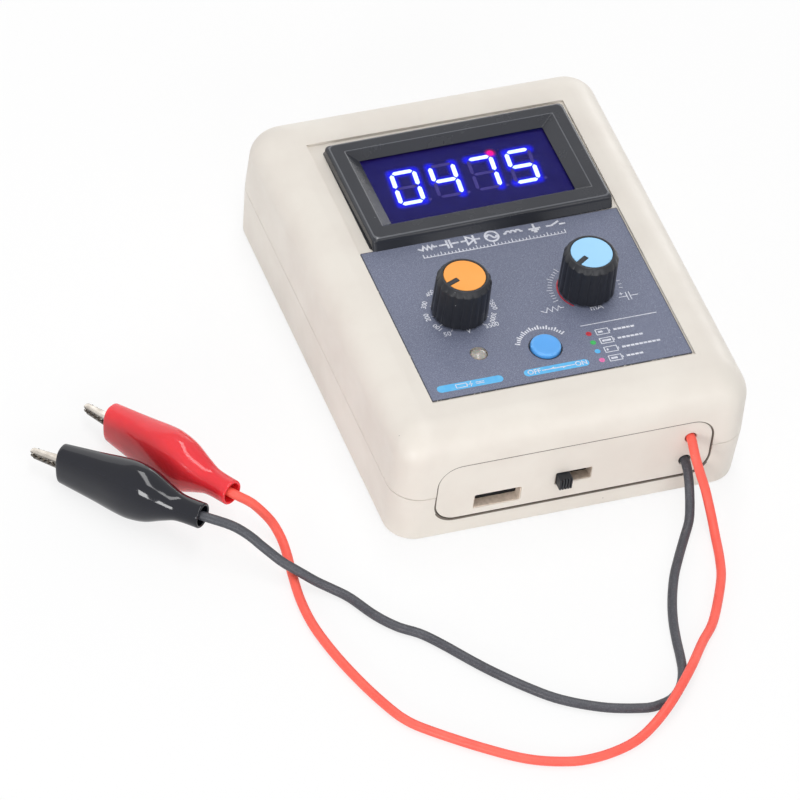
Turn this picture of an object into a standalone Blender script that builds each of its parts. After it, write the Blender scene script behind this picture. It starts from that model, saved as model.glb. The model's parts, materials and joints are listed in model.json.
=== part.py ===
"""Hand-held withstand voltage tester with a panel meter, two knobs and two clip leads.

Metres, +Z up. The origin is the middle of the case's underside, +X is to the right of
someone who reads the meter and +Y points to the back of the case.
"""
import math

import bmesh
import bpy
from mathutils import Matrix, Vector

# Gaps that neighbouring pieces keep
CLEARANCE = 0.0003
GLUE_GAP = 0.00005

# Case
PARTING_HEIGHT = 0.0186
WALL = 0.0025
FLOOR_THICKNESS = 0.0025
PANEL_THICKNESS = 0.0023
CORNER_RADIUS = 0.0095
TOP_EDGE_RADIUS = 0.0108
BOTTOM_EDGE_RADIUS = 0.0015
TOP_DRAFT = 0.0002
BOTTOM_DRAFT = 0.0008
EDGE_PULL = 0.6
LIP_HEIGHT = 0.0016
LIP_SETBACK = 0.0014
CORNER_STEPS = 6
EDGE_STEPS = 6

# Recess of the top shell and the label in it
RECESS_DEPTH = 0.0010
RECESS_SIDE_MARGIN = 0.01485
RECESS_END_MARGIN = 0.01655
LABEL_LENGTH = 0.0646
LABEL_THICKNESS = 0.0003
LABEL_SIDE_MARGIN = 0.0004
LABEL_FRONT_MARGIN = 0.0012
LABEL_BACK_MARGIN = 0.0012

# Panel meter
METER_LEFT_MARGIN = 0.0044
METER_RIGHT_MARGIN = 0.0016
METER_BACK_MARGIN = 0.0037
BEZEL_WIDTH = 0.0790
BEZEL_DEPTH = 0.0436
BEZEL_RISE = 0.0041
BEZEL_ROUND = 0.0008
BEZEL_RIM = 0.0048
BEZEL_LAP_X = 0.0016
BEZEL_LAP_Y = 0.00215
FRAME_X = 0.00915
FRAME_Y = 0.0076
WINDOW_SINK = 0.0028
WINDOW_LIP = 0.0002
LENS_THICKNESS = 0.0004
LENS_LAP = 0.0028
HOUSING_DEPTH = 0.0160
HOUSING_WALL = 0.0016
METER_SNAP = 0.0012
DISPLAY_WIDTH = 0.0503
DISPLAY_LENGTH = 0.0190
DISPLAY_HEIGHT = 0.0080
BOARD_THICKNESS = 0.0016

# Controls on the label, measured back from the label's front edge
CONTROLS_X = -0.0005
KNOB_SPREAD = 0.0412
KNOB_REACH = 0.0338
KNOB_RADIUS = 0.00875
KNOB_TOP_RADIUS = 0.0085
KNOB_HEIGHT = 0.0148
KNOB_FLOAT = 0.0007
KNOB_CHAMFER = 0.0017
KNOB_FLUTE = 0.0003
KNOB_FLUTES = 18
KNOB_WALL = 0.0014
KNOB_HUB_RADIUS = 0.0049
KNOB_HUB_RISE = 0.0021
CAP_RADIUS = 0.0066
CAP_THICKNESS = 0.0009
CAP_NOTCH = 0.0017
LEFT_POINTER_DEG = 201.0
RIGHT_POINTER_DEG = 212.0
POT_BODY_RADIUS = 0.0084
POT_BODY_HEIGHT = 0.0086
BUSHING_RADIUS = 0.0037
BUSHING_RISE = 0.0024
SHAFT_RADIUS = 0.0030
SHAFT_SINK = 0.0064
NUT_FLATS = 0.0100
NUT_THICKNESS = 0.0018

LED_X = -0.0214
LED_REACH = 0.01575
LED_RADIUS = 0.0025
LED_RISE = 0.0004
BUTTON_X = -0.0008
BUTTON_REACH = 0.01315
BUTTON_RADIUS = 0.0047
BUTTON_RISE = 0.0013
BUTTON_TRAVEL = 0.0008
BUTTON_FLANGE = 0.0009
BUTTON_STEM_RADIUS = 0.0030
BUTTON_SWITCH_SIZE = 0.0120
BUTTON_SWITCH_HEIGHT = 0.0033

CONTROL_BOARD_MARGIN = 0.0022
CONTROL_SCREW_INSET = 0.0045
SMALL_BOSS_RADIUS = 0.0030
SMALL_SCREW_RADIUS = 0.00105
SMALL_HEAD_RADIUS = 0.0022
SMALL_HEAD_HEIGHT = 0.0016
SMALL_SCREW_LENGTH = 0.0060

# End plates
PLATE_SIDE_MARGIN = 0.01295
PLATE_HEIGHT = 0.0223
PLATE_RADIUS = 0.0072
PLATE_SETBACK = 0.0003
PLATE_FLANGE = 0.0018
PLATE_FLANGE_THICKNESS = 0.0012
PLATE_GAP = 0.0004
RIB_X = 0.0300
RIB_THICKNESS = 0.0016
RIB_DEPTH = 0.0025

# Case screws
SCREW_INSET_X = 0.00935
SCREW_INSET_Y = 0.0117
POST_RADIUS = 0.0040
SCREW_RADIUS = 0.00145
SCREW_HEAD_RADIUS = 0.0027
SCREW_HEAD_HEIGHT = 0.0024
SCREW_SINK = 0.0032
SCREW_BITE = 0.0095

# Main board and what stands on it
MAIN_BOARD_SIDE_MARGIN = 0.01535
MAIN_BOARD_LENGTH = 0.0740
MAIN_BOARD_STANDOFF = 0.0069
MAIN_BOARD_FRONT_GAP = 0.0015
MAIN_SCREW_INSET_X = 0.0165
MAIN_SCREW_INSET_Y = 0.0120
SOCKET_X = -0.02425
SOCKET_WIDTH = 0.0090
SOCKET_HEIGHT = 0.0032
SOCKET_DEPTH = 0.0073
SOCKET_SKIN = 0.0003
USB_SLOT_WIDTH = 0.0153
USB_SLOT_HEIGHT = 0.0057
LEVER_SIZE = 0.0042
LEVER_REACH = 0.0035
SWITCH_SLOT_WIDTH = 0.0118
SWITCH_SLOT_HEIGHT = 0.0048
SWITCH_SLOT_RISE = 0.0052
SWITCH_BODY_WIDTH = 0.0170
SWITCH_BODY_DEPTH = 0.0060
SWITCH_BODY_HEIGHT = 0.0092
TERMINAL_END_MARGIN = 0.0076
TERMINAL_WIDTH = 0.0100
TERMINAL_DEPTH = 0.0060
TERMINAL_SETBACK = 0.0075
TERMINAL_TOP = 0.0026
TRANSFORMER_X = -0.0200
CORE_WIDTH = 0.0220
CORE_DEPTH = 0.0090
CORE_HEADROOM = 0.0019
CORE_LIMB = 0.0040
CORE_YOKE = 0.0028
WINDING_DEPTH = 0.0140
CAPACITOR_X = 0.0160
CAPACITOR_SPACING = 0.0100
CAPACITOR_WIDTH = 0.0180
CAPACITOR_DEPTH = 0.0070
CAPACITOR_HEADROOM = 0.0039

# Cell and holder
CELL_RADIUS = 0.0092
CELL_LENGTH = 0.0650
CELL_HEADROOM = 0.0023
CELL_BOARD_GAP = 0.0144
HOLDER_WALL = 0.0015
HOLDER_END = 0.0045
HOLDER_HEIGHT = 0.0115

# Leads: a hole's place is its margin from the plate's right end and its height over the board
LEAD_RADIUS = 0.0015
LEAD_HOLE_RADIUS = 0.0019
LEAD_POINT_SPACING = 0.0066
RED_HOLE_MARGIN = 0.0072
BLACK_HOLE_MARGIN = 0.0080
BLACK_HOLE_RISE = 0.0026
RED_HOLE_RISE = 0.0120
LEAD_BITE = 0.0045
LEAD_STUB = 0.0040

# Clips: lengths run forward from the tail of the boot
BOOT_LENGTH = 0.0490
BOOT_WALL = 0.00085
PIVOT_REACH = 0.0290
PIN_RADIUS = 0.0009
PIN_HALF_LENGTH = 0.0039
JAW_REACH = 0.0595
JAW_SKIN = 0.0006
OUTER_EAR = 0.0033
INNER_EAR = 0.0023
JAW_ROOT_HALF = 0.0030
JAW_TIP_HALF = 0.0011
HANDLE_RISE = 0.0059
TOOTH_PITCH = 0.0016
TOOTH_DEPTH = 0.0007
TOOTH_COUNT = 10
CRIMP_START = 0.0090
CRIMP_HALF = 0.0024
SPRING_WIRE = 0.0003
SPRING_RADIUS = 0.00175
CLIP_PITCH_DEG = -7.0
CLIP_TAIL_HEIGHT = 0.0130
RED_CLIP_TAIL = (-0.1015, 0.0218)
RED_CLIP_YAW_DEG = 119.0
BLACK_CLIP_TAIL = (-0.1131, 0.0150)
BLACK_CLIP_YAW_DEG = 131.0

# Routes of the leads on the table to the tail of each boot, with Y from the front plate's face
RED_ROUTE = [
    (0.0368, -0.0030, 0.0227), (0.0368, -0.0063, 0.0205), (0.0379, -0.0086, 0.0162),
    (0.0391, -0.0106, 0.0120), (0.0398, -0.0130, 0.0082), (0.0400, -0.0169, 0.0046),
    (0.0393, -0.0223, 0.0025), (0.0375, -0.0309, 0.0016), (0.0345, -0.0394, 0.00155),
    (0.0263, -0.0540, 0.0017), (0.0194, -0.0622, 0.0027), (0.0118, -0.0721, 0.0048),
    (0.0060, -0.0786, 0.0050), (-0.0002, -0.0848, 0.0047), (-0.0066, -0.0895, 0.0030),
    (-0.0128, -0.0929, 0.0018), (-0.0197, -0.0952, 0.00155), (-0.0279, -0.0964, 0.00155),
    (-0.0360, -0.0958, 0.00155), (-0.0473, -0.0919, 0.00155), (-0.0594, -0.0839, 0.00155),
    (-0.0722, -0.0735, 0.00155), (-0.0775, -0.0678, 0.00155), (-0.0811, -0.0608, 0.00155),
    (-0.0849, -0.0511, 0.00155), (-0.0886, -0.0389, 0.00155), (-0.0911, -0.0263, 0.00155),
    (-0.0915, -0.0155, 0.00155), (-0.0905, -0.0051, 0.00155), (-0.0894, 0.0029, 0.0017),
    (-0.0891, 0.0079, 0.0024), (-0.0897, 0.0115, 0.0038), (-0.0911, 0.0143, 0.0059),
    (-0.0939, 0.0168, 0.0088), (-0.0967, 0.0187, 0.0111),
]
BLACK_ROUTE = [
    (0.0360, -0.0035, 0.0135), (0.0356, -0.0066, 0.0114), (0.0353, -0.0092, 0.0080),
    (0.0347, -0.0119, 0.0050), (0.0334, -0.0151, 0.0029), (0.0296, -0.0208, 0.0017),
    (0.0251, -0.0278, 0.00155), (0.0212, -0.0344, 0.00155), (0.0174, -0.0427, 0.00155),
    (0.0146, -0.0506, 0.00155), (0.0126, -0.0585, 0.00155), (0.0112, -0.0654, 0.00155),
    (0.0096, -0.0713, 0.00155), (0.0068, -0.0765, 0.00155), (0.0026, -0.0803, 0.00155),
    (-0.0024, -0.0817, 0.00155), (-0.0069, -0.0816, 0.00155), (-0.0179, -0.0785, 0.00155),
    (-0.0292, -0.0725, 0.00155), (-0.0374, -0.0654, 0.00155), (-0.0471, -0.0547, 0.00155),
    (-0.0563, -0.0425, 0.00155), (-0.0613, -0.0367, 0.00155), (-0.0669, -0.0324, 0.00155),
    (-0.0720, -0.0262, 0.00155), (-0.0768, -0.0178, 0.0016), (-0.0808, -0.0135, 0.0020),
    (-0.0848, -0.0105, 0.0031), (-0.0884, -0.0077, 0.0046), (-0.0911, -0.0052, 0.0055),
    (-0.0936, -0.0028, 0.0063), (-0.0963, 0.0003, 0.0077), (-0.0990, 0.0033, 0.0093),
    (-0.1013, 0.0059, 0.0107), (-0.1057, 0.0098, 0.0123),
]

# Heights and faces that follow from the sizes above
RECESS_WIDTH = BEZEL_WIDTH + METER_LEFT_MARGIN + METER_RIGHT_MARGIN
RECESS_LENGTH = (LABEL_FRONT_MARGIN + LABEL_LENGTH + LABEL_BACK_MARGIN + BEZEL_DEPTH
                 + METER_BACK_MARGIN)
CASE_WIDTH = RECESS_WIDTH + 2 * RECESS_SIDE_MARGIN
CASE_LENGTH = RECESS_LENGTH + 2 * RECESS_END_MARGIN
CELL_HEIGHT = FLOOR_THICKNESS + CLEARANCE * 2 + HOLDER_WALL + CELL_RADIUS
CASE_HEIGHT = CELL_HEIGHT + CELL_RADIUS + CELL_HEADROOM + HOUSING_DEPTH + RECESS_DEPTH
SEAM_LOW = PARTING_HEIGHT - CLEARANCE / 2
SEAM_HIGH = PARTING_HEIGHT + CLEARANCE / 2
RECESS_FLOOR = CASE_HEIGHT - RECESS_DEPTH
CEILING = RECESS_FLOOR - PANEL_THICKNESS
LABEL_BOTTOM = RECESS_FLOOR + GLUE_GAP
LABEL_TOP = LABEL_BOTTOM + LABEL_THICKNESS
LABEL_WIDTH = RECESS_WIDTH - 2 * LABEL_SIDE_MARGIN
RECESS_FRONT_Y = -RECESS_LENGTH / 2
RECESS_BACK_Y = RECESS_LENGTH / 2
LABEL_FRONT_Y = RECESS_FRONT_Y + LABEL_FRONT_MARGIN
LABEL_MIDDLE_Y = LABEL_FRONT_Y + LABEL_LENGTH / 2
METER_X = (METER_LEFT_MARGIN - METER_RIGHT_MARGIN) / 2
METER_Y = RECESS_BACK_Y - METER_BACK_MARGIN - BEZEL_DEPTH / 2
WINDOW_WIDTH = BEZEL_WIDTH - 2 * FRAME_X
WINDOW_LENGTH = BEZEL_DEPTH - 2 * FRAME_Y
HOUSING_WIDTH = BEZEL_WIDTH - 2 * BEZEL_LAP_X
HOUSING_LENGTH = BEZEL_DEPTH - 2 * BEZEL_LAP_Y
BEZEL_TOP = RECESS_FLOOR + BEZEL_RISE
WINDOW_TOP = BEZEL_TOP - WINDOW_SINK
WINDOW_UNDER = WINDOW_TOP - WINDOW_LIP
LENS_BOTTOM = WINDOW_UNDER - CLEARANCE - LENS_THICKNESS
HOUSING_BOTTOM = RECESS_FLOOR - HOUSING_DEPTH
KNOB_Y = LABEL_FRONT_Y + KNOB_REACH
LED_Y = LABEL_FRONT_Y + LED_REACH
BUTTON_Y = LABEL_FRONT_Y + BUTTON_REACH
KNOB_BOTTOM = LABEL_TOP + KNOB_FLOAT
KNOB_TOP = KNOB_BOTTOM + KNOB_HEIGHT
CAP_SEAT = KNOB_TOP - CAP_THICKNESS - CLEARANCE
SHAFT_BOTTOM = CEILING - SHAFT_SINK
SHAFT_TOP = CAP_SEAT - CLEARANCE * 2 - KNOB_WALL
POT_TOP = CEILING - CLEARANCE
CONTROL_BOARD_TOP = POT_TOP - POT_BODY_HEIGHT - CLEARANCE
CONTROL_BOARD_LOW = CONTROL_BOARD_TOP - BOARD_THICKNESS
CONTROL_BOARD_WIDTH = LABEL_WIDTH - 2 * CONTROL_BOARD_MARGIN
CONTROL_BOARD_LENGTH = LABEL_LENGTH - 2 * CONTROL_BOARD_MARGIN
MAIN_BOARD_LOW = FLOOR_THICKNESS + MAIN_BOARD_STANDOFF
MAIN_BOARD_TOP = MAIN_BOARD_LOW + BOARD_THICKNESS
STAND = MAIN_BOARD_TOP + CLEARANCE
CORE_HEIGHT = CONTROL_BOARD_LOW - STAND - CORE_HEADROOM
CAPACITOR_HEIGHT = CONTROL_BOARD_LOW - STAND - CAPACITOR_HEADROOM
PLATE_WIDTH = CASE_WIDTH - 2 * PLATE_SIDE_MARGIN
PLATE_MIDDLE = PARTING_HEIGHT + CLEARANCE / 2
PLATE_FACE = CASE_LENGTH / 2 - PLATE_SETBACK
FLANGE_FACE = CASE_LENGTH / 2 - WALL - BOTTOM_DRAFT - CLEARANCE
FLANGE_BACK = FLANGE_FACE - PLATE_FLANGE_THICKNESS
MAIN_BOARD_WIDTH = CASE_WIDTH - 2 * MAIN_BOARD_SIDE_MARGIN
MAIN_BOARD_FRONT_Y = -FLANGE_BACK + MAIN_BOARD_FRONT_GAP
MAIN_BOARD_BACK_Y = MAIN_BOARD_FRONT_Y + MAIN_BOARD_LENGTH
MAIN_BOARD_MIDDLE_Y = MAIN_BOARD_FRONT_Y + MAIN_BOARD_LENGTH / 2
USB_SLOT_MIDDLE = STAND + SOCKET_HEIGHT / 2
SWITCH_SLOT_MIDDLE = MAIN_BOARD_TOP + SWITCH_SLOT_RISE
RED_HOLE = (PLATE_WIDTH / 2 - RED_HOLE_MARGIN, STAND + RED_HOLE_RISE)
BLACK_HOLE = (PLATE_WIDTH / 2 - BLACK_HOLE_MARGIN, STAND + BLACK_HOLE_RISE)
TERMINAL_X = PLATE_WIDTH / 2 - TERMINAL_END_MARGIN
TERMINAL_FRONT_Y = -FLANGE_BACK + TERMINAL_SETBACK
SCREW_X = CASE_WIDTH / 2 - SCREW_INSET_X
SCREW_Y = CASE_LENGTH / 2 - SCREW_INSET_Y
CELL_Y = MAIN_BOARD_BACK_Y + CELL_BOARD_GAP + HOLDER_WALL + CLEARANCE + CELL_RADIUS


def clear_scene():
    """Remove every object that the file starts with."""
    for item in list(bpy.data.objects):
        bpy.data.objects.remove(item, do_unlink=True)


def make_material(name, colour, roughness, metallic=0.0):
    """A plain Principled material in a linear RGB colour."""
    material = bpy.data.materials.new(name)
    material.use_nodes = True
    shader = material.node_tree.nodes["Principled BSDF"]
    shader.inputs["Base Color"].default_value = (*colour, 1.0)
    shader.inputs["Roughness"].default_value = roughness
    shader.inputs["Metallic"].default_value = metallic
    return material


class Finishes:
    """One material for each kind of surface."""

    def __init__(self):
        self.case = make_material("case_plastic", (0.81, 0.77, 0.72), 0.5)
        self.label = make_material("label_film", (0.19, 0.21, 0.29), 0.55)
        self.bezel = make_material("bezel_plastic", (0.06, 0.065, 0.075), 0.4)
        self.window = make_material("window_tint", (0.02, 0.015, 0.14), 0.1)
        self.display = make_material("display_face", (0.03, 0.03, 0.3), 0.4)
        self.board = make_material("circuit_board", (0.02, 0.16, 0.06), 0.5)
        self.knob = make_material("knob_plastic", (0.02, 0.022, 0.03), 0.35)
        self.orange = make_material("orange_cap", (1.0, 0.44, 0.13), 0.45)
        self.sky = make_material("light_blue_cap", (0.39, 0.7, 1.0), 0.45)
        self.button = make_material("blue_button", (0.1, 0.4, 0.92), 0.35)
        self.metal = make_material("bright_metal", (0.72, 0.71, 0.68), 0.25, 1.0)
        self.black = make_material("black_plastic", (0.02, 0.02, 0.025), 0.4)
        self.ferrite = make_material("ferrite", (0.05, 0.05, 0.055), 0.7)
        self.winding = make_material("winding_tape", (0.75, 0.55, 0.08), 0.5)
        self.capacitor = make_material("capacitor_case", (0.45, 0.03, 0.03), 0.4)
        self.cell = make_material("cell_sleeve", (0.05, 0.25, 0.5), 0.4)
        self.terminal = make_material("terminal_block", (0.05, 0.3, 0.12), 0.5)
        self.led = make_material("status_light", (0.6, 0.59, 0.55), 0.25)
        self.red_lead = make_material("red_lead", (1.0, 0.16, 0.12), 0.45)
        self.red_boot = make_material("red_vinyl", (0.84, 0.045, 0.05), 0.15)
        self.black_lead = make_material("black_lead", (0.07, 0.07, 0.08), 0.5)
        self.black_boot = make_material("black_vinyl", (0.02, 0.022, 0.03), 0.12)


def add_object(name, data, material=None):
    """Link an object for the data; without a material it is a hidden guide."""
    item = bpy.data.objects.new(name, data)
    bpy.context.scene.collection.objects.link(item)
    if material is None:
        item.hide_render = True
        item.display_type = "WIRE"
    else:
        data.materials.append(material)
    return item


def solid_from_rings(name, rings, material=None, ends_meet=False):
    """A closed skin through rings of equal length, with flat ends unless the ends meet."""
    shape = bmesh.new()
    loops = [[shape.verts.new(point) for point in ring] for ring in rings]
    pairs = list(zip(loops, loops[1:]))
    if ends_meet:
        pairs.append((loops[-1], loops[0]))
    else:
        shape.faces.new(loops[0])
        shape.faces.new(loops[-1])
    for first, second in pairs:
        for index in range(len(first)):
            after = (index + 1) % len(first)
            shape.faces.new((first[index], first[after], second[after], second[index]))
    bmesh.ops.recalc_face_normals(shape, faces=shape.faces)
    mesh = bpy.data.meshes.new(name)
    shape.to_mesh(mesh)
    shape.free()
    return add_object(name, mesh, material)


def turn_smooth(item, angle_deg=35.0):
    """Shade an object smooth and keep its sharp edges."""
    item.data.shade_smooth()
    item.data.set_sharp_from_angle(angle=math.radians(angle_deg))
    return item


def rounded_outline(half_u, half_v, radius, steps):
    """Points of a rectangle with round corners, counter-clockwise."""
    radius = min(radius, half_u * 0.98, half_v * 0.98)
    points = []
    for quarter, (side_u, side_v) in enumerate(((1, 1), (-1, 1), (-1, -1), (1, -1))):
        for step in range(steps + 1):
            angle = math.pi / 2 * (quarter + step / steps)
            points.append((side_u * (half_u - radius) + radius * math.cos(angle),
                           side_v * (half_v - radius) + radius * math.sin(angle)))
    return points


def circle_outline(radius, sides, centre=(0.0, 0.0)):
    """Points of a regular polygon around a circle."""
    turn = math.tau / sides
    return [(centre[0] + radius * math.cos(turn * step),
             centre[1] + radius * math.sin(turn * step)) for step in range(sides)]


def place_point(axis, u, v, along):
    """A point from its two outline coordinates and its place along an axis."""
    if axis == "X":
        return (along, u, v)
    if axis == "Y":
        return (u, along, v)
    return (u, v, along)


def prism(name, outline, axis, start, end, material=None):
    """An outline extruded along an axis."""
    rings = [[place_point(axis, u, v, along) for u, v in outline] for along in (start, end)]
    return solid_from_rings(name, rings, material)


def block(name, low, high, material=None):
    """A box between two corners."""
    outline = [(low[0], low[1]), (high[0], low[1]), (high[0], high[1]), (low[0], high[1])]
    return prism(name, outline, "Z", low[2], high[2], material)


def rod(name, axis, centre, radius, start, end, sides=12, material=None):
    """A round bar along an axis."""
    bar = prism(name, circle_outline(radius, sides, centre), axis, start, end, material)
    return turn_smooth(bar)


def cut(target, cutter):
    """Take a guide's volume out of a piece."""
    change = target.modifiers.new(cutter.name, "BOOLEAN")
    change.operation = "DIFFERENCE"
    change.solver = "EXACT"
    change.object = cutter


def join(target, addition):
    """Add a guide's volume to a piece."""
    change = target.modifiers.new(addition.name, "BOOLEAN")
    change.operation = "UNION"
    change.solver = "EXACT"
    change.object = addition


def set_origin(item, point):
    """Move an object's origin to a point and leave its shape where it is."""
    item.data.transform(Matrix.Translation(-Vector(point)))
    item.location = point


def case_ring(wall_inset, edge_inset, height):
    """A ring of the case's outline, set in by a wall and by a rounded edge."""
    inset = wall_inset + edge_inset
    radius = max(CORNER_RADIUS - wall_inset - EDGE_PULL * edge_inset, CLEARANCE)
    outline = rounded_outline(CASE_WIDTH / 2 - inset, CASE_LENGTH / 2 - inset,
                              radius, CORNER_STEPS)
    return [(x, y, height) for x, y in outline]


def rounded_edge_rings(wall_inset, draft, radius, top, steps):
    """Rings down a rounded upper edge, from its flat top to its side."""
    rings = []
    for step in range(steps + 1):
        angle = math.pi / 2 * step / steps
        rings.append(case_ring(wall_inset, draft + radius * (1 - math.sin(angle)),
                               top - radius * (1 - math.cos(angle))))
    return rings


def screw_places():
    """Corners of the rectangle of case screws."""
    return [(x, y) for y in (-SCREW_Y, SCREW_Y) for x in (-SCREW_X, SCREW_X)]


def main_screw_places():
    """Corners of the rectangle of main board screws."""
    front = MAIN_BOARD_FRONT_Y + MAIN_SCREW_INSET_Y
    back = MAIN_BOARD_BACK_Y - MAIN_SCREW_INSET_Y
    reach = MAIN_BOARD_WIDTH / 2 - MAIN_SCREW_INSET_X
    return [(x, y) for y in (front, back) for x in (-reach, reach)]


def control_screw_places():
    """Corners of the rectangle of control board screws."""
    reach_x = CONTROL_BOARD_WIDTH / 2 - CONTROL_SCREW_INSET
    reach_y = CONTROL_BOARD_LENGTH / 2 - CONTROL_SCREW_INSET
    return [(CONTROLS_X + x, LABEL_MIDDLE_Y + y)
            for y in (-reach_y, reach_y) for x in (-reach_x, reach_x)]


def knob_centres():
    """Axes of the left and the right knob."""
    return [(CONTROLS_X - KNOB_SPREAD / 2, KNOB_Y), (CONTROLS_X + KNOB_SPREAD / 2, KNOB_Y)]


def plate_outline(grow, radius_grow):
    """The end plate's outline across the case, grown by a margin."""
    outline = rounded_outline(PLATE_WIDTH / 2 + grow, PLATE_HEIGHT / 2 + grow,
                              PLATE_RADIUS + radius_grow, CORNER_STEPS)
    return [(x, z + PLATE_MIDDLE) for x, z in outline]


def open_for_plates(shell, name):
    """Cut both end openings of a shell."""
    for end, side in (("front", -1), ("rear", 1)):
        outline = plate_outline(PLATE_GAP, PLATE_GAP)
        outside = side * (CASE_LENGTH / 2 + WALL)
        inside = side * (FLANGE_FACE - CLEARANCE)
        cut(shell, prism(f"{name}_{end}_opening", outline, "Y", outside, inside))


def add_plate_ribs(shell, name, low, high):
    """Ribs behind the end plates, which hold their flanges against the wall."""
    for end, side in (("front", -1), ("rear", 1)):
        near = side * (FLANGE_BACK - CLEARANCE)
        far = side * (FLANGE_BACK - CLEARANCE - RIB_DEPTH)
        for hand, x in (("left", -RIB_X), ("right", RIB_X)):
            rib = block(f"{name}_{end}_{hand}_rib",
                        (x - RIB_THICKNESS / 2, min(near, far), low),
                        (x + RIB_THICKNESS / 2, max(near, far), high))
            join(shell, rib)


def build_top_shell(finish):
    """The top shell: rounded cover, recess, openings, screw posts and board bosses."""
    rings = rounded_edge_rings(0.0, TOP_DRAFT, TOP_EDGE_RADIUS, CASE_HEIGHT, EDGE_STEPS)
    rebate = LIP_SETBACK - CLEARANCE
    rebate_top = SEAM_HIGH + LIP_HEIGHT + CLEARANCE
    rings.append(case_ring(0.0, 0.0, SEAM_HIGH))
    rings.append(case_ring(rebate, 0.0, SEAM_HIGH))
    rings.append(case_ring(rebate, 0.0, rebate_top))
    rings.append(case_ring(WALL, 0.0, rebate_top))
    inner = rounded_edge_rings(WALL, TOP_DRAFT, TOP_EDGE_RADIUS - WALL, CEILING, EDGE_STEPS - 2)
    rings.extend(reversed(inner))
    shell = turn_smooth(solid_from_rings("top_shell", rings, finish.case))

    half = RECESS_WIDTH / 2
    cut(shell, block("recess", (-half, RECESS_FRONT_Y, RECESS_FLOOR),
                     (half, RECESS_BACK_Y, CASE_HEIGHT + WALL)))
    open_for_plates(shell, "top")
    low, high = CEILING - PANEL_THICKNESS, CASE_HEIGHT + WALL
    width, length = HOUSING_WIDTH / 2 + CLEARANCE, HOUSING_LENGTH / 2 + CLEARANCE
    cut(shell, block("meter_opening", (METER_X - width, METER_Y - length, low),
                     (METER_X + width, METER_Y + length, high)))
    for hand, centre in zip(("left", "right"), knob_centres()):
        cut(shell, rod(f"{hand}_bushing_hole", "Z", centre, BUSHING_RADIUS + CLEARANCE,
                       low, high))
    cut(shell, rod("led_hole", "Z", (LED_X, LED_Y), LED_RADIUS + CLEARANCE, low, high))
    cut(shell, rod("button_hole", "Z", (BUTTON_X, BUTTON_Y), BUTTON_RADIUS + CLEARANCE,
                   low, high, 20))

    post_top = CEILING - CLEARANCE
    hole_top = SEAM_HIGH + SCREW_BITE + CLEARANCE * 3
    for number, centre in enumerate(screw_places(), 1):
        join(shell, rod(f"top_post_{number}", "Z", centre, POST_RADIUS, SEAM_HIGH, post_top))
        cut(shell, rod(f"top_post_hole_{number}", "Z", centre, SCREW_RADIUS + CLEARANCE,
                       SEAM_HIGH - WALL, hole_top, 8))
    for number, centre in enumerate(control_screw_places(), 1):
        join(shell, rod(f"control_boss_{number}", "Z", centre, SMALL_BOSS_RADIUS,
                        CONTROL_BOARD_TOP + CLEARANCE, CEILING + WALL / 2, 10))
        cut(shell, rod(f"control_boss_hole_{number}", "Z", centre,
                       SMALL_SCREW_RADIUS + CLEARANCE, CONTROL_BOARD_TOP - WALL,
                       CONTROL_BOARD_LOW + SMALL_SCREW_LENGTH, 8))
    rib_low = PLATE_MIDDLE + PLATE_HEIGHT / 2 - PLATE_FLANGE
    add_plate_ribs(shell, "top", rib_low, CEILING + CLEARANCE)
    return shell


def build_bottom_shell(finish):
    """The bottom shell: tray, lip, screw posts and board bosses."""
    rings = []
    for step in range(4):
        angle = math.pi / 2 * step / 3
        rings.append(case_ring(0.0, BOTTOM_DRAFT + BOTTOM_EDGE_RADIUS * (1 - math.sin(angle)),
                               BOTTOM_EDGE_RADIUS * (1 - math.cos(angle))))
    lip_top = SEAM_LOW + LIP_HEIGHT
    rings.append(case_ring(0.0, 0.0, SEAM_LOW))
    rings.append(case_ring(LIP_SETBACK, 0.0, SEAM_LOW))
    rings.append(case_ring(LIP_SETBACK, 0.0, lip_top))
    rings.append(case_ring(WALL, 0.0, lip_top))
    rings.append(case_ring(WALL, BOTTOM_DRAFT, FLOOR_THICKNESS + BOTTOM_EDGE_RADIUS))
    rings.append(case_ring(WALL, BOTTOM_DRAFT + BOTTOM_EDGE_RADIUS, FLOOR_THICKNESS))
    shell = turn_smooth(solid_from_rings("bottom_shell", rings, finish.case))
    open_for_plates(shell, "bottom")

    for number, centre in enumerate(screw_places(), 1):
        join(shell, rod(f"bottom_post_{number}", "Z", centre, POST_RADIUS,
                        FLOOR_THICKNESS / 2, SEAM_LOW))
        cut(shell, rod(f"head_recess_{number}", "Z", centre, SCREW_HEAD_RADIUS + CLEARANCE,
                       -WALL, SCREW_SINK + SCREW_HEAD_HEIGHT + CLEARANCE))
        cut(shell, rod(f"shank_hole_{number}", "Z", centre, SCREW_RADIUS + CLEARANCE,
                       -WALL, PARTING_HEIGHT + WALL, 8))
    for number, centre in enumerate(main_screw_places(), 1):
        join(shell, rod(f"main_boss_{number}", "Z", centre, SMALL_BOSS_RADIUS,
                        FLOOR_THICKNESS / 2, MAIN_BOARD_LOW - CLEARANCE, 10))
        cut(shell, rod(f"main_boss_hole_{number}", "Z", centre,
                       SMALL_SCREW_RADIUS + CLEARANCE,
                       MAIN_BOARD_TOP - SMALL_SCREW_LENGTH, MAIN_BOARD_TOP, 8))
    rib_high = PLATE_MIDDLE - PLATE_HEIGHT / 2 + PLATE_FLANGE / 2
    add_plate_ribs(shell, "bottom", FLOOR_THICKNESS / 2, rib_high)
    return shell


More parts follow.
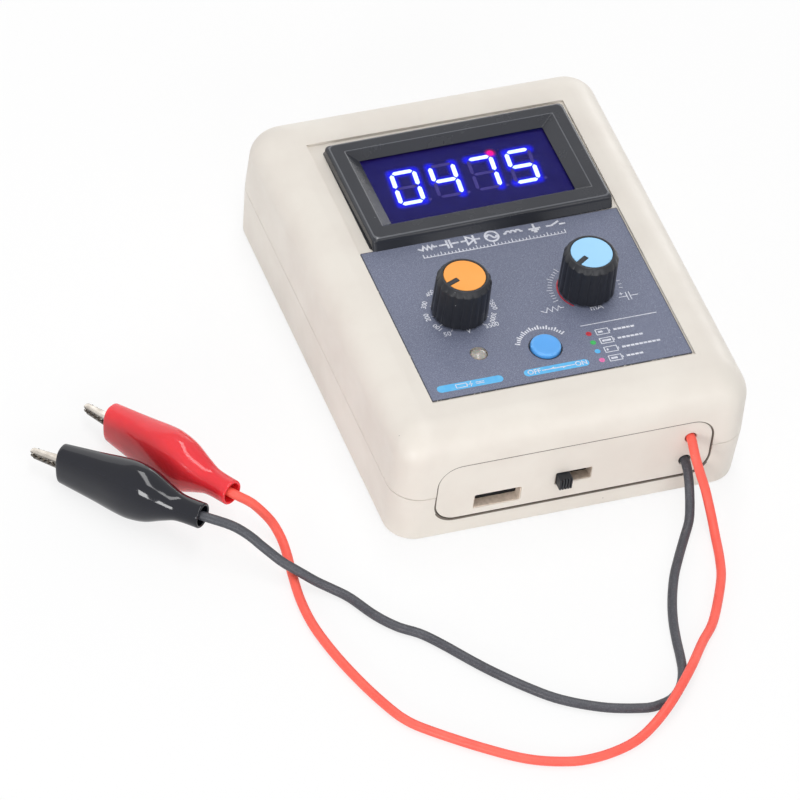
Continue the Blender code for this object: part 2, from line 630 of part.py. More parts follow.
def build_end_plate(name, side, finish):
    """An end plate: a panel in the opening and a flange behind the wall."""
    plate = prism(name, plate_outline(0.0, 0.0), "Y", side * PLATE_FACE,
                  side * (FLANGE_FACE - PLATE_FLANGE_THICKNESS / 2), finish.case)
    flange = prism(f"{name}_flange", plate_outline(PLATE_FLANGE, PLATE_FLANGE / 2), "Y",
                   side * FLANGE_FACE, side * FLANGE_BACK)
    join(plate, flange)
    return turn_smooth(plate)


def build_front_plate(finish):
    """The front end plate with its four openings."""
    plate = build_end_plate("front_plate", -1, finish)
    near, far = -(CASE_LENGTH / 2 + WALL), -(FLANGE_BACK - WALL)
    usb = [(x + SOCKET_X, z + USB_SLOT_MIDDLE) for x, z in
           rounded_outline(USB_SLOT_WIDTH / 2, USB_SLOT_HEIGHT / 2, USB_SLOT_HEIGHT / 8, 2)]
    cut(plate, prism("usb_slot", usb, "Y", near, far))
    half, middle = SWITCH_SLOT_WIDTH / 2, SWITCH_SLOT_MIDDLE
    cut(plate, block("switch_slot", (-half, near, middle - SWITCH_SLOT_HEIGHT / 2),
                     (half, far, middle + SWITCH_SLOT_HEIGHT / 2)))
    for colour, hole in (("red", RED_HOLE), ("black", BLACK_HOLE)):
        cut(plate, rod(f"{colour}_lead_hole", "Y", hole, LEAD_HOLE_RADIUS, near, far))
    return plate


def build_screw(name, centre, head, shank, finish, head_sides=12):
    """A screw: a head and a shank, each as (radius, start, end) along Z."""
    screw = rod(name, "Z", centre, head[0], head[1], head[2], head_sides, finish.metal)
    overlap = (head[1] + head[2]) / 2
    join(screw, rod(f"{name}_shank", "Z", centre, shank[0], overlap, shank[2], 8))
    return screw


def build_case_screws(finish):
    """Four screws that enter from below and hold the shells together."""
    head = (SCREW_HEAD_RADIUS, SCREW_SINK, SCREW_SINK + SCREW_HEAD_HEIGHT)
    shank = (SCREW_RADIUS, SCREW_SINK, SEAM_HIGH + SCREW_BITE)
    for number, centre in enumerate(screw_places(), 1):
        screw = build_screw(f"case_screw_{number}", centre, head, shank, finish)
        bar = SCREW_HEAD_RADIUS * 0.6
        slot = SCREW_HEAD_RADIUS * 0.14
        for name, size in (("along", (bar, slot)), ("across", (slot, bar))):
            cut(screw, block(f"screw_{number}_{name}",
                             (centre[0] - size[0], centre[1] - size[1], -WALL),
                             (centre[0] + size[0], centre[1] + size[1],
                              SCREW_SINK + SCREW_HEAD_HEIGHT / 2)))


def build_label(finish):
    """The printed film in the front of the recess, with holes for the controls."""
    half = LABEL_WIDTH / 2
    label = block("panel_label", (-half, LABEL_FRONT_Y, LABEL_BOTTOM),
                  (half, LABEL_FRONT_Y + LABEL_LENGTH, LABEL_TOP), finish.label)
    low, high = LABEL_BOTTOM - WALL, LABEL_TOP + WALL
    for hand, centre in zip(("left", "right"), knob_centres()):
        cut(label, rod(f"label_{hand}_hole", "Z", centre, BUSHING_RADIUS + CLEARANCE * 2,
                       low, high, 14))
    cut(label, rod("label_led_hole", "Z", (LED_X, LED_Y), LED_RADIUS + CLEARANCE,
                   low, high, 14))
    cut(label, rod("label_button_hole", "Z", (BUTTON_X, BUTTON_Y),
                   BUTTON_RADIUS + CLEARANCE, low, high, 20))
    return label


def meter_block(name, width, length, low, high, material=None):
    """A box centred on the meter's axis."""
    return block(name, (METER_X - width / 2, METER_Y - length / 2, low),
                 (METER_X + width / 2, METER_Y + length / 2, high), material)


def meter_ring(width, length, height):
    """A rectangle around the meter's axis."""
    half_x, half_y = width / 2, length / 2
    return [(METER_X + x * half_x, METER_Y + y * half_y, height)
            for x, y in ((-1, -1), (1, -1), (1, 1), (-1, 1))]


def build_meter_housing(finish):
    """Bezel with a sloping frame round the window, and the box behind the panel."""
    trim = BEZEL_ROUND
    rings = [meter_ring(BEZEL_WIDTH, BEZEL_DEPTH, RECESS_FLOOR + GLUE_GAP),
             meter_ring(BEZEL_WIDTH, BEZEL_DEPTH, BEZEL_TOP - trim),
             meter_ring(BEZEL_WIDTH - trim, BEZEL_DEPTH - trim, BEZEL_TOP - trim * 0.3),
             meter_ring(BEZEL_WIDTH - 2 * trim, BEZEL_DEPTH - 2 * trim, BEZEL_TOP)]
    housing = solid_from_rings("meter_housing", rings, finish.bezel)
    join(housing, meter_block("housing_box", HOUSING_WIDTH, HOUSING_LENGTH, HOUSING_BOTTOM,
                              RECESS_FLOOR + BEZEL_RISE / 3))
    for hand, side in (("left", -1), ("right", 1)):
        outer = METER_X + side * (HOUSING_WIDTH / 2 + METER_SNAP)
        inner = METER_X + side * (HOUSING_WIDTH / 2 - METER_SNAP)
        snap_top = CEILING - CLEARANCE
        outline = [(outer, snap_top), (inner, snap_top), (inner, snap_top - 3 * METER_SNAP)]
        snap_half = HOUSING_LENGTH / 6
        join(housing, prism(f"{hand}_snap", outline, "Y", METER_Y - snap_half,
                            METER_Y + snap_half))
    rim_width, rim_length = BEZEL_WIDTH - 2 * BEZEL_RIM, BEZEL_DEPTH - 2 * BEZEL_RIM
    slope_x = (rim_width - WINDOW_WIDTH) / WINDOW_SINK
    slope_y = (rim_length - WINDOW_LENGTH) / WINDOW_SINK
    frame = [meter_ring(WINDOW_WIDTH, WINDOW_LENGTH, WINDOW_UNDER - WINDOW_LIP),
             meter_ring(WINDOW_WIDTH, WINDOW_LENGTH, WINDOW_TOP),
             meter_ring(rim_width, rim_length, BEZEL_TOP),
             meter_ring(rim_width + slope_x * trim, rim_length + slope_y * trim,
                        BEZEL_TOP + trim)]
    cut(housing, solid_from_rings("window_frame", frame))
    lens_width = WINDOW_WIDTH + 2 * LENS_LAP + 2 * CLEARANCE
    lens_length = WINDOW_LENGTH + 2 * LENS_LAP + 2 * CLEARANCE
    cut(housing, meter_block("lens_pocket", lens_width, lens_length, HOUSING_BOTTOM - WALL,
                             WINDOW_UNDER))
    cut(housing, meter_block("housing_hollow", HOUSING_WIDTH - 2 * HOUSING_WALL,
                             HOUSING_LENGTH - 2 * HOUSING_WALL, HOUSING_BOTTOM - WALL,
                             CEILING - CLEARANCE))
    return housing


def build_meter_inside(finish):
    """Lens, digit block and circuit board of the meter."""
    meter_block("meter_lens", WINDOW_WIDTH + 2 * LENS_LAP, WINDOW_LENGTH + 2 * LENS_LAP,
                LENS_BOTTOM, LENS_BOTTOM + LENS_THICKNESS, finish.window)
    display_top = LENS_BOTTOM - CLEARANCE
    display_low = display_top - DISPLAY_HEIGHT
    meter_block("digit_block", DISPLAY_WIDTH, DISPLAY_LENGTH, display_low, display_top,
                finish.display)
    board_top = display_low - CLEARANCE
    meter_block("meter_board", HOUSING_WIDTH - 2 * HOUSING_WALL - 2 * CLEARANCE,
                HOUSING_LENGTH - 2 * HOUSING_WALL - 2 * CLEARANCE,
                board_top - BOARD_THICKNESS, board_top, finish.board)


def knob_ring(radius, depth, height, centre):
    """A fluted ring of the knob's skirt."""
    points = []
    for step in range(2 * KNOB_FLUTES):
        reach = radius - (depth if step % 2 else 0.0)
        angle = math.pi * step / KNOB_FLUTES
        points.append((centre[0] + reach * math.cos(angle),
                       centre[1] + reach * math.sin(angle), height))
    return points


def build_knob(hand, centre, pointer_deg, cap_material, finish):
    """A knob, its cap disc and the potentiometer under it."""
    shoulder = KNOB_TOP - KNOB_CHAMFER
    rings = [knob_ring(KNOB_RADIUS, KNOB_FLUTE, KNOB_BOTTOM, centre),
             knob_ring(KNOB_TOP_RADIUS, KNOB_FLUTE, shoulder, centre),
             knob_ring(CAP_RADIUS + CLEARANCE * 2, 0.0, KNOB_TOP, centre)]
    knob = turn_smooth(solid_from_rings(f"{hand}_knob", rings, finish.knob), 50.0)
    hollow = KNOB_RADIUS - KNOB_WALL
    hub_low = LABEL_TOP + CLEARANCE + KNOB_HUB_RISE + CLEARANCE
    skirt_top = shoulder - KNOB_WALL * 2
    hub_hollow = rod(f"{hand}_skirt_hollow", "Z", centre, hollow, KNOB_BOTTOM - WALL,
                     skirt_top, 18)
    cut(hub_hollow, rod(f"{hand}_hub", "Z", centre, KNOB_HUB_RADIUS, hub_low, KNOB_TOP, 14))
    cut(knob, hub_hollow)
    cut(knob, rod(f"{hand}_shaft_bore", "Z", centre, SHAFT_RADIUS + CLEARANCE,
                  KNOB_BOTTOM - WALL, SHAFT_TOP + CLEARANCE))
    cut(knob, rod(f"{hand}_cap_seat", "Z", centre, CAP_RADIUS + CLEARANCE / 2, CAP_SEAT,
                  KNOB_TOP + WALL, 24))
    set_origin(knob, (*centre, KNOB_BOTTOM))

    cap = rod(f"{hand}_knob_cap", "Z", centre, CAP_RADIUS - CLEARANCE / 2,
              KNOB_TOP - CAP_THICKNESS, KNOB_TOP, 24, cap_material)
    pointer = Vector((math.cos(math.radians(pointer_deg)), math.sin(math.radians(pointer_deg))))
    across = Vector((-pointer.y, pointer.x)) * CAP_NOTCH / 2
    near, far = pointer * CAP_RADIUS * 0.4, pointer * CAP_RADIUS * 1.3
    corners = [near - across, far - across, far + across, near + across]
    notch = [(centre[0] + corner.x, centre[1] + corner.y) for corner in corners]
    cut(cap, prism(f"{hand}_pointer_notch", notch, "Z", KNOB_TOP - 2 * CAP_THICKNESS,
                   KNOB_TOP + CAP_THICKNESS))
    set_origin(cap, (*centre, KNOB_TOP))

    shaft = rod(f"{hand}_shaft", "Z", centre, SHAFT_RADIUS, SHAFT_BOTTOM, SHAFT_TOP, 12,
                finish.metal)
    set_origin(shaft, (*centre, SHAFT_BOTTOM))

    body = rod(f"{hand}_potentiometer", "Z", centre, POT_BODY_RADIUS,
               CONTROL_BOARD_TOP + CLEARANCE, POT_TOP, 16, finish.metal)
    bushing_top = LABEL_TOP + BUSHING_RISE
    join(body, rod(f"{hand}_bushing", "Z", centre, BUSHING_RADIUS, POT_TOP - WALL,
                   bushing_top))
    cut(body, rod(f"{hand}_bushing_bore", "Z", centre, SHAFT_RADIUS + CLEARANCE,
                  SHAFT_BOTTOM - CLEARANCE, bushing_top + WALL))

    nut_low = LABEL_TOP + CLEARANCE
    nut = prism(f"{hand}_nut", circle_outline(NUT_FLATS / math.sqrt(3), 6, centre), "Z",
                nut_low, nut_low + NUT_THICKNESS, finish.metal)
    cut(nut, rod(f"{hand}_nut_bore", "Z", centre, BUSHING_RADIUS + CLEARANCE,
                 nut_low - WALL, nut_low + WALL + NUT_THICKNESS))


def build_control_board(finish):
    """The board under the panel, with holes for its screws."""
    half_x, half_y = CONTROL_BOARD_WIDTH / 2, CONTROL_BOARD_LENGTH / 2
    board = block("control_board",
                  (CONTROLS_X - half_x, LABEL_MIDDLE_Y - half_y, CONTROL_BOARD_LOW),
                  (CONTROLS_X + half_x, LABEL_MIDDLE_Y + half_y, CONTROL_BOARD_TOP),
                  finish.board)
    head = (SMALL_HEAD_RADIUS, CONTROL_BOARD_LOW - CLEARANCE - SMALL_HEAD_HEIGHT,
            CONTROL_BOARD_LOW - CLEARANCE)
    shank = (SMALL_SCREW_RADIUS, head[1], CONTROL_BOARD_LOW + SMALL_SCREW_LENGTH - 2 * CLEARANCE)
    for number, centre in enumerate(control_screw_places(), 1):
        cut(board, rod(f"control_board_hole_{number}", "Z", centre,
                       SMALL_SCREW_RADIUS + CLEARANCE, CONTROL_BOARD_LOW - WALL,
                       CONTROL_BOARD_TOP + WALL, 8))
        build_screw(f"control_board_screw_{number}", centre, head, shank, finish, 10)


def build_status_led(finish):
    """The status light: a domed body on a flange, with its legs down to the board."""
    flange_low = CONTROL_BOARD_TOP + 0.4 * POT_BODY_HEIGHT
    dome_top = LABEL_TOP + LED_RISE
    rings = []
    centre = (LED_X, LED_Y)
    for radius, height in ((LED_RADIUS * 1.16, flange_low),
                           (LED_RADIUS * 1.16, flange_low + LED_RADIUS * 0.4),
                           (LED_RADIUS, flange_low + LED_RADIUS * 0.4)):
        rings.append([(x, y, height) for x, y in circle_outline(radius, 14, centre)])
    for step in range(4):
        angle = math.pi / 2 * step / 4
        rings.append([(x, y, dome_top - LED_RADIUS * (1 - math.sin(angle)))
                      for x, y in circle_outline(LED_RADIUS * math.cos(angle), 14, centre)])
    led = turn_smooth(solid_from_rings("status_led", rings, finish.led))
    leg = LED_RADIUS * 0.1
    for number in range(4):
        x = LED_X + LED_RADIUS * (number - 1.5) * 0.5
        join(led, block(f"led_leg_{number + 1}",
                        (x - leg, LED_Y - leg, CONTROL_BOARD_TOP + CLEARANCE),
                        (x + leg, LED_Y + leg, flange_low + leg)))


def build_push_button(finish):
    """The push button's cap and the switch that it presses."""
    centre = (BUTTON_X, BUTTON_Y)
    switch_low = CONTROL_BOARD_TOP + CLEARANCE
    switch_top = switch_low + BUTTON_SWITCH_HEIGHT
    half = BUTTON_SWITCH_SIZE / 2
    switch = block("button_switch", (BUTTON_X - half, BUTTON_Y - half, switch_low),
                   (BUTTON_X + half, BUTTON_Y + half, switch_top), finish.black)
    well_low = switch_low + CLEARANCE * 2
    cut(switch, rod("button_well", "Z", centre, BUTTON_STEM_RADIUS + CLEARANCE, well_low,
                    switch_top + WALL))
    flange_low = switch_top + BUTTON_TRAVEL + CLEARANCE
    stem_low = well_low + BUTTON_TRAVEL + CLEARANCE
    top = LABEL_TOP + BUTTON_RISE
    flange_top = min(flange_low + BUTTON_FLANGE, POT_TOP)
    edge = BUTTON_FLANGE * 0.4
    profile = ((BUTTON_STEM_RADIUS, stem_low), (BUTTON_STEM_RADIUS, flange_low),
               (BUTTON_RADIUS + BUTTON_FLANGE, flange_low),
               (BUTTON_RADIUS + BUTTON_FLANGE, flange_top), (BUTTON_RADIUS, flange_top),
               (BUTTON_RADIUS, top - edge), (BUTTON_RADIUS - edge, top))
    rings = [[(x, y, height) for x, y in circle_outline(radius, 20, centre)]
             for radius, height in profile]
    button = turn_smooth(solid_from_rings("push_button", rings, finish.button))
    set_origin(button, (*centre, top))


def build_slide_switch(finish):
    """The slide switch behind the front plate and its ribbed lever."""
    front = -FLANGE_BACK + CLEARANCE
    half = SWITCH_BODY_WIDTH / 2
    body = block("slide_switch_body", (-half, front, STAND),
                 (half, front + SWITCH_BODY_DEPTH, STAND + SWITCH_BODY_HEIGHT), finish.metal)
    slot_half, middle = SWITCH_SLOT_WIDTH / 2, SWITCH_SLOT_MIDDLE
    pocket = front + SWITCH_BODY_DEPTH / 2
    cut(body, block("lever_pocket", (-slot_half, front - WALL, middle - SWITCH_SLOT_HEIGHT / 2),
                    (slot_half, pocket, middle + SWITCH_SLOT_HEIGHT / 2)))
    left = -slot_half + CLEARANCE
    tip = -PLATE_FACE - LEVER_REACH
    lever = block("slide_switch_lever", (left, tip, middle - LEVER_SIZE / 2),
                  (left + LEVER_SIZE, pocket - CLEARANCE, middle + LEVER_SIZE / 2),
                  finish.black)
    rib = LEVER_SIZE / 7
    for number in range(3):
        start = left + rib * (2 * number + 1)
        cut(lever, block(f"lever_groove_{number + 1}", (start, tip - rib, middle - LEVER_SIZE),
                         (start + rib, tip + rib, middle + LEVER_SIZE)))
    set_origin(lever, (left + LEVER_SIZE / 2, -PLATE_FACE, middle))


def build_main_board(finish):
    """The main board and its four screws."""
    half = MAIN_BOARD_WIDTH / 2
    board = block("main_board", (-half, MAIN_BOARD_FRONT_Y, MAIN_BOARD_LOW),
                  (half, MAIN_BOARD_BACK_Y, MAIN_BOARD_TOP), finish.board)
    head = (SMALL_HEAD_RADIUS, MAIN_BOARD_TOP + CLEARANCE,
            MAIN_BOARD_TOP + CLEARANCE + SMALL_HEAD_HEIGHT)
    shank_low = MAIN_BOARD_TOP - SMALL_SCREW_LENGTH + 2 * CLEARANCE
    for number, centre in enumerate(main_screw_places(), 1):
        cut(board, rod(f"main_board_hole_{number}", "Z", centre,
                       SMALL_SCREW_RADIUS + CLEARANCE, MAIN_BOARD_LOW - WALL,
                       MAIN_BOARD_TOP + WALL, 8))
        screw = rod(f"main_board_screw_{number}", "Z", centre, *head, 10, finish.metal)
        join(screw, rod(f"main_screw_shank_{number}", "Z", centre, SMALL_SCREW_RADIUS,
                        shank_low, (head[1] + head[2]) / 2, 8))


def build_usb_socket(finish):
    """The charging socket: a flat-sided shell open to the front, with a tongue."""
    front = -FLANGE_BACK + CLEARANCE
    outline = [(x + SOCKET_X, z + USB_SLOT_MIDDLE) for x, z in
               rounded_outline(SOCKET_WIDTH / 2, SOCKET_HEIGHT / 2, SOCKET_HEIGHT / 2, 4)]
    inner = [(x + SOCKET_X, z + USB_SLOT_MIDDLE) for x, z in
             rounded_outline(SOCKET_WIDTH / 2 - SOCKET_SKIN, SOCKET_HEIGHT / 2 - SOCKET_SKIN,
                             SOCKET_HEIGHT / 2 - SOCKET_SKIN, 4)]
    socket = prism("usb_c_socket", outline, "Y", front, front + SOCKET_DEPTH, finish.metal)
    cut(socket, prism("socket_hollow", inner, "Y", front - WALL, front + SOCKET_DEPTH * 0.85))
    tongue_x, tongue_z = SOCKET_WIDTH * 0.37, SOCKET_HEIGHT * 0.11
    join(socket, block("socket_tongue",
                       (SOCKET_X - tongue_x, front + SOCKET_SKIN * 4,
                        USB_SLOT_MIDDLE - tongue_z),
                       (SOCKET_X + tongue_x, front + SOCKET_DEPTH * 0.95,
                        USB_SLOT_MIDDLE + tongue_z)))
    return turn_smooth(socket)


def build_output_terminal(finish):
    """The block that holds the inner end of each lead."""
    half = TERMINAL_WIDTH / 2
    top = RED_HOLE[1] + TERMINAL_TOP
    terminal = block("output_terminal", (TERMINAL_X - half, TERMINAL_FRONT_Y, STAND),
                     (TERMINAL_X + half, TERMINAL_FRONT_Y + TERMINAL_DEPTH, top),
                     finish.terminal)
    for colour, hole in (("red", RED_HOLE), ("black", BLACK_HOLE)):
        cut(terminal, rod(f"{colour}_terminal_hole", "Y", hole, LEAD_RADIUS + CLEARANCE,
                          TERMINAL_FRONT_Y - WALL, TERMINAL_FRONT_Y + LEAD_BITE + CLEARANCE))


def build_transformer(finish):
    """The step-up transformer: a ferrite core with two windows, and the winding in them."""
    low, high = STAND, STAND + CORE_HEIGHT
    x, y, half = TRANSFORMER_X, MAIN_BOARD_MIDDLE_Y, CORE_WIDTH / 2
    core = block("transformer_core", (x - half, y - CORE_DEPTH / 2, low),
                 (x + half, y + CORE_DEPTH / 2, high), finish.ferrite)
    window_low, window_high = low + CORE_YOKE, high - CORE_YOKE
    leg = CORE_LIMB * 0.7
    for hand, side in (("left", -1), ("right", 1)):
        near, far = x + side * leg, x + side * (half - CORE_LIMB)
        cut(core, block(f"{hand}_core_window", (min(near, far), y - CORE_DEPTH, window_low),
                        (max(near, far), y + CORE_DEPTH, window_high)))
    reach = half - CORE_LIMB - CLEARANCE
    winding = block("transformer_winding",
                    (x - reach, y - WINDING_DEPTH / 2, window_low + CLEARANCE),
                    (x + reach, y + WINDING_DEPTH / 2, window_high - CLEARANCE),
                    finish.winding)
    cut(winding, block("core_leg_room", (x - leg - CLEARANCE, y - CORE_DEPTH / 2 - CLEARANCE, low),
                       (x + leg + CLEARANCE, y + CORE_DEPTH / 2 + CLEARANCE, high)))


def build_capacitors(finish):
    """Two boxed high-voltage capacitors, one behind the other."""
    half = CAPACITOR_WIDTH / 2
    for number, side in ((1, -1), (2, 1)):
        y = MAIN_BOARD_MIDDLE_Y + side * CAPACITOR_SPACING / 2
        block(f"hv_capacitor_{number}", (CAPACITOR_X - half, y - CAPACITOR_DEPTH / 2, STAND),
              (CAPACITOR_X + half, y + CAPACITOR_DEPTH / 2, STAND + CAPACITOR_HEIGHT),
              finish.capacitor)


def build_cell(finish):
    """The lithium cell across the back of the case, in its holder on the floor."""
    low = FLOOR_THICKNESS + CLEARANCE
    half_x = CELL_LENGTH / 2 + CLEARANCE + HOLDER_END
    half_y = CELL_RADIUS + CLEARANCE + HOLDER_WALL
    holder = block("cell_holder", (-half_x, CELL_Y - half_y, low),
                   (half_x, CELL_Y + half_y, low + HOLDER_HEIGHT), finish.black)
    cut(holder, rod("cell_bed", "X", (CELL_Y, CELL_HEIGHT), CELL_RADIUS + CLEARANCE,
                    -CELL_LENGTH / 2 - CLEARANCE, CELL_LENGTH / 2 + CLEARANCE, 24))
    rod("lithium_cell", "X", (CELL_Y, CELL_HEIGHT), CELL_RADIUS, -CELL_LENGTH / 2,
        CELL_LENGTH / 2, 24, finish.cell)


def clip_frame(tail, yaw_deg):
    """The placing of a clip: its tail, its heading and its nose-down lean."""
    turn = Matrix.Rotation(math.radians(yaw_deg), 4, "Z")
    lean = Matrix.Rotation(math.radians(-CLIP_PITCH_DEG), 4, "Y")
    place = (tail[0], tail[1] - PLATE_FACE, CLIP_TAIL_HEIGHT)
    return Matrix.Translation(place) @ turn @ lean


def smooth_path(route, spacing):
    """Even steps along a smooth curve through a route's points."""
    points = [Vector(point) for point in route]
    points = [2 * points[0] - points[1]] + points + [2 * points[-1] - points[-2]]
    fine = []
    for before, start, end, after in zip(points, points[1:], points[2:], points[3:]):
        for step in range(12):
            t = step / 12
            fine.append(0.5 * (2 * start + (end - before) * t
                               + (2 * before - 5 * start + 4 * end - after) * t ** 2
                               + (3 * start - before - 3 * end + after) * t ** 3))
    fine.append(points[-2])
    lengths = [0.0]
    for first, second in zip(fine, fine[1:]):
        lengths.append(lengths[-1] + (second - first).length)
    count = max(2, round(lengths[-1] / spacing))
    path, index = [], 0
    for step in range(count + 1):
        goal = lengths[-1] * step / count
        while index < len(fine) - 2 and lengths[index + 1] < goal:
            index += 1
        share = (goal - lengths[index]) / (lengths[index + 1] - lengths[index])
        path.append(fine[index].lerp(fine[index + 1], share))
    return path


def wire(name, path, radius, material, resolution):
    """A round wire along a path."""
    curve = bpy.data.curves.new(name, "CURVE")
    curve.dimensions = "3D"
    curve.bevel_depth = radius
    curve.bevel_resolution = resolution
    curve.use_fill_caps = True
    spline = curve.splines.new("POLY")
    spline.points.add(len(path) - 1)
    for point, place in zip(spline.points, path):
        point.co = (*place, 1.0)
    return add_object(name, curve, material)


def build_lead(name, hole, route, frame, material):
    """A lead from its terminal, out through the end plate, to the crimp of its clip."""
    start_y = TERMINAL_FRONT_Y + LEAD_BITE
    inside = [(hole[0], start_y, hole[1]),
              (hole[0], (start_y - PLATE_FACE) / 2, hole[1]),
              (hole[0], -PLATE_FACE, hole[1])]
    table = [(x, y - PLATE_FACE, z) for x, y, z in route]
    crimp_end = CRIMP_START + LEAD_STUB
    ends = [tuple(frame @ Vector((reach, 0.0, 0.0))) for reach in (0.0, crimp_end / 2, crimp_end)]
    path = smooth_path(inside + table + ends, LEAD_POINT_SPACING)
    wire(name, path, LEAD_RADIUS, material, 2)


def boot_ring(reach, half_height, half_width, power, sides=16):
    """A squared ellipse across the boot."""
    points = []
    for step in range(sides):
        angle = math.tau * step / sides
        y, z = math.cos(angle), math.sin(angle)
        y = math.copysign(abs(y) ** (2 / power), y) * half_width
        z = math.copysign(abs(z) ** (2 / power), z) * half_height
        points.append((reach, y, z))
    return points


def build_boot(name, frame, material):
    """The vinyl boot: a tube that swells over the clip's handles."""
    sections = ((0.0, 0.0040, 0.0040, 2.0), (0.16, 0.0043, 0.0042, 2.0),
                (0.25, 0.0060, 0.0051, 2.1), (0.37, 0.0088, 0.0065, 2.2),
                (0.48, 0.0098, 0.0069, 2.3), (0.57, 0.0096, 0.0067, 2.3),
                (0.74, 0.0084, 0.0055, 2.4), (1.0, 0.0068, 0.0039, 2.6))
    outer = [boot_ring(share * BOOT_LENGTH, high, wide, power)
             for share, high, wide, power in sections]
    inner = [boot_ring(share * BOOT_LENGTH, high - BOOT_WALL, wide - BOOT_WALL, power)
             for share, high, wide, power in sections]
    boot = turn_smooth(solid_from_rings(name, outer + inner[::-1], material, ends_meet=True), 60)
    boot.matrix_world = frame


def jaw_part(name, outline, half_start, half_end=None, material=None):
    """A side outline given its width, which may narrow evenly from back to front."""
    half_end = half_start if half_end is None else half_end
    start = min(x for x, z in outline)
    end = max(x for x, z in outline)
    rings = []
    for side in (-1, 1):
        rings.append([(x, side * (half_start + (half_end - half_start) * (x - start)
                                  / (end - start)), z) for x, z in outline])
    return solid_from_rings(name, rings, material)


def tooth_line(side, start, end):
    """Points of a row of teeth from the jaw's root to its tip."""
    points = [(start, side * (CLEARANCE / 2 + TOOTH_DEPTH))]
    first = end - TOOTH_PITCH * TOOTH_COUNT
    for number in range(TOOTH_COUNT):
        points.append((first + TOOTH_PITCH * number, side * (CLEARANCE / 2 + TOOTH_DEPTH)))
        points.append((first + TOOTH_PITCH * (number + 0.5), side * CLEARANCE / 2))
    points.append((end, side * (CLEARANCE / 2 + TOOTH_DEPTH / 2)))
    return points


def jaw_front(name, side, root, root_half, trim):
    """The toothed front of a jaw, or with a trim the room inside its channel."""
    tip_back, root_back = side * (0.0011 - trim), side * (0.0024 - trim)
    if trim:
        edge = [(root, -side * WALL), (JAW_REACH - trim, -side * WALL)]
    else:
        edge = tooth_line(side, root, JAW_REACH)
    outline = [(root, root_back)] + edge + [(JAW_REACH - trim, tip_back)]
    return jaw_part(name, outline, root_half - trim, JAW_TIP_HALF - trim * 0.8)


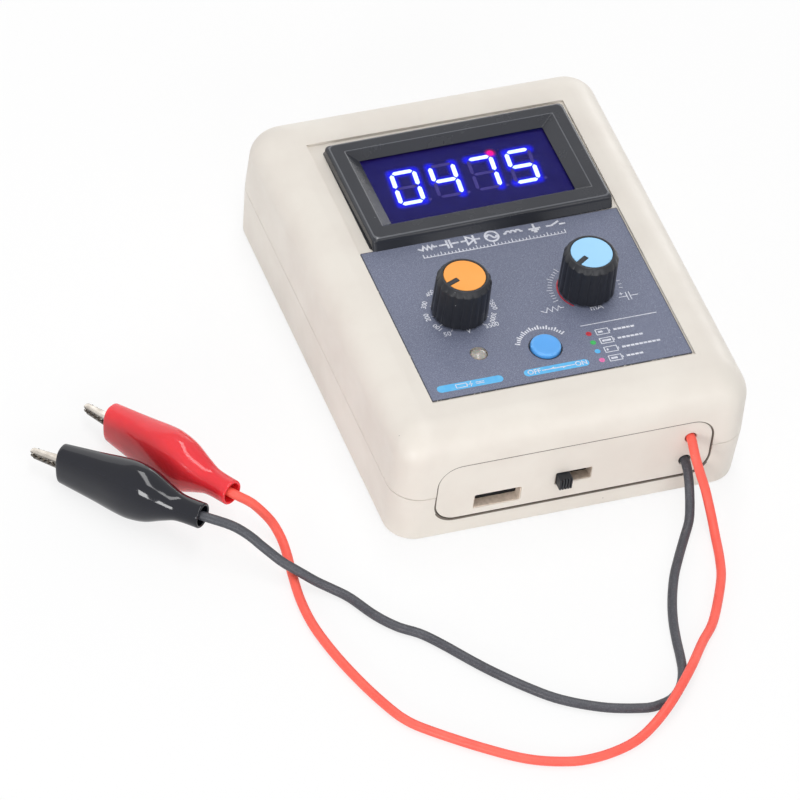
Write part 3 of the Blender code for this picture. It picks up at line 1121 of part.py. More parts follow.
def build_clip(colour, tail, yaw_deg, boot_material, finish):
    """An alligator clip: boot, two jaws, pivot pin and spring."""
    frame = clip_frame(tail, yaw_deg)
    build_boot(f"{colour}_clip_boot", frame, boot_material)
    pivot = PIVOT_REACH
    handle_back, handle_front = pivot - 0.0095, pivot - 0.0050
    ear_front, ear_back = pivot + 0.0025, pivot - 0.0025
    root = pivot + 0.0050
    skin = JAW_SKIN
    helpers = []

    # Fixed half: crimp, handle, ears and lower jaw
    sink = HANDLE_RISE
    crimp_low = -(LEAD_RADIUS + CLEARANCE + skin)
    crimp_top = CLEARANCE
    crimp_end = handle_back - 0.0025
    lower = jaw_part(f"{colour}_clip_lower_jaw",
                     [(CRIMP_START, crimp_low), (crimp_end, crimp_low), (crimp_end, crimp_top),
                      (CRIMP_START, crimp_top)], CRIMP_HALF, None, finish.metal)
    handle = [(crimp_end - 0.0020, crimp_low), (handle_back, -sink), (handle_front, -sink),
              (pivot + 0.0020, -0.0026), (root + 0.0010, -0.0023), (root, -0.0008),
              (ear_front, 0.0018), (ear_back, 0.0018), (handle_front, -0.0018),
              (handle_back, -0.0034), (crimp_end - 0.0020, crimp_top)]
    room = [(crimp_end - 0.0030, crimp_low + skin), (crimp_end - 0.0018, crimp_low + skin),
            (handle_back, -sink + skin), (handle_front, -sink + skin),
            (pivot + 0.0020, -0.0026 + skin), (root + 0.0030, -0.0021 + skin),
            (root + 0.0030, WALL), (crimp_end - 0.0030, WALL)]
    steps = [(join, jaw_part(f"{colour}_lower_handle", handle, OUTER_EAR)),
             (join, jaw_front(f"{colour}_lower_front", -1, root - 0.0005, JAW_ROOT_HALF, 0.0)),
             (cut, jaw_part(f"{colour}_crimp_room",
                            [(CRIMP_START - WALL, crimp_low + skin),
                             (crimp_end, crimp_low + skin), (crimp_end, WALL),
                             (CRIMP_START - WALL, WALL)], LEAD_RADIUS + CLEARANCE)),
             (cut, jaw_part(f"{colour}_lower_room", room, OUTER_EAR - skin)),
             (cut, jaw_front(f"{colour}_lower_channel", -1, root, JAW_ROOT_HALF, skin)),
             (cut, rod(f"{colour}_lower_pin_hole", "Y", (pivot, 0.0), PIN_RADIUS + CLEARANCE,
                       -2 * OUTER_EAR, 2 * OUTER_EAR, 10))]
    for action, guide in steps:
        action(lower, guide)
        helpers.append(guide)

    # Moving half: handle, ears between the fixed ears, and upper jaw
    lift = [(handle_back, sink), (handle_front, sink), (pivot + 0.0020, 0.0026),
            (root + 0.0010, 0.0023), (root + 0.0010, 0.0009), (root, 0.0006),
            (ear_front, -0.0016), (ear_back, -0.0016), (handle_front, 0.0018),
            (handle_back, 0.0034)]
    upper = jaw_part(f"{colour}_clip_upper_jaw", lift, INNER_EAR, None, finish.metal)
    room = [(handle_back - 0.0010, sink - skin), (handle_front, sink - skin),
            (pivot + 0.0020, 0.0026 - skin), (root + 0.0030, 0.0021 - skin),
            (root + 0.0030, -2 * WALL), (handle_back - 0.0010, -2 * WALL)]
    steps = [(join, jaw_front(f"{colour}_upper_front", 1, root + 0.0003, JAW_ROOT_HALF, 0.0)),
             (cut, jaw_part(f"{colour}_upper_room", room, INNER_EAR - skin)),
             (cut, jaw_front(f"{colour}_upper_channel", 1, root + 0.0003 + skin,
                             JAW_ROOT_HALF, skin)),
             (cut, rod(f"{colour}_upper_pin_hole", "Y", (pivot, 0.0), PIN_RADIUS + CLEARANCE,
                       -2 * OUTER_EAR, 2 * OUTER_EAR, 10))]
    pivot_shift = Matrix.Translation((-pivot, 0.0, 0.0))
    for action, guide in steps:
        action(upper, guide)
        guide.data.transform(pivot_shift)
        guide.matrix_world = frame @ Matrix.Translation((pivot, 0.0, 0.0))
    upper.data.transform(pivot_shift)
    upper.matrix_world = frame @ Matrix.Translation((pivot, 0.0, 0.0))

    pin = rod(f"{colour}_clip_pin", "Y", (pivot, 0.0), PIN_RADIUS, -PIN_HALF_LENGTH,
              PIN_HALF_LENGTH, 10, finish.metal)

    half_coil = INNER_EAR - skin - CLEARANCE - SPRING_WIRE
    path = [(handle_front, -half_coil, -sink + skin + SPRING_WIRE + CLEARANCE)]
    turns, per_turn = 2.5, 8
    for step in range(int(turns * per_turn) + 1):
        angle = math.tau * step / per_turn - math.pi / 2
        path.append((pivot + SPRING_RADIUS * math.cos(angle),
                     -half_coil + 2 * half_coil * step / (turns * per_turn),
                     SPRING_RADIUS * math.sin(angle)))
    path.append((handle_front, half_coil, sink - skin - SPRING_WIRE - CLEARANCE))
    spring = wire(f"{colour}_clip_spring", path, SPRING_WIRE, finish.metal, 1)
    for item in [lower, pin, spring] + helpers:
        item.matrix_world = frame


def build_tester():
    """Every piece of the tester."""
    clear_scene()
    finish = Finishes()
    build_top_shell(finish)
    build_bottom_shell(finish)
    build_front_plate(finish)
    build_end_plate("rear_plate", 1, finish)
    build_case_screws(finish)
    build_label(finish)
    build_meter_housing(finish)
    build_meter_inside(finish)
    left, right = knob_centres()
    build_knob("left", left, LEFT_POINTER_DEG, finish.orange, finish)
    build_knob("right", right, RIGHT_POINTER_DEG, finish.sky, finish)
    build_control_board(finish)
    build_status_led(finish)
    build_push_button(finish)
    build_slide_switch(finish)
    build_main_board(finish)
    build_usb_socket(finish)
    build_output_terminal(finish)
    build_transformer(finish)
    build_capacitors(finish)
    build_cell(finish)
    build_clip("red", RED_CLIP_TAIL, RED_CLIP_YAW_DEG, finish.red_boot, finish)
    build_clip("black", BLACK_CLIP_TAIL, BLACK_CLIP_YAW_DEG, finish.black_boot, finish)
    build_lead("red_lead", RED_HOLE, RED_ROUTE, clip_frame(RED_CLIP_TAIL, RED_CLIP_YAW_DEG),
               finish.red_lead)
    build_lead("black_lead", BLACK_HOLE, BLACK_ROUTE,
               clip_frame(BLACK_CLIP_TAIL, BLACK_CLIP_YAW_DEG), finish.black_lead)
    bpy.context.view_layer.update()


build_tester()
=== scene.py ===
"""Looks of a hand-held withstand voltage tester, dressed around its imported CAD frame.

Metres, +Z up, in the frame of the CAD part: the origin is the middle of the case's underside,
+X is to the right of someone who reads the meter and +Y points to the back of the case.
"""
from __future__ import annotations

import json
import logging
import math
from dataclasses import dataclass, field
from enum import Enum
from typing import Iterable, Sequence

import bmesh
import bpy
from mathutils import Matrix, Vector

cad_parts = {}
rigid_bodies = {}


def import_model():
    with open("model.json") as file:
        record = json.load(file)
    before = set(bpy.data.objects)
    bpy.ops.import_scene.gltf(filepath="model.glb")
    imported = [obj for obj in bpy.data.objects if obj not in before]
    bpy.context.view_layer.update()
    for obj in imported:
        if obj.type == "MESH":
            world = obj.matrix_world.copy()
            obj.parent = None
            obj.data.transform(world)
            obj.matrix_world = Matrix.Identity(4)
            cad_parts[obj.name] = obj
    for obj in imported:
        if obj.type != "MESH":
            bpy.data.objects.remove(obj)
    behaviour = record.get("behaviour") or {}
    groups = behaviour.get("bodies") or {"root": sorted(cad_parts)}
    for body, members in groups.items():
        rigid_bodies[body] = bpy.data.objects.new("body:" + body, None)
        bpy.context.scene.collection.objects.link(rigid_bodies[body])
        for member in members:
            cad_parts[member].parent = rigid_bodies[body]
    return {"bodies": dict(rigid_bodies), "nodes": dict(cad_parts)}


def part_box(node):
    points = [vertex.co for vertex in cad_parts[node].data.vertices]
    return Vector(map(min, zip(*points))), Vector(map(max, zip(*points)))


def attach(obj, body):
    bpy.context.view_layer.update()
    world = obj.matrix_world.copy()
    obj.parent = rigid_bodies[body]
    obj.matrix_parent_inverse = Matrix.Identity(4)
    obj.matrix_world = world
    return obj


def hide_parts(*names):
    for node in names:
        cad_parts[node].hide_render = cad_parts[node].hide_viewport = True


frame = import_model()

LOG = logging.getLogger("tester")

Colour = tuple[float, float, float]
Point2 = tuple[float, float]
Ring = list[tuple[float, float, float]]

CLEARANCE = 0.0003
PARTING_HEIGHT = 0.0186
SEAM_LOW = PARTING_HEIGHT - CLEARANCE / 2
SEAM_HIGH = PARTING_HEIGHT + CLEARANCE / 2


class Body(Enum):
    """The bodies of the frame that a piece can ride on."""

    CASE = "case"
    LEFT_KNOB = "left_knob_turn"
    RIGHT_KNOB = "right_knob_turn"
    BUTTON = "button"
    LEVER = "switch_lever"
    RED_JAW = "red_jaw"
    BLACK_JAW = "black_jaw"


class Axis(Enum):
    """The axis along which an outline is extruded."""

    X = "X"
    Y = "Y"
    Z = "Z"


def srgb(red: int, green: int, blue: int) -> Colour:
    """Turn a screen colour into linear light.

    Args:
        red: Red from 0 to 255.
        green: Green from 0 to 255.
        blue: Blue from 0 to 255.

    Returns:
        The linear colour.
    """
    shares = [channel / 255 for channel in (red, green, blue)]
    return tuple(s / 12.92 if s <= 0.04045 else ((s + 0.055) / 1.055) ** 2.4 for s in shares)


def place_point(axis: Axis, u: float, v: float, along: float) -> tuple[float, float, float]:
    """Turn outline coordinates into a point.

    Args:
        axis: The axis that the outline is extruded along.
        u: First coordinate in the outline's plane.
        v: Second coordinate in the outline's plane.
        along: Place along the axis.

    Returns:
        The point.
    """
    if axis is Axis.X:
        return (along, u, v)
    if axis is Axis.Y:
        return (u, along, v)
    return (u, v, along)


def rounded_outline(half_u: float, half_v: float, radius: float, steps: int) -> list[Point2]:
    """Trace a rectangle with round corners, counter-clockwise.

    Args:
        half_u: Half its width.
        half_v: Half its height.
        radius: Corner radius.
        steps: Straight pieces in each corner.

    Returns:
        The outline's points.
    """
    points = []
    for quarter, (side_u, side_v) in enumerate(((1, 1), (-1, 1), (-1, -1), (1, -1))):
        for step in range(steps + 1):
            angle = math.pi / 2 * (quarter + step / steps)
            points.append((side_u * (half_u - radius) + radius * math.cos(angle),
                           side_v * (half_v - radius) + radius * math.sin(angle)))
    return points


def circle_outline(radius: float, sides: int, centre: Point2 = (0.0, 0.0)) -> list[Point2]:
    """Trace a circle.

    Args:
        radius: Its radius.
        sides: Number of points.
        centre: Its centre.

    Returns:
        The circle's points, counter-clockwise.
    """
    turn = math.tau / sides
    return [(centre[0] + radius * math.cos(turn * step),
             centre[1] + radius * math.sin(turn * step)) for step in range(sides)]


def mesh_from(name: str, points: Iterable[Sequence[float]],
              faces: Iterable[Sequence[int]]) -> bpy.types.Mesh:
    """Make a mesh from points and faces.

    Args:
        name: Name of the mesh.
        points: The points.
        faces: Point numbers of each face.

    Returns:
        The mesh.
    """
    mesh = bpy.data.meshes.new(name)
    mesh.from_pydata([tuple(point) for point in points], [], [tuple(face) for face in faces])
    mesh.update()
    return mesh


def mesh_from_rings(name: str, rings: Sequence[Ring], ends_meet: bool = False,
                    capped: bool = True) -> bpy.types.Mesh:
    """Skin a row of rings of equal length.

    Args:
        name: Name of the mesh.
        rings: The rings, in order.
        ends_meet: Whether the last ring joins the first.
        capped: Whether the open ends get a flat face.

    Returns:
        The mesh, with its faces pointing out.
    """
    shape = bmesh.new()
    loops = [[shape.verts.new(point) for point in ring] for ring in rings]
    pairs = list(zip(loops, loops[1:]))
    if ends_meet:
        pairs.append((loops[-1], loops[0]))
    elif capped:
        shape.faces.new(loops[0])
        shape.faces.new(loops[-1])
    for first, second in pairs:
        for index in range(len(first)):
            after = (index + 1) % len(first)
            shape.faces.new((first[index], first[after], second[after], second[index]))
    bmesh.ops.recalc_face_normals(shape, faces=shape.faces)
    mesh = bpy.data.meshes.new(name)
    shape.to_mesh(mesh)
    shape.free()
    return mesh


def prism(name: str, outline: Sequence[Point2], axis: Axis, start: float,
          end: float) -> bpy.types.Mesh:
    """Extrude an outline along an axis.

    Args:
        name: Name of the mesh.
        outline: Its outline.
        axis: The axis.
        start: Place of the first end.
        end: Place of the second end.

    Returns:
        The mesh.
    """
    rings = [[place_point(axis, u, v, along) for u, v in outline] for along in (start, end)]
    return mesh_from_rings(name, rings)


def box_mesh(name: str, low: Sequence[float], high: Sequence[float]) -> bpy.types.Mesh:
    """Make a cutting block between two corners.

    Args:
        name: Name of the mesh.
        low: Its lowest corner.
        high: Its highest corner.

    Returns:
        The mesh.
    """
    outline = [(low[0], low[1]), (high[0], low[1]), (high[0], high[1]), (low[0], high[1])]
    return prism(name, outline, Axis.Z, low[2], high[2])


def turned(name: str, profile: Sequence[Point2], sides: int, centre: Point2 = (0.0, 0.0),
           ends_meet: bool = False) -> bpy.types.Mesh:
    """Turn a profile about an upright axis.

    Args:
        name: Name of the mesh.
        profile: Radius and height of each ring.
        sides: Points in each ring.
        centre: Place of the axis.
        ends_meet: Whether the profile is closed.

    Returns:
        The mesh.
    """
    rings = [[(x, y, height) for x, y in circle_outline(radius, sides, centre)]
             for radius, height in profile]
    return mesh_from_rings(name, rings, ends_meet)


def rounded_corner(corner: Point2, start_deg: float, end_deg: float, radius: float,
                   steps: int) -> list[Point2]:
    """Trace an arc of a profile.

    Args:
        corner: Centre of the arc.
        start_deg: Angle of its first point.
        end_deg: Angle of its last point.
        radius: Its radius.
        steps: Straight pieces in it.

    Returns:
        The arc's points.
    """
    points = []
    for step in range(steps + 1):
        angle = math.radians(start_deg + (end_deg - start_deg) * step / steps)
        points.append((corner[0] + radius * math.cos(angle),
                       corner[1] + radius * math.sin(angle)))
    return points


def add_piece(name: str, data: bpy.types.ID, material: bpy.types.Material | None,
              smooth_deg: float | None = 30.0) -> bpy.types.Object:
    """Link a new object.

    Args:
        name: Its name.
        data: Its mesh or curve.
        material: Its material, if it shows.
        smooth_deg: Angle above which an edge stays sharp, or None for flat faces.

    Returns:
        The object.
    """
    piece = bpy.data.objects.new(name, data)
    bpy.context.scene.collection.objects.link(piece)
    if material is not None:
        data.materials.append(material)
    if smooth_deg is not None and piece.type == "MESH":
        data.shade_smooth()
        data.set_sharp_from_angle(angle=math.radians(smooth_deg))
    return piece


def settle(piece: bpy.types.Object, body: Body, slot: str, *nodes: str) -> bpy.types.Object:
    """Give a finished piece its body and hide the CAD nodes that it stands for.

    Args:
        piece: The piece.
        body: The body that it rides on.
        slot: The record's material slot; not used.
        nodes: CAD nodes that it replaces.

    Returns:
        The piece.
    """
    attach(piece, body.value)
    if nodes:
        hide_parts(*nodes)
    LOG.info("%s rides on %s", piece.name, body.value)
    return piece


def redress(material: bpy.types.Material, *nodes: str) -> None:
    """Give CAD nodes that stay in view a new material.

    Args:
        material: The material.
        nodes: Names of the nodes.
    """
    for name in nodes:
        node = frame["nodes"][name]
        if not node.material_slots:
            node.data.materials.append(material)
        for place in node.material_slots:
            place.material = material
        LOG.info("%s is dressed in %s", name, material.name)


class Carver:
    """Cuts and joins helper solids on a piece and leaves only the result."""

    def __init__(self, piece: bpy.types.Object) -> None:
        """Start on a piece.

        Args:
            piece: The piece to work on.
        """
        self.piece = piece
        self.helpers: list[bpy.types.Object] = []

    def _combine(self, mesh: bpy.types.Mesh, operation: str) -> None:
        """Add a Boolean with a helper solid."""
        helper = add_piece(mesh.name, mesh, None)
        helper.hide_render = True
        helper.matrix_world = self.piece.matrix_world
        self.helpers.append(helper)
        change = self.piece.modifiers.new(mesh.name, "BOOLEAN")
        change.operation = operation
        change.solver = "EXACT"
        change.object = helper

    def cut(self, *meshes: bpy.types.Mesh) -> None:
        """Take solids out of the piece."""
        for mesh in meshes:
            self._combine(mesh, "DIFFERENCE")

    def join(self, *meshes: bpy.types.Mesh) -> None:
        """Add solids to the piece."""
        for mesh in meshes:
            self._combine(mesh, "UNION")

    def finish(self, bevel: float = 0.0, segments: int = 3, angle_deg: float = 40.0,
               smooth_deg: float = 30.0) -> bpy.types.Object:
        """Apply the work and round the edges.

        Args:
            bevel: Width of the rounding, or 0 for none.
            segments: Faces across the rounding.
            angle_deg: Edges sharper than this are rounded.
            smooth_deg: Angle above which an edge stays sharp.

        Returns:
            The piece.
        """
        if bevel:
            edge = self.piece.modifiers.new("edge", "BEVEL")
            edge.width = bevel
            edge.segments = segments
            edge.limit_method = "ANGLE"
            edge.angle_limit = math.radians(angle_deg)
            edge.use_clamp_overlap = True
        freeze(self.piece)
        for helper in self.helpers:
            bpy.data.objects.remove(helper, do_unlink=True)
        self.piece.data.shade_smooth()
        self.piece.data.set_sharp_from_angle(angle=math.radians(smooth_deg))
        weigh = self.piece.modifiers.new("normals", "WEIGHTED_NORMAL")
        weigh.keep_sharp = True
        return self.piece


def freeze(piece: bpy.types.Object) -> None:
    """Apply every modifier of a piece to its mesh.

    Args:
        piece: The piece.
    """
    graph = bpy.context.evaluated_depsgraph_get()
    material = piece.data.materials[0] if piece.data.materials else None
    mesh = bpy.data.meshes.new_from_object(piece.evaluated_get(graph))
    mesh.name = piece.name
    piece.modifiers.clear()
    piece.data = mesh
    mesh.materials.clear()
    if material is not None:
        mesh.materials.append(material)


class Graph:
    """Adds nodes to a material's or a group's node tree."""

    def __init__(self, tree: bpy.types.NodeTree) -> None:
        """Start on a tree.

        Args:
            tree: The node tree.
        """
        self.tree = tree

    def node(self, kind: str, **settings: object) -> bpy.types.Node:
        """Add a node and set its properties."""
        made = self.tree.nodes.new(kind)
        for name, value in settings.items():
            setattr(made, name, value)
        return made

    def feed(self, socket: bpy.types.NodeSocket, value: object) -> None:
        """Link an output to a socket, or set the socket's own value."""
        if isinstance(value, bpy.types.NodeSocket):
            self.tree.links.new(value, socket)
        elif value is not None:
            socket.default_value = value

    def math(self, operation: str, first: object, second: object = None,
             clamp: bool = False) -> bpy.types.NodeSocket:
        """Add a math node and return its result."""
        made = self.node("ShaderNodeMath", operation=operation, use_clamp=clamp)
        self.feed(made.inputs[0], first)
        self.feed(made.inputs[1], second)
        return made.outputs[0]

    def blend(self, factor: object, first: object, second: object,
              mode: str = "MIX") -> bpy.types.NodeSocket:
        """Mix two colours and return the result."""
        made = self.node("ShaderNodeMix", data_type="RGBA", blend_type=mode)
        self.feed(made.inputs[0], factor)
        for socket, value in ((made.inputs[6], first), (made.inputs[7], second)):
            self.feed(socket, (*value, 1.0) if isinstance(value, tuple) else value)
        return made.outputs[2]

    def spread(self, value: object, start: float, end: float, low: float,
               high: float, smooth: bool = False) -> bpy.types.NodeSocket:
        """Map a range of values to another and return the result."""
        made = self.node("ShaderNodeMapRange",
                         interpolation_type="SMOOTHSTEP" if smooth else "LINEAR")
        for socket, number in zip(made.inputs[:5], (value, start, end, low, high)):
            self.feed(socket, number)
        return made.outputs[0]

    def noise(self, place: object, scale: object, detail: float = 2.0,
              roughness: float = 0.5) -> bpy.types.NodeSocket:
        """Add a noise texture and return its value."""
        made = self.node("ShaderNodeTexNoise")
        self.feed(made.inputs["Vector"], place)
        self.feed(made.inputs["Scale"], scale)
        made.inputs["Detail"].default_value = detail
        made.inputs["Roughness"].default_value = roughness
        return made.outputs[0]

    def place(self) -> bpy.types.NodeSocket:
        """Return the surface point in the object's own space, in metres."""
        return self.node("ShaderNodeTexCoord").outputs["Object"]

    def group(self, tree: bpy.types.NodeTree, **values: object) -> bpy.types.Node:
        """Place a node group with its own values."""
        made = self.node("ShaderNodeGroup")
        made.node_tree = tree
        for name, value in values.items():
            self.feed(made.inputs[name.replace("_", " ").title()], value)
        return made


def new_group(name: str, takes: dict[str, object],
              gives: dict[str, str]) -> tuple[Graph, bpy.types.Node, bpy.types.Node]:
    """Make an empty node group.

    Args:
        name: Its name.
        takes: Inputs, each with its value: a number or a colour.
        gives: Outputs, each with its socket type.

    Returns:
        The graph, the group's input node and its output node.
    """
    tree = bpy.data.node_groups.new(name, "ShaderNodeTree")
    for title, value in takes.items():
        kind = "NodeSocketColor" if isinstance(value, tuple) else "NodeSocketFloat"
        socket = tree.interface.new_socket(title, in_out="INPUT", socket_type=kind)
        socket.default_value = (*value, 1.0) if isinstance(value, tuple) else value
    for title, kind in gives.items():
        tree.interface.new_socket(title, in_out="OUTPUT", socket_type=kind)
    graph = Graph(tree)
    return graph, graph.node("NodeGroupInput"), graph.node("NodeGroupOutput")


def moulded_grain_group() -> bpy.types.NodeTree:
    """Build the fine orange-peel surface of moulded plastic and its faint mottling.

    Returns:
        The node group, with a Height and a Mottle output.
    """
    graph, taken, given = new_group("moulded_grain", {"Grain Size": 0.0004, "Mottle Size": 0.02},
                                    {"Height": "NodeSocketFloat", "Mottle": "NodeSocketFloat"})
    place = graph.place()
    fine = graph.noise(place, graph.math("DIVIDE", 1.0, taken.outputs["Grain Size"]), 3.0, 0.6)
    coarse_scale = graph.math("DIVIDE", 0.4, taken.outputs["Grain Size"])
    coarse = graph.noise(place, coarse_scale, 2.0)
    graph.feed(given.inputs["Height"], graph.math("ADD", graph.math("MULTIPLY", fine, 0.7),
                                                  graph.math("MULTIPLY", coarse, 0.3)))
    slow = graph.noise(place, graph.math("DIVIDE", 1.0, taken.outputs["Mottle Size"]), 4.0, 0.6)
    graph.feed(given.inputs["Mottle"], graph.spread(slow, 0.3, 0.7, 0.0, 1.0, True))
    return graph.tree


def dust_group() -> bpy.types.NodeTree:
    """Build scattered specks of dust, few and of mixed size.

    Returns:
        The node group, with a Mask output.
    """
    graph, taken, given = new_group("dust", {"Spacing": 0.006, "Speck Size": 0.06, "Share": 0.4},
                                    {"Mask": "NodeSocketFloat"})
    cells = graph.node("ShaderNodeTexVoronoi", feature="F1")
    graph.feed(cells.inputs["Vector"], graph.place())
    graph.feed(cells.inputs["Scale"], graph.math("DIVIDE", 1.0, taken.outputs["Spacing"]))
    lottery = graph.node("ShaderNodeSeparateColor")
    graph.feed(lottery.inputs[0], cells.outputs["Color"])
    size = graph.math("MULTIPLY", taken.outputs["Speck Size"], lottery.outputs[1])
    near = graph.math("LESS_THAN", cells.outputs["Distance"], size)
    drawn = graph.math("LESS_THAN", lottery.outputs[0], taken.outputs["Share"])
    graph.feed(given.inputs["Mask"], graph.math("MULTIPLY", near, drawn))
    return graph.tree


def edge_wear_and_highlight_group() -> bpy.types.NodeTree:
    """Build a mask of convex edges, broken up by noise: rubbed wear, and a painted highlight where the
    edges catch the light.

    Returns:
        The node group, with a Mask output.
    """
    graph, taken, given = new_group("edge_wear_and_highlight", {"Sharpness": 0.08, "Patch Size": 0.002},
                                    {"Mask": "NodeSocketFloat"})
    raised = graph.node("ShaderNodeNewGeometry").outputs["Pointiness"]
    edge = graph.node("ShaderNodeMapRange", interpolation_type="SMOOTHSTEP")
    graph.feed(edge.inputs[0], raised)
    edge.inputs[1].default_value = 0.5
    graph.feed(edge.inputs[2], graph.math("ADD", 0.5, taken.outputs["Sharpness"]))
    scale = graph.math("DIVIDE", 1.0, taken.outputs["Patch Size"])
    patch = graph.spread(graph.noise(graph.place(), scale, 3.0), 0.35, 0.6, 0.2, 1.0, True)
    graph.feed(given.inputs["Mask"], graph.math("MULTIPLY", edge.outputs[0], patch))
    return graph.tree


def tone_group() -> bpy.types.NodeTree:
    """Build a colour that drifts slowly between two tones.

    Returns:
        The node group, with a Colour output.
    """
    graph, taken, given = new_group("tone", {"First": (1.0, 1.0, 1.0), "Second": (0.9, 0.9, 0.9),
                                             "Patch Size": 0.02},
                                    {"Colour": "NodeSocketColor"})
    scale = graph.math("DIVIDE", 1.0, taken.outputs["Patch Size"])
    drift = graph.spread(graph.noise(graph.place(), scale, 3.0, 0.55), 0.3, 0.7, 0.0, 1.0, True)
    graph.feed(given.inputs["Colour"],
               graph.blend(drift, taken.outputs["First"], taken.outputs["Second"]))
    return graph.tree


def drawn_metal_group() -> bpy.types.NodeTree:
    """Build the fine lines and dull patches of pressed and plated metal.

    Returns:
        The node group, with a Height and a Dullness output.
    """
    graph, taken, given = new_group("drawn_metal", {"Line Size": 0.0002},
                                    {"Height": "NodeSocketFloat", "Dullness": "NodeSocketFloat"})
    scale = graph.math("DIVIDE", 1.0, taken.outputs["Line Size"])
    stretch = graph.node("ShaderNodeMapping")
    stretch.inputs["Scale"].default_value = (0.05, 1.0, 1.0)
    graph.feed(stretch.inputs[0], graph.place())
    lines = graph.noise(stretch.outputs[0], scale, 2.0)
    patches = graph.noise(graph.place(), graph.math("MULTIPLY", scale, 0.04), 3.0, 0.65)
    graph.feed(given.inputs["Height"], lines)
    graph.feed(given.inputs["Dullness"], graph.math("MULTIPLY", graph.math("ADD", lines, patches),
                                                    0.5))
    return graph.tree


class Effects:
    """The node groups that several finishes share."""

    def __init__(self) -> None:
        """Build each group once."""
        self.grain = moulded_grain_group()
        self.dust = dust_group()
        self.wear_and_highlight = edge_wear_and_highlight_group()
        self.tone = tone_group()
        self.metal = drawn_metal_group()


class Shader:
    """A material with a Principled BSDF and a graph to feed it."""

    def __init__(self, name: str) -> None:
        """Make the material.

        Args:
            name: Its name.
        """
        self.material = bpy.data.materials.new(name)
        self.material.use_nodes = True
        self.graph = Graph(self.material.node_tree)
        self.surface = self.material.node_tree.nodes["Principled BSDF"]

    def feed(self, **values: object) -> None:
        """Feed or set the shader's sockets by name, with _ for a space."""
        for name, value in values.items():
            title = name.replace("_", " ").title()
            socket = self.surface.inputs[{"Ior": "IOR", "Specular Ior Level":
                                          "Specular IOR Level"}.get(title, title)]
            self.graph.feed(socket, (*value, 1.0) if isinstance(value, tuple) else value)

    def bump(self, height: object, depth: float, strength: float = 1.0,
             normal: object = None) -> bpy.types.NodeSocket:
        """Add a bump with a depth in metres and return its normal."""
        made = self.graph.node("ShaderNodeBump")
        made.inputs["Strength"].default_value = strength
        made.inputs["Distance"].default_value = depth
        self.graph.feed(made.inputs["Height"], height)
        self.graph.feed(made.inputs["Normal"], normal)
        return made.outputs[0]


@dataclass(frozen=True)
class PlasticFinish:
    """Moulded plastic: grain, drifting tone, dust, rubbed edges that also carry a painted highlight,
    and an optional painted highlight band.
    """

    name: str
    colour: Colour
    second: Colour
    roughness: float = 0.5
    grain_size: float = 0.0004
    grain_depth: float = 0.00002
    patch_size: float = 0.02
    # Lighter colour on convex edges: rubbed wear and a painted highlight.
    wear_and_highlight_colour: Colour | None = None
    wear_and_highlight_sharpness: float = 0.06
    # Painted highlight: a lighter band of colour between two heights, where edges would catch the
    # light.
    painted_highlight_band: Point2 | None = None
    painted_highlight_band_colour: Colour = (0.0, 0.0, 0.0)
    dust_colour: Colour | None = None
    dust_share: float = 0.3
    dust_spacing: float = 0.006
    specular: float = 0.5
    coat: float = 0.0
    subsurface: float = 0.0

    def make(self, effects: Effects) -> bpy.types.Material:
        """Build the material.

        Args:
            effects: The shared node groups.

        Returns:
            The material.
        """
        shader = Shader(self.name)
        graph = shader.graph
        tone = graph.group(effects.tone, first=(*self.colour, 1.0), second=(*self.second, 1.0),
                           patch_size=self.patch_size)
        grain = graph.group(effects.grain, grain_size=self.grain_size,
                            mottle_size=self.patch_size * 0.5)
        colour = tone.outputs[0]
        # Convex edges get a lighter colour: wear, and a painted highlight.
        if self.wear_and_highlight_colour:
            wear_and_highlight = graph.group(effects.wear_and_highlight, sharpness=self.wear_and_highlight_sharpness)
            colour = graph.blend(wear_and_highlight.outputs[0], colour, self.wear_and_highlight_colour)
        # Painted highlight band: a thin lighter line at the heights where the edges catch the light.
        if self.painted_highlight_band:
            parts = graph.node("ShaderNodeSeparateXYZ")
            graph.feed(parts.inputs[0], graph.place())
            low, high = self.painted_highlight_band
            above = graph.spread(parts.outputs[2], low, low + 0.00008, 0.0, 1.0)
            below = graph.spread(parts.outputs[2], high - 0.00003, high, 1.0, 0.0)
            colour = graph.blend(graph.math("MULTIPLY", above, below), colour,
                                 self.painted_highlight_band_colour)
        if self.dust_colour:
            dust = graph.group(effects.dust, spacing=self.dust_spacing, share=self.dust_share)
            colour = graph.blend(dust.outputs[0], colour, self.dust_colour)
        shader.feed(base_color=colour,
                    roughness=graph.spread(grain.outputs["Mottle"], 0.0, 1.0,
                                           self.roughness - 0.05, self.roughness + 0.05),
                    specular_ior_level=self.specular,
                    normal=shader.bump(grain.outputs["Height"], self.grain_depth))
        if self.coat:
            shader.feed(coat_weight=self.coat, coat_roughness=0.08)
        if self.subsurface:
            shader.feed(subsurface_weight=self.subsurface, subsurface_scale=0.002)
        return shader.material


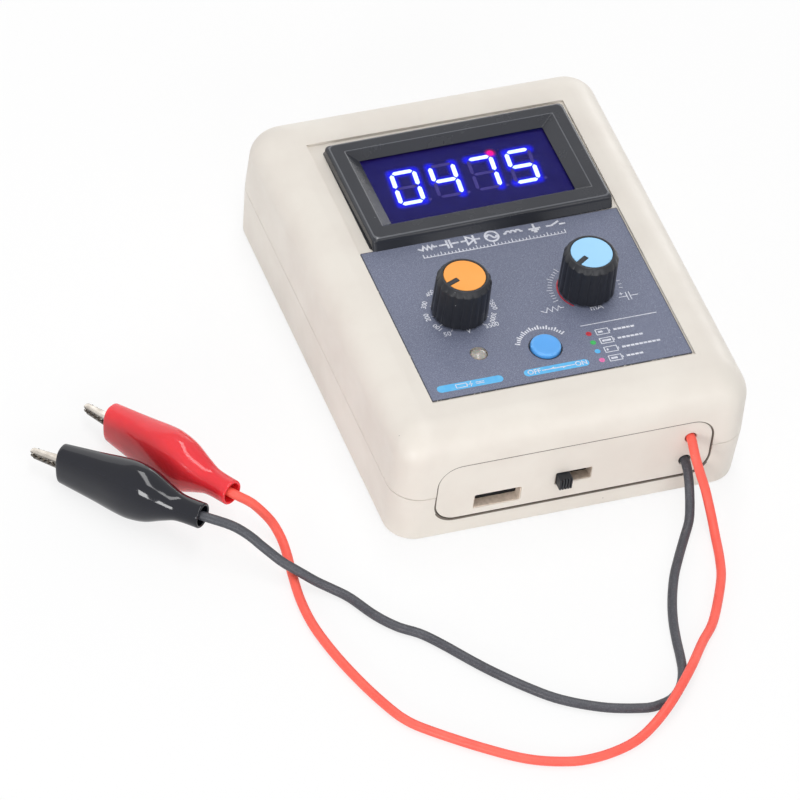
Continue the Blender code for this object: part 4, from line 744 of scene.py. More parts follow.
@dataclass(frozen=True)
class LabelFinish:
    """Printed film: fine ink grain, pale chips along its cut edges, dust, and a dark line of painted
    shade along its edges.
    """

    name: str
    low: Point2
    high: Point2
    ink: Colour = srgb(104, 110, 132)
    second: Colour = srgb(111, 117, 140)
    chip: Colour = srgb(226, 224, 220)
    # cut: painted shade, a dark line along the film's edges where the recess's gap lies in shadow.
    cut: Colour = srgb(58, 60, 70)
    edge_shade_width: float = 0.00026
    roughness: float = 0.5
    chip_reach: float = 0.0005
    speck_size: float = 0.00022
    speck_depth: float = 0.00001

    def make(self, effects: Effects) -> bpy.types.Material:
        """Build the material.

        Args:
            effects: The shared node groups.

        Returns:
            The material.
        """
        shader = Shader(self.name)
        graph = shader.graph
        place = graph.place()
        tone = graph.group(effects.tone, first=(*self.ink, 1.0), second=(*self.second, 1.0),
                           patch_size=0.03)
        speckle = graph.noise(place, 1.0 / self.speck_size, 2.0, 0.7)
        grained = graph.blend(graph.spread(speckle, 0.5, 0.72, 0.0, 0.55, True),
                              tone.outputs[0], srgb(172, 177, 192))
        grained = graph.blend(graph.spread(speckle, 0.5, 0.3, 0.0, 0.5, True), grained,
                              srgb(82, 87, 108))
        parts = graph.node("ShaderNodeSeparateXYZ")
        graph.feed(parts.inputs[0], place)
        edge = line = None
        for axis in (0, 1):
            middle = (self.low[axis] + self.high[axis]) / 2
            half = (self.high[axis] - self.low[axis]) / 2
            offset = graph.math("ABSOLUTE", graph.math("SUBTRACT", parts.outputs[axis], middle))
            near = graph.spread(offset, half - self.chip_reach, half, 0.0, 1.0)
            edge = near if edge is None else graph.math("MAXIMUM", edge, near)
            last = graph.spread(offset, half - self.edge_shade_width * 1.2, half - self.edge_shade_width * 0.8,
                                0.0, 0.9)
            line = last if line is None else graph.math("MAXIMUM", line, last)
        # Painted shade: a dark line just inside each edge of the film.
        grained = graph.blend(line, grained, self.cut)
        flakes = graph.noise(place, 900.0, 4.0, 0.7)
        chipped = graph.math("GREATER_THAN", graph.math("MULTIPLY", edge, flakes), 0.6)
        dust = graph.group(effects.dust, spacing=0.0075, speck_size=0.04, share=0.5)
        mask = graph.math("MAXIMUM", chipped, graph.math("MULTIPLY", dust.outputs[0], 0.55))
        shader.feed(base_color=graph.blend(mask, grained, self.chip),
                    roughness=graph.spread(speckle, 0.3, 0.7, self.roughness - 0.08,
                                           self.roughness + 0.08),
                    specular_ior_level=0.4,
                    normal=shader.bump(speckle, self.speck_depth))
        return shader.material


@dataclass(frozen=True)
class PrintFinish:
    """Screen-printed ink, slightly uneven."""

    name: str
    colour: Colour
    fade: Colour
    roughness: float = 0.5
    patch_size: float = 0.0006

    def make(self, effects: Effects) -> bpy.types.Material:
        """Build the material.

        Args:
            effects: The shared node groups.

        Returns:
            The material.
        """
        shader = Shader(self.name)
        tone = shader.graph.group(effects.tone, first=(*self.colour, 1.0),
                                  second=(*self.fade, 1.0), patch_size=self.patch_size)
        shader.feed(base_color=tone.outputs[0], roughness=self.roughness)
        return shader.material


@dataclass(frozen=True)
class VinylFinish:
    """Glossy dipped vinyl, a little translucent, with faint waves from dipping."""

    name: str
    colour: Colour
    second: Colour
    roughness: float = 0.07
    wave_size: float = 0.009
    wave_depth: float = 0.00022
    subsurface: float = 0.0
    coat: float = 0.6
    dust_colour: Colour = srgb(190, 190, 190)
    dust_share: float = 0.12
    specular: float = 0.5

    def make(self, effects: Effects) -> bpy.types.Material:
        """Build the material.

        Args:
            effects: The shared node groups.

        Returns:
            The material.
        """
        shader = Shader(self.name)
        graph = shader.graph
        tone = graph.group(effects.tone, first=(*self.colour, 1.0), second=(*self.second, 1.0),
                           patch_size=0.014)
        dust = graph.group(effects.dust, spacing=0.006, speck_size=0.03, share=self.dust_share)
        grain = graph.group(effects.grain, grain_size=0.0015, mottle_size=0.01)
        wave = graph.noise(graph.place(), 1.0 / self.wave_size, 1.0)
        fine = shader.bump(grain.outputs["Height"], 0.000008)
        shader.feed(base_color=graph.blend(dust.outputs[0], tone.outputs[0], self.dust_colour),
                    roughness=graph.spread(grain.outputs["Mottle"], 0.0, 1.0, self.roughness,
                                           self.roughness + 0.05),
                    normal=shader.bump(wave, self.wave_depth, 0.6, fine),
                    coat_weight=self.coat, coat_roughness=0.04,
                    specular_ior_level=self.specular)
        if self.subsurface:
            shader.feed(subsurface_weight=self.subsurface, subsurface_scale=0.003)
        return shader.material


@dataclass(frozen=True)
class JacketFinish:
    """Silicone jacket of a lead: soft, with a fine skin of powder and scuffs."""

    name: str
    colour: Colour
    second: Colour
    powder: Colour
    roughness: float = 0.48
    grain_size: float = 0.00028
    grain_depth: float = 0.00003
    powder_share: float = 0.3

    def make(self, effects: Effects) -> bpy.types.Material:
        """Build the material.

        Args:
            effects: The shared node groups.

        Returns:
            The material.
        """
        shader = Shader(self.name)
        graph = shader.graph
        tone = graph.group(effects.tone, first=(*self.colour, 1.0), second=(*self.second, 1.0),
                           patch_size=0.008)
        grain = graph.group(effects.grain, grain_size=self.grain_size, mottle_size=0.003)
        powder = graph.spread(grain.outputs["Height"], 0.5, 0.72, 0.0, self.powder_share)
        dust = graph.group(effects.dust, spacing=0.0022, speck_size=0.06, share=0.25)
        mask = graph.math("MAXIMUM", powder, graph.math("MULTIPLY", dust.outputs[0], 0.5))
        shader.feed(base_color=graph.blend(mask, tone.outputs[0], self.powder),
                    roughness=graph.spread(grain.outputs["Mottle"], 0.0, 1.0,
                                           self.roughness - 0.06, self.roughness + 0.06),
                    normal=shader.bump(grain.outputs["Height"], self.grain_depth))
        return shader.material


@dataclass(frozen=True)
class MetalFinish:
    """Pressed and plated metal with fine lines and duller patches, and optionally upright faces
    darkened as a painted reflection.
    """

    name: str
    colour: Colour
    second: Colour
    roughness: float = 0.22
    line_size: float = 0.00018
    line_depth: float = 0.000006
    # side: colour of upright faces, a painted dark reflection of the surroundings.
    side: Colour | None = None

    def make(self, effects: Effects) -> bpy.types.Material:
        """Build the material.

        Args:
            effects: The shared node groups.

        Returns:
            The material.
        """
        shader = Shader(self.name)
        graph = shader.graph
        drawn = graph.group(effects.metal, line_size=self.line_size)
        tone = graph.group(effects.tone, first=(*self.colour, 1.0), second=(*self.second, 1.0),
                           patch_size=0.004)
        colour = tone.outputs[0]
        # Painted dark reflection on faces that stand upright.
        if self.side:
            parts = graph.node("ShaderNodeSeparateXYZ")
            graph.feed(parts.inputs[0], graph.node("ShaderNodeNewGeometry").outputs["Normal"])
            upright = graph.spread(graph.math("ABSOLUTE", parts.outputs[2]), 0.25, 0.8, 1.0, 0.0,
                                   True)
            colour = graph.blend(upright, colour, self.side)
        shader.feed(base_color=colour, metallic=1.0,
                    roughness=graph.spread(drawn.outputs["Dullness"], 0.3, 0.7,
                                           self.roughness - 0.07, self.roughness + 0.12),
                    normal=shader.bump(drawn.outputs["Height"], self.line_depth))
        return shader.material


@dataclass(frozen=True)
class WindowFinish:
    """Smoked blue filter: clear in front of the digits and printed dark round them."""

    name: str
    middle: Point2
    half_clear: Point2
    colour: Colour = srgb(32, 36, 110)
    clear_alpha: float = 0.12
    masked_alpha: float = 0.97
    fade: float = 0.0012

    def make(self, effects: Effects) -> bpy.types.Material:
        """Build the material.

        Args:
            effects: The shared node groups.

        Returns:
            The material.
        """
        shader = Shader(self.name)
        graph = shader.graph
        parts = graph.node("ShaderNodeSeparateXYZ")
        graph.feed(parts.inputs[0], graph.place())
        away = None
        for axis in (0, 1):
            offset = graph.math("ABSOLUTE", graph.math("SUBTRACT", parts.outputs[axis],
                                                       self.middle[axis]))
            past = graph.spread(offset, self.half_clear[axis] - self.fade,
                                self.half_clear[axis], 0.0, 1.0, True)
            away = past if away is None else graph.math("MAXIMUM", away, past)
        haze = graph.group(effects.grain, grain_size=0.0007, mottle_size=0.01)
        tone = graph.group(effects.tone, first=(*self.colour, 1.0),
                           second=(*srgb(26, 30, 96), 1.0), patch_size=0.006)
        shader.feed(base_color=tone.outputs[0],
                    alpha=graph.spread(away, 0.0, 1.0, self.clear_alpha, self.masked_alpha),
                    roughness=graph.spread(haze.outputs["Mottle"], 0.0, 1.0, 0.1, 0.16),
                    specular_ior_level=0.12)
        return shader.material


@dataclass(frozen=True)
class DisplayFinish:
    """Face of the digit block: dark blue, with light that spills round the lit segments."""

    name: str
    attribute: str
    dark: Colour = srgb(30, 35, 106)
    spill: Colour = (0.0, 0.0, 1.0)

    def make(self, effects: Effects) -> bpy.types.Material:
        """Build the material.

        Args:
            effects: The shared node groups.

        Returns:
            The material.
        """
        shader = Shader(self.name)
        graph = shader.graph
        glow = graph.node("ShaderNodeVertexColor", layer_name=self.attribute)
        grain = graph.group(effects.grain, grain_size=0.0005, mottle_size=0.004)
        shader.feed(base_color=graph.blend(grain.outputs["Mottle"], self.dark, srgb(26, 30, 92)),
                    roughness=graph.spread(grain.outputs["Mottle"], 0.0, 1.0, 0.45, 0.6),
                    specular_ior_level=0.1,
                    emission_color=glow.outputs[0], emission_strength=1.0)
        return shader.material


@dataclass(frozen=True)
class GlowFinish:
    """A lit segment behind the filter, or an unlit one with a faint painted glow."""

    name: str
    colour: Colour
    edge: Colour
    strength: float
    patch_size: float = 0.0025

    def make(self, effects: Effects) -> bpy.types.Material:
        """Build the material.

        Args:
            effects: The shared node groups.

        Returns:
            The material.
        """
        shader = Shader(self.name)
        tone = shader.graph.group(effects.tone, first=(*self.colour, 1.0),
                                  second=(*self.edge, 1.0), patch_size=self.patch_size)
        shader.feed(base_color=tone.outputs[0], roughness=0.5, specular_ior_level=0.1,
                    emission_color=tone.outputs[0], emission_strength=self.strength)
        return shader.material


@dataclass(frozen=True)
class BoardFinish:
    """Circuit board: green mask with copper tracks that show through it."""

    name: str
    mask: Colour = srgb(22, 92, 52)
    track: Colour = srgb(48, 128, 72)
    track_pitch: float = 0.0026

    def make(self, effects: Effects) -> bpy.types.Material:
        """Build the material.

        Args:
            effects: The shared node groups.

        Returns:
            The material.
        """
        shader = Shader(self.name)
        graph = shader.graph
        bricks = graph.node("ShaderNodeTexBrick")
        graph.feed(bricks.inputs["Vector"], graph.place())
        bricks.inputs["Scale"].default_value = 0.5 / self.track_pitch
        bricks.inputs["Mortar Size"].default_value = 0.06
        bricks.inputs["Mortar Smooth"].default_value = 0.1
        tracks = bricks.outputs["Fac"]
        grain = graph.group(effects.grain, grain_size=0.0006, mottle_size=0.01)
        tone = graph.group(effects.tone, first=(*self.mask, 1.0),
                           second=(*srgb(16, 78, 44), 1.0), patch_size=0.012)
        shader.feed(base_color=graph.blend(tracks, tone.outputs[0], self.track),
                    roughness=graph.spread(grain.outputs["Mottle"], 0.0, 1.0, 0.3, 0.45),
                    normal=shader.bump(tracks, 0.00003))
        return shader.material


@dataclass(frozen=True)
class WrapFinish:
    """Tape or sleeve with even turns across one axis."""

    name: str
    colour: Colour
    seam: Colour
    roughness: float
    turn: float

    def make(self, effects: Effects) -> bpy.types.Material:
        """Build the material.

        Args:
            effects: The shared node groups.

        Returns:
            The material.
        """
        shader = Shader(self.name)
        graph = shader.graph
        turns = graph.node("ShaderNodeTexWave", wave_type="BANDS", bands_direction="Z")
        graph.feed(turns.inputs["Vector"], graph.place())
        turns.inputs["Scale"].default_value = 0.31 / self.turn
        turns.inputs["Distortion"].default_value = 0.6
        band = graph.spread(turns.outputs["Fac"], 0.0, 0.35, 1.0, 0.0, True)
        tone = graph.group(effects.tone, first=(*self.colour, 1.0), second=(*self.seam, 1.0),
                           patch_size=0.006)
        shader.feed(base_color=graph.blend(band, tone.outputs[0], self.seam),
                    roughness=graph.spread(band, 0.0, 1.0, self.roughness, self.roughness + 0.1),
                    normal=shader.bump(turns.outputs["Fac"], 0.00005))
        return shader.material


class Finishes:
    """Every material of the tester, made once."""

    def __init__(self, label_box: tuple[Point2, Point2], window_middle: Point2,
                 window_clear: Point2, glow_attribute: str) -> None:
        """Build the materials.

        Args:
            label_box: Low and high corner of the label.
            window_middle: Middle of the digit block.
            window_clear: Half the size of the clear part of the window.
            glow_attribute: Name of the colour attribute with the spilled light.
        """
        effects = Effects()
        pale = srgb(250, 248, 244)
        self.case = PlasticFinish(
            "case_plastic", srgb(228, 222, 213), srgb(223, 216, 207), 0.42, 0.0005, 0.000012,
            dust_colour=srgb(132, 124, 114), dust_share=0.22, dust_spacing=0.011).make(effects)
        self.label = LabelFinish("label_film", *label_box).make(effects)
        self.white_ink = PrintFinish("white_ink", srgb(232, 233, 240),
                                     srgb(196, 199, 214)).make(effects)
        self.blue_ink = PrintFinish("blue_ink", srgb(84, 178, 236),
                                    srgb(100, 190, 240), patch_size=0.002).make(effects)
        self.red_ink = PrintFinish("red_ink", srgb(205, 40, 55), srgb(170, 34, 52)).make(effects)
        self.green_ink = PrintFinish("green_ink", srgb(60, 190, 95),
                                     srgb(52, 165, 84)).make(effects)
        self.pink_ink = PrintFinish("pink_ink", srgb(238, 118, 178),
                                    srgb(214, 100, 160)).make(effects)
        # The bezel's edges get a painted highlight: a lighter band just under its top.
        self.bezel = PlasticFinish(
            "bezel_plastic", srgb(50, 52, 58), srgb(46, 48, 54), 0.24, 0.00035, 0.00003, specular=0.36,
            painted_highlight_band=(0.04515, 0.04538), painted_highlight_band_colour=srgb(98, 100, 105),
            dust_colour=srgb(205, 205, 205), dust_share=0.35, dust_spacing=0.005).make(effects)
        self.window = WindowFinish("window_tint", window_middle, window_clear).make(effects)
        self.display = DisplayFinish("display_face", glow_attribute).make(effects)
        self.lit = GlowFinish("lit_segment", srgb(232, 248, 255), srgb(205, 236, 255),
                              1.15).make(effects)
        # Unlit segments carry a faint painted glow.
        self.unlit = GlowFinish("unlit_segment", srgb(84, 76, 158), srgb(72, 64, 140),
                                0.08).make(effects)
        self.point = GlowFinish("lit_point", srgb(250, 20, 120), srgb(225, 10, 150),
                                0.9).make(effects)
        # Knob edges get a lighter colour: wear and a painted highlight.
        self.knob = PlasticFinish(
            "knob_plastic", srgb(28, 30, 36), srgb(24, 26, 32), 0.4, 0.0003, 0.000012,
            wear_and_highlight_colour=srgb(70, 72, 78), wear_and_highlight_sharpness=0.25, specular=0.4,
            dust_colour=srgb(190, 190, 194), dust_share=0.6,
            dust_spacing=0.0024).make(effects)
        self.orange = PlasticFinish("orange_cap", srgb(254, 172, 86), srgb(250, 166, 78), 0.5,
                                    0.0003, 0.000012, specular=0.3).make(effects)
        self.sky = PlasticFinish("light_blue_cap", srgb(164, 216, 253), srgb(156, 210, 251), 0.5,
                                 0.0003, 0.000012, specular=0.3).make(effects)
        self.button = PlasticFinish("blue_button", srgb(88, 170, 244), srgb(82, 162, 238), 0.35,
                                    0.0005, 0.00001, wear_and_highlight_colour=srgb(150, 205, 250)).make(effects)
        self.metal = MetalFinish("bright_metal", srgb(205, 202, 196),
                                 srgb(186, 183, 178)).make(effects)
        # The clip's upright faces are darkened: painted dark reflection.
        self.nickel = MetalFinish("clip_nickel", srgb(216, 210, 202), srgb(176, 168, 158), 0.26,
                                  0.00022, 0.00001, srgb(112, 108, 104)).make(effects)
        self.black = PlasticFinish(
            "black_plastic", srgb(40, 42, 48), srgb(34, 36, 42), 0.42, 0.0003, 0.00002,
            wear_and_highlight_colour=srgb(84, 86, 92), wear_and_highlight_sharpness=0.2).make(effects)
        self.ferrite = PlasticFinish("ferrite", srgb(62, 62, 64), srgb(50, 50, 53), 0.65, 0.0005,
                                     0.00006, patch_size=0.004).make(effects)
        self.winding = WrapFinish("winding_tape", srgb(226, 190, 70), srgb(176, 138, 40), 0.42,
                                  0.0016).make(effects)
        self.capacitor = PlasticFinish("capacitor_case", srgb(176, 44, 38), srgb(158, 36, 32),
                                       0.35, 0.0005, 0.00001).make(effects)
        self.cell = WrapFinish("cell_sleeve", srgb(52, 120, 176), srgb(38, 96, 150), 0.3,
                               0.03).make(effects)
        self.terminal = PlasticFinish("terminal_block", srgb(56, 150, 88), srgb(46, 132, 76),
                                      0.45).make(effects)
        self.board = BoardFinish("circuit_board").make(effects)
        self.led = PlasticFinish("status_light", srgb(174, 169, 162), srgb(160, 154, 147), 0.22,
                                 0.0003, 0.00001, patch_size=0.001, subsurface=0.4,
                                 coat=0.3).make(effects)
        self.red_lead = JacketFinish("red_lead", srgb(255, 100, 84), srgb(248, 92, 78),
                                     srgb(255, 150, 135), powder_share=0.18).make(effects)
        self.black_lead = JacketFinish("black_lead", srgb(66, 67, 74), srgb(58, 59, 66),
                                       srgb(140, 141, 148)).make(effects)
        self.red_boot = VinylFinish("red_vinyl", srgb(246, 58, 66), srgb(238, 50, 60),
                                    roughness=0.1, subsurface=0.3, coat=0.0, specular=0.4,
                                    dust_share=0.05).make(effects)
        self.black_boot = VinylFinish("black_vinyl", srgb(18, 20, 31), srgb(15, 17, 27),
                                      coat=0.0, specular=0.42).make(effects)
        self.port = PlasticFinish("port_liner", srgb(230, 214, 199), srgb(208, 192, 176), 0.6,
                                  0.0004, 0.00008, patch_size=0.0015).make(effects)
        # A darker copy of the port liner: painted shade for the switch's slot.
        self.dim_port = PlasticFinish("switch_liner", srgb(192, 176, 161), srgb(164, 147, 132),
                                      0.6, 0.0004, 0.00008, patch_size=0.0015).make(effects)
        # seam is painted shade: the dark strip laid in the gap round the end plates.
        self.seam = PlasticFinish("seam_shadow", srgb(112, 103, 94), srgb(100, 92, 84), 0.7, 0.0004,
                                  0.00003).make(effects)
        # Black plastic, also used as painted shade: sheets behind the openings, the ring round the
        # bezel's foot and the ring round the button.
        self.black_and_shade = PlasticFinish("black_plastic_and_painted_shade", srgb(22, 22, 26), srgb(18, 18, 22), 0.6,
                                    0.0004, 0.00003).make(effects)


@dataclass
class CaseShells:
    """Top and bottom shell of the case, with fine corners, seams and eased edges."""

    width: float = 0.1147
    length: float = 0.1474
    height: float = 0.0423
    wall: float = 0.0025
    floor: float = 0.0025
    ceiling: float = 0.0390
    corner_radius: float = 0.0095
    top_edge_radius: float = 0.0108
    bottom_edge_radius: float = 0.0015
    top_draft: float = 0.0002
    bottom_draft: float = 0.0008
    edge_pull: float = 0.6
    lip_height: float = 0.0016
    lip_setback: float = 0.0014
    corner_steps: int = 14
    edge_steps: int = 18
    edge_ease: float = 0.00022
    recess_half_x: float = 0.0425
    recess_half_y: float = 0.05715
    recess_floor: float = 0.0413
    plate_half_x: float = 0.0444
    plate_half_z: float = 0.01115
    plate_middle: float = 0.01875
    plate_radius: float = 0.0072
    plate_gap: float = 0.0004
    plate_back: float = 0.0701
    post_radius: float = 0.0040
    screw_x: float = 0.0480
    screw_y: float = 0.0620
    head_radius: float = 0.0027
    head_top: float = 0.0056
    shank_radius: float = 0.00145
    screw_end: float = 0.0291
    meter_low: Point2 = (-0.0368, 0.0117)
    meter_high: Point2 = (0.0396, 0.0516)
    knob_holes: tuple[Point2, ...] = ((-0.0211, -0.02215), (0.0201, -0.02215))
    bushing_radius: float = 0.0040
    led_hole: tuple[float, float, float] = (-0.0214, -0.0402, 0.0028)
    button_hole: tuple[float, float, float] = (-0.0008, -0.0428, 0.0050)

    def ring(self, wall: float, edge: float, height: float) -> Ring:
        """Trace the case's outline at a height.

        Args:
            wall: How far a wall sets it in.
            edge: How far a rounded edge sets it in.
            height: Its height.

        Returns:
            The ring.
        """
        inset = wall + edge
        radius = max(self.corner_radius - wall - self.edge_pull * edge, CLEARANCE)
        outline = rounded_outline(self.width / 2 - inset, self.length / 2 - inset, radius,
                                  self.corner_steps)
        return [(x, y, height) for x, y in outline]

    def edge_rings(self, wall: float, draft: float, radius: float, top: float,
                   steps: int) -> list[Ring]:
        """Trace a rounded upper edge from its flat top down to its side."""
        rings = []
        for step in range(steps + 1):
            angle = math.pi / 2 * step / steps
            rings.append(self.ring(wall, draft + radius * (1 - math.sin(angle)),
                                   top - radius * (1 - math.cos(angle))))
        return rings

    def end_openings(self) -> list[bpy.types.Mesh]:
        """Make the cutters of the two end openings."""
        outline = [(x, z + self.plate_middle) for x, z in
                   rounded_outline(self.plate_half_x + self.plate_gap,
                                   self.plate_half_z + self.plate_gap,
                                   self.plate_radius + self.plate_gap, self.corner_steps)]
        near, far = self.plate_back - CLEARANCE, self.length / 2 + self.wall
        return [prism(f"end_opening_{side}", outline, Axis.Y, side * near, side * far)
                for side in (-1, 1)]

    def posts(self, low: float, high: float, radius: float) -> list[bpy.types.Mesh]:
        """Make a round solid at each case screw."""
        return [prism(f"post_{x:.3f}_{y:.3f}", circle_outline(radius, 32, (x, y)), Axis.Z, low,
                      high) for x in (-self.screw_x, self.screw_x)
                for y in (-self.screw_y, self.screw_y)]

    def make_top(self, material: bpy.types.Material) -> bpy.types.Object:
        """Build the top shell.

        Args:
            material: The case's plastic.

        Returns:
            The piece.
        """
        rings = self.edge_rings(0.0, self.top_draft, self.top_edge_radius, self.height,
                                self.edge_steps)
        rebate = self.lip_setback - CLEARANCE
        rebate_top = SEAM_HIGH + self.lip_height + CLEARANCE
        rings += [self.ring(0.0, 0.0, SEAM_HIGH), self.ring(rebate, 0.0, SEAM_HIGH),
                  self.ring(rebate, 0.0, rebate_top), self.ring(self.wall, 0.0, rebate_top)]
        inner = self.edge_rings(self.wall, self.top_draft, self.top_edge_radius - self.wall,
                                self.ceiling, self.edge_steps // 2)
        rings.extend(reversed(inner))
        carver = Carver(add_piece("case_top", mesh_from_rings("case_top", rings), material))
        carver.join(*self.posts(SEAM_HIGH, self.ceiling + self.wall / 2, self.post_radius))
        carver.cut(*self.posts(0.0, self.screw_end + CLEARANCE, self.shank_radius))
        carver.cut(box_mesh("recess", (-self.recess_half_x, -self.recess_half_y,
                                       self.recess_floor),
                            (self.recess_half_x, self.recess_half_y, self.height + self.wall)))
        carver.cut(*self.end_openings())
        low, high = self.ceiling - self.wall, self.height + self.wall
        carver.cut(box_mesh("meter_opening", (*self.meter_low, low), (*self.meter_high, high)))
        for number, centre in enumerate(self.knob_holes):
            carver.cut(prism(f"bushing_hole_{number}",
                             circle_outline(self.bushing_radius, 32, centre), Axis.Z, low, high))
        for title, (x, y, radius) in (("led", self.led_hole), ("button", self.button_hole)):
            carver.cut(prism(f"{title}_hole", circle_outline(radius, 40, (x, y)), Axis.Z, low,
                             high))
        return settle(carver.finish(self.edge_ease), Body.CASE, "case_plastic", "top_shell")

    def make_bottom(self, material: bpy.types.Material) -> bpy.types.Object:
        """Build the bottom shell.

        Args:
            material: The case's plastic.

        Returns:
            The piece.
        """
        rings = []
        for step in range(7):
            angle = math.pi / 2 * step / 6
            rings.append(self.ring(0.0, self.bottom_draft + self.bottom_edge_radius
                                   * (1 - math.sin(angle)),
                                   self.bottom_edge_radius * (1 - math.cos(angle))))
        lip_top = SEAM_LOW + self.lip_height
        rings += [self.ring(0.0, 0.0, SEAM_LOW), self.ring(self.lip_setback, 0.0, SEAM_LOW),
                  self.ring(self.lip_setback, 0.0, lip_top), self.ring(self.wall, 0.0, lip_top),
                  self.ring(self.wall, self.bottom_draft, self.floor + self.bottom_edge_radius),
                  self.ring(self.wall, self.bottom_draft + self.bottom_edge_radius, self.floor)]
        carver = Carver(add_piece("case_bottom", mesh_from_rings("case_bottom", rings),
                                  material))
        carver.join(*self.posts(self.floor / 2, SEAM_LOW, self.post_radius))
        carver.cut(*self.end_openings())
        carver.cut(*self.posts(-self.wall, self.head_top + CLEARANCE,
                               self.head_radius + CLEARANCE))
        carver.cut(*self.posts(self.head_top - self.wall, PARTING_HEIGHT + self.wall,
                               self.shank_radius + CLEARANCE))
        return settle(carver.finish(self.edge_ease), Body.CASE, "case_plastic", "bottom_shell")


@dataclass
class EndPlates:
    """Front and rear end plates, set back a little in their openings."""

    shells: CaseShells
    face: float = 0.0732
    back: float = 0.0689
    flange: float = 0.0018
    recess_face: float = 0.0695
    recess_grow: float = 0.0011
    liner_wall: float = 0.00028
    usb_slot: tuple[float, float, float, float] = (-0.0319, -0.0166, 0.01005, 0.01575)
    usb_corner: float = 0.0007
    switch_slot: tuple[float, float, float, float] = (-0.0059, 0.0059, 0.0138, 0.0186)
    switch_corner: float = 0.0004
    lead_holes: tuple[Point2, ...] = ((0.0372, 0.0233), (0.0364, 0.0139))
    lead_hole_radius: float = 0.0019

    def outline(self, grow: float) -> list[Point2]:
        """Trace the plate, grown by a margin."""
        shells = self.shells
        return [(x, z + shells.plate_middle) for x, z in
                rounded_outline(shells.plate_half_x + grow, shells.plate_half_z + grow,
                                shells.plate_radius + grow / 2, shells.corner_steps)]

    def slot(self, title: str, size: tuple[float, float, float, float],
             corner: float) -> bpy.types.Mesh:
        """Make the cutter of a rectangular opening.

        Args:
            title: Its name.
            size: Left, right, lowest and highest place.
            corner: Radius of its corners.

        Returns:
            The cutter.
        """
        left, right, low, high = size
        outline = [(x + (left + right) / 2, z + (low + high) / 2) for x, z in
                   rounded_outline((right - left) / 2, (high - low) / 2, corner, 4)]
        return prism(title, outline, Axis.Y, -self.face - 0.002, -self.back + 0.002)

    def recess(self, title: str, size: tuple[float, float, float, float]) -> bpy.types.Mesh:
        """Make the cutter of the room behind an opening, where the wall is thinned."""
        left, right, low, high = size
        grow = self.recess_grow
        return box_mesh(title, (left - grow, -self.recess_face, low - grow),
                        (right + grow, -self.back + 0.002, high + grow))

    def make_ports(self, liners: tuple[bpy.types.Material, bpy.types.Material],
                   shade: bpy.types.Material) -> None:
        """Line both openings and close the room behind them with black sheets: painted shade for the
        dark inside of the case.

        Args:
            liners: Finishes of the socket's liner and of the switch's liner, a darker copy with
                painted shade.
            shade: Finish of the black sheets of painted shade.
        """
        low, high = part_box("usb_c_socket")
        lever_low, lever_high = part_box("slide_switch_lever")
        grow, skin = self.recess_grow - 0.00012, self.liner_wall
        for title, liner, size, corner, hole in (
                ("usb", liners[0], self.usb_slot, self.usb_corner,
                 (low.x - 0.0003, high.x + 0.0003, low.z - 0.0003, high.z + 0.0003)),
                ("switch", liners[1], self.switch_slot, self.switch_corner,
                 (lever_low.x - 0.0003, lever_high.x + 0.0073, lever_low.z - 0.0003,
                  lever_high.z + 0.0003))):
            left, right, bottom, top = size
            middle = ((left + right) / 2, (bottom + top) / 2)
            half = ((right - left) / 2, (top - bottom) / 2)
            rings = []
            for inset, y in ((0.00002, self.face - 0.0004), (skin, self.face - 0.0004),
                             (skin, self.recess_face + 0.0001),
                             (0.00002, self.recess_face + 0.0001)):
                rings.append([(x + middle[0], -y, z + middle[1]) for x, z in rounded_outline(
                    half[0] - inset, half[1] - inset, max(corner - inset, 0.0002), 4)])
            settle(add_piece(f"{title}_liner", mesh_from_rings(f"{title}_liner", rings, True),
                             liner), Body.CASE, "case_plastic")
            # A black sheet of painted shade behind the opening.
            shade_sheet = box_mesh(f"{title}_shutter",
                               (left - grow, -self.recess_face + 0.00015, bottom - grow),
                               (right + grow, -self.recess_face + 0.00050, top + grow))
            carver = Carver(add_piece(f"{title}_shutter", shade_sheet, shade))
            carver.cut(box_mesh(f"{title}_mouth", (hole[0], -0.1, hole[2]),
                                (hole[1], -0.05, hole[3])))
            settle(carver.finish(), Body.CASE, "black_plastic")

    def make_plate_gap_shade(self, side: int, material: bpy.types.Material) -> None:
        """Lay a dark strip in the gap round a plate: painted shade, where the gap lies in shadow.

        Args:
            side: -1 for the front, 1 for the rear.
            material: Its finish.
        """
        name = "front_gap_shade" if side < 0 else "rear_gap_shade"
        front, back = side * (self.face + 0.00015), side * (self.face - 0.0012)
        rings = [[(x, y, z + lift) for x, z in self.outline(grow)] for grow, y, lift in
                 ((0.00005, front, -0.00012), (0.0007, front, 0.0), (0.0007, back, 0.0),
                  (0.00005, back, -0.00012))]
        settle(add_piece(name, mesh_from_rings(name, rings, True), material), Body.CASE,
               "case_plastic")

    def make(self, side: int, material: bpy.types.Material) -> bpy.types.Object:
        """Build a plate.

        Args:
            side: -1 for the front, 1 for the rear.
            material: The case's plastic.

        Returns:
            The piece.
        """
        name = "front_panel" if side < 0 else "rear_panel"
        flange_face = self.shells.plate_back
        plate = prism(name, self.outline(-0.0001), Axis.Y, side * self.face,
                      side * (flange_face + self.back) / 2)
        carver = Carver(add_piece(name, plate, material))
        carver.join(prism(f"{name}_flange", self.outline(self.flange), Axis.Y,
                          side * flange_face, side * self.back))
        if side < 0:
            carver.cut(self.slot("usb_opening", self.usb_slot, self.usb_corner),
                       self.slot("switch_opening", self.switch_slot, self.switch_corner),
                       self.recess("usb_room", self.usb_slot),
                       self.recess("switch_room", self.switch_slot))
            for number, hole in enumerate(self.lead_holes):
                carver.cut(prism(f"lead_opening_{number}",
                                 circle_outline(self.lead_hole_radius, 28, hole), Axis.Y,
                                 -self.face - 0.002, -self.back + 0.002))
        node = "front_plate" if side < 0 else "rear_plate"
        return settle(carver.finish(0.0003), Body.CASE, "case_plastic", node)


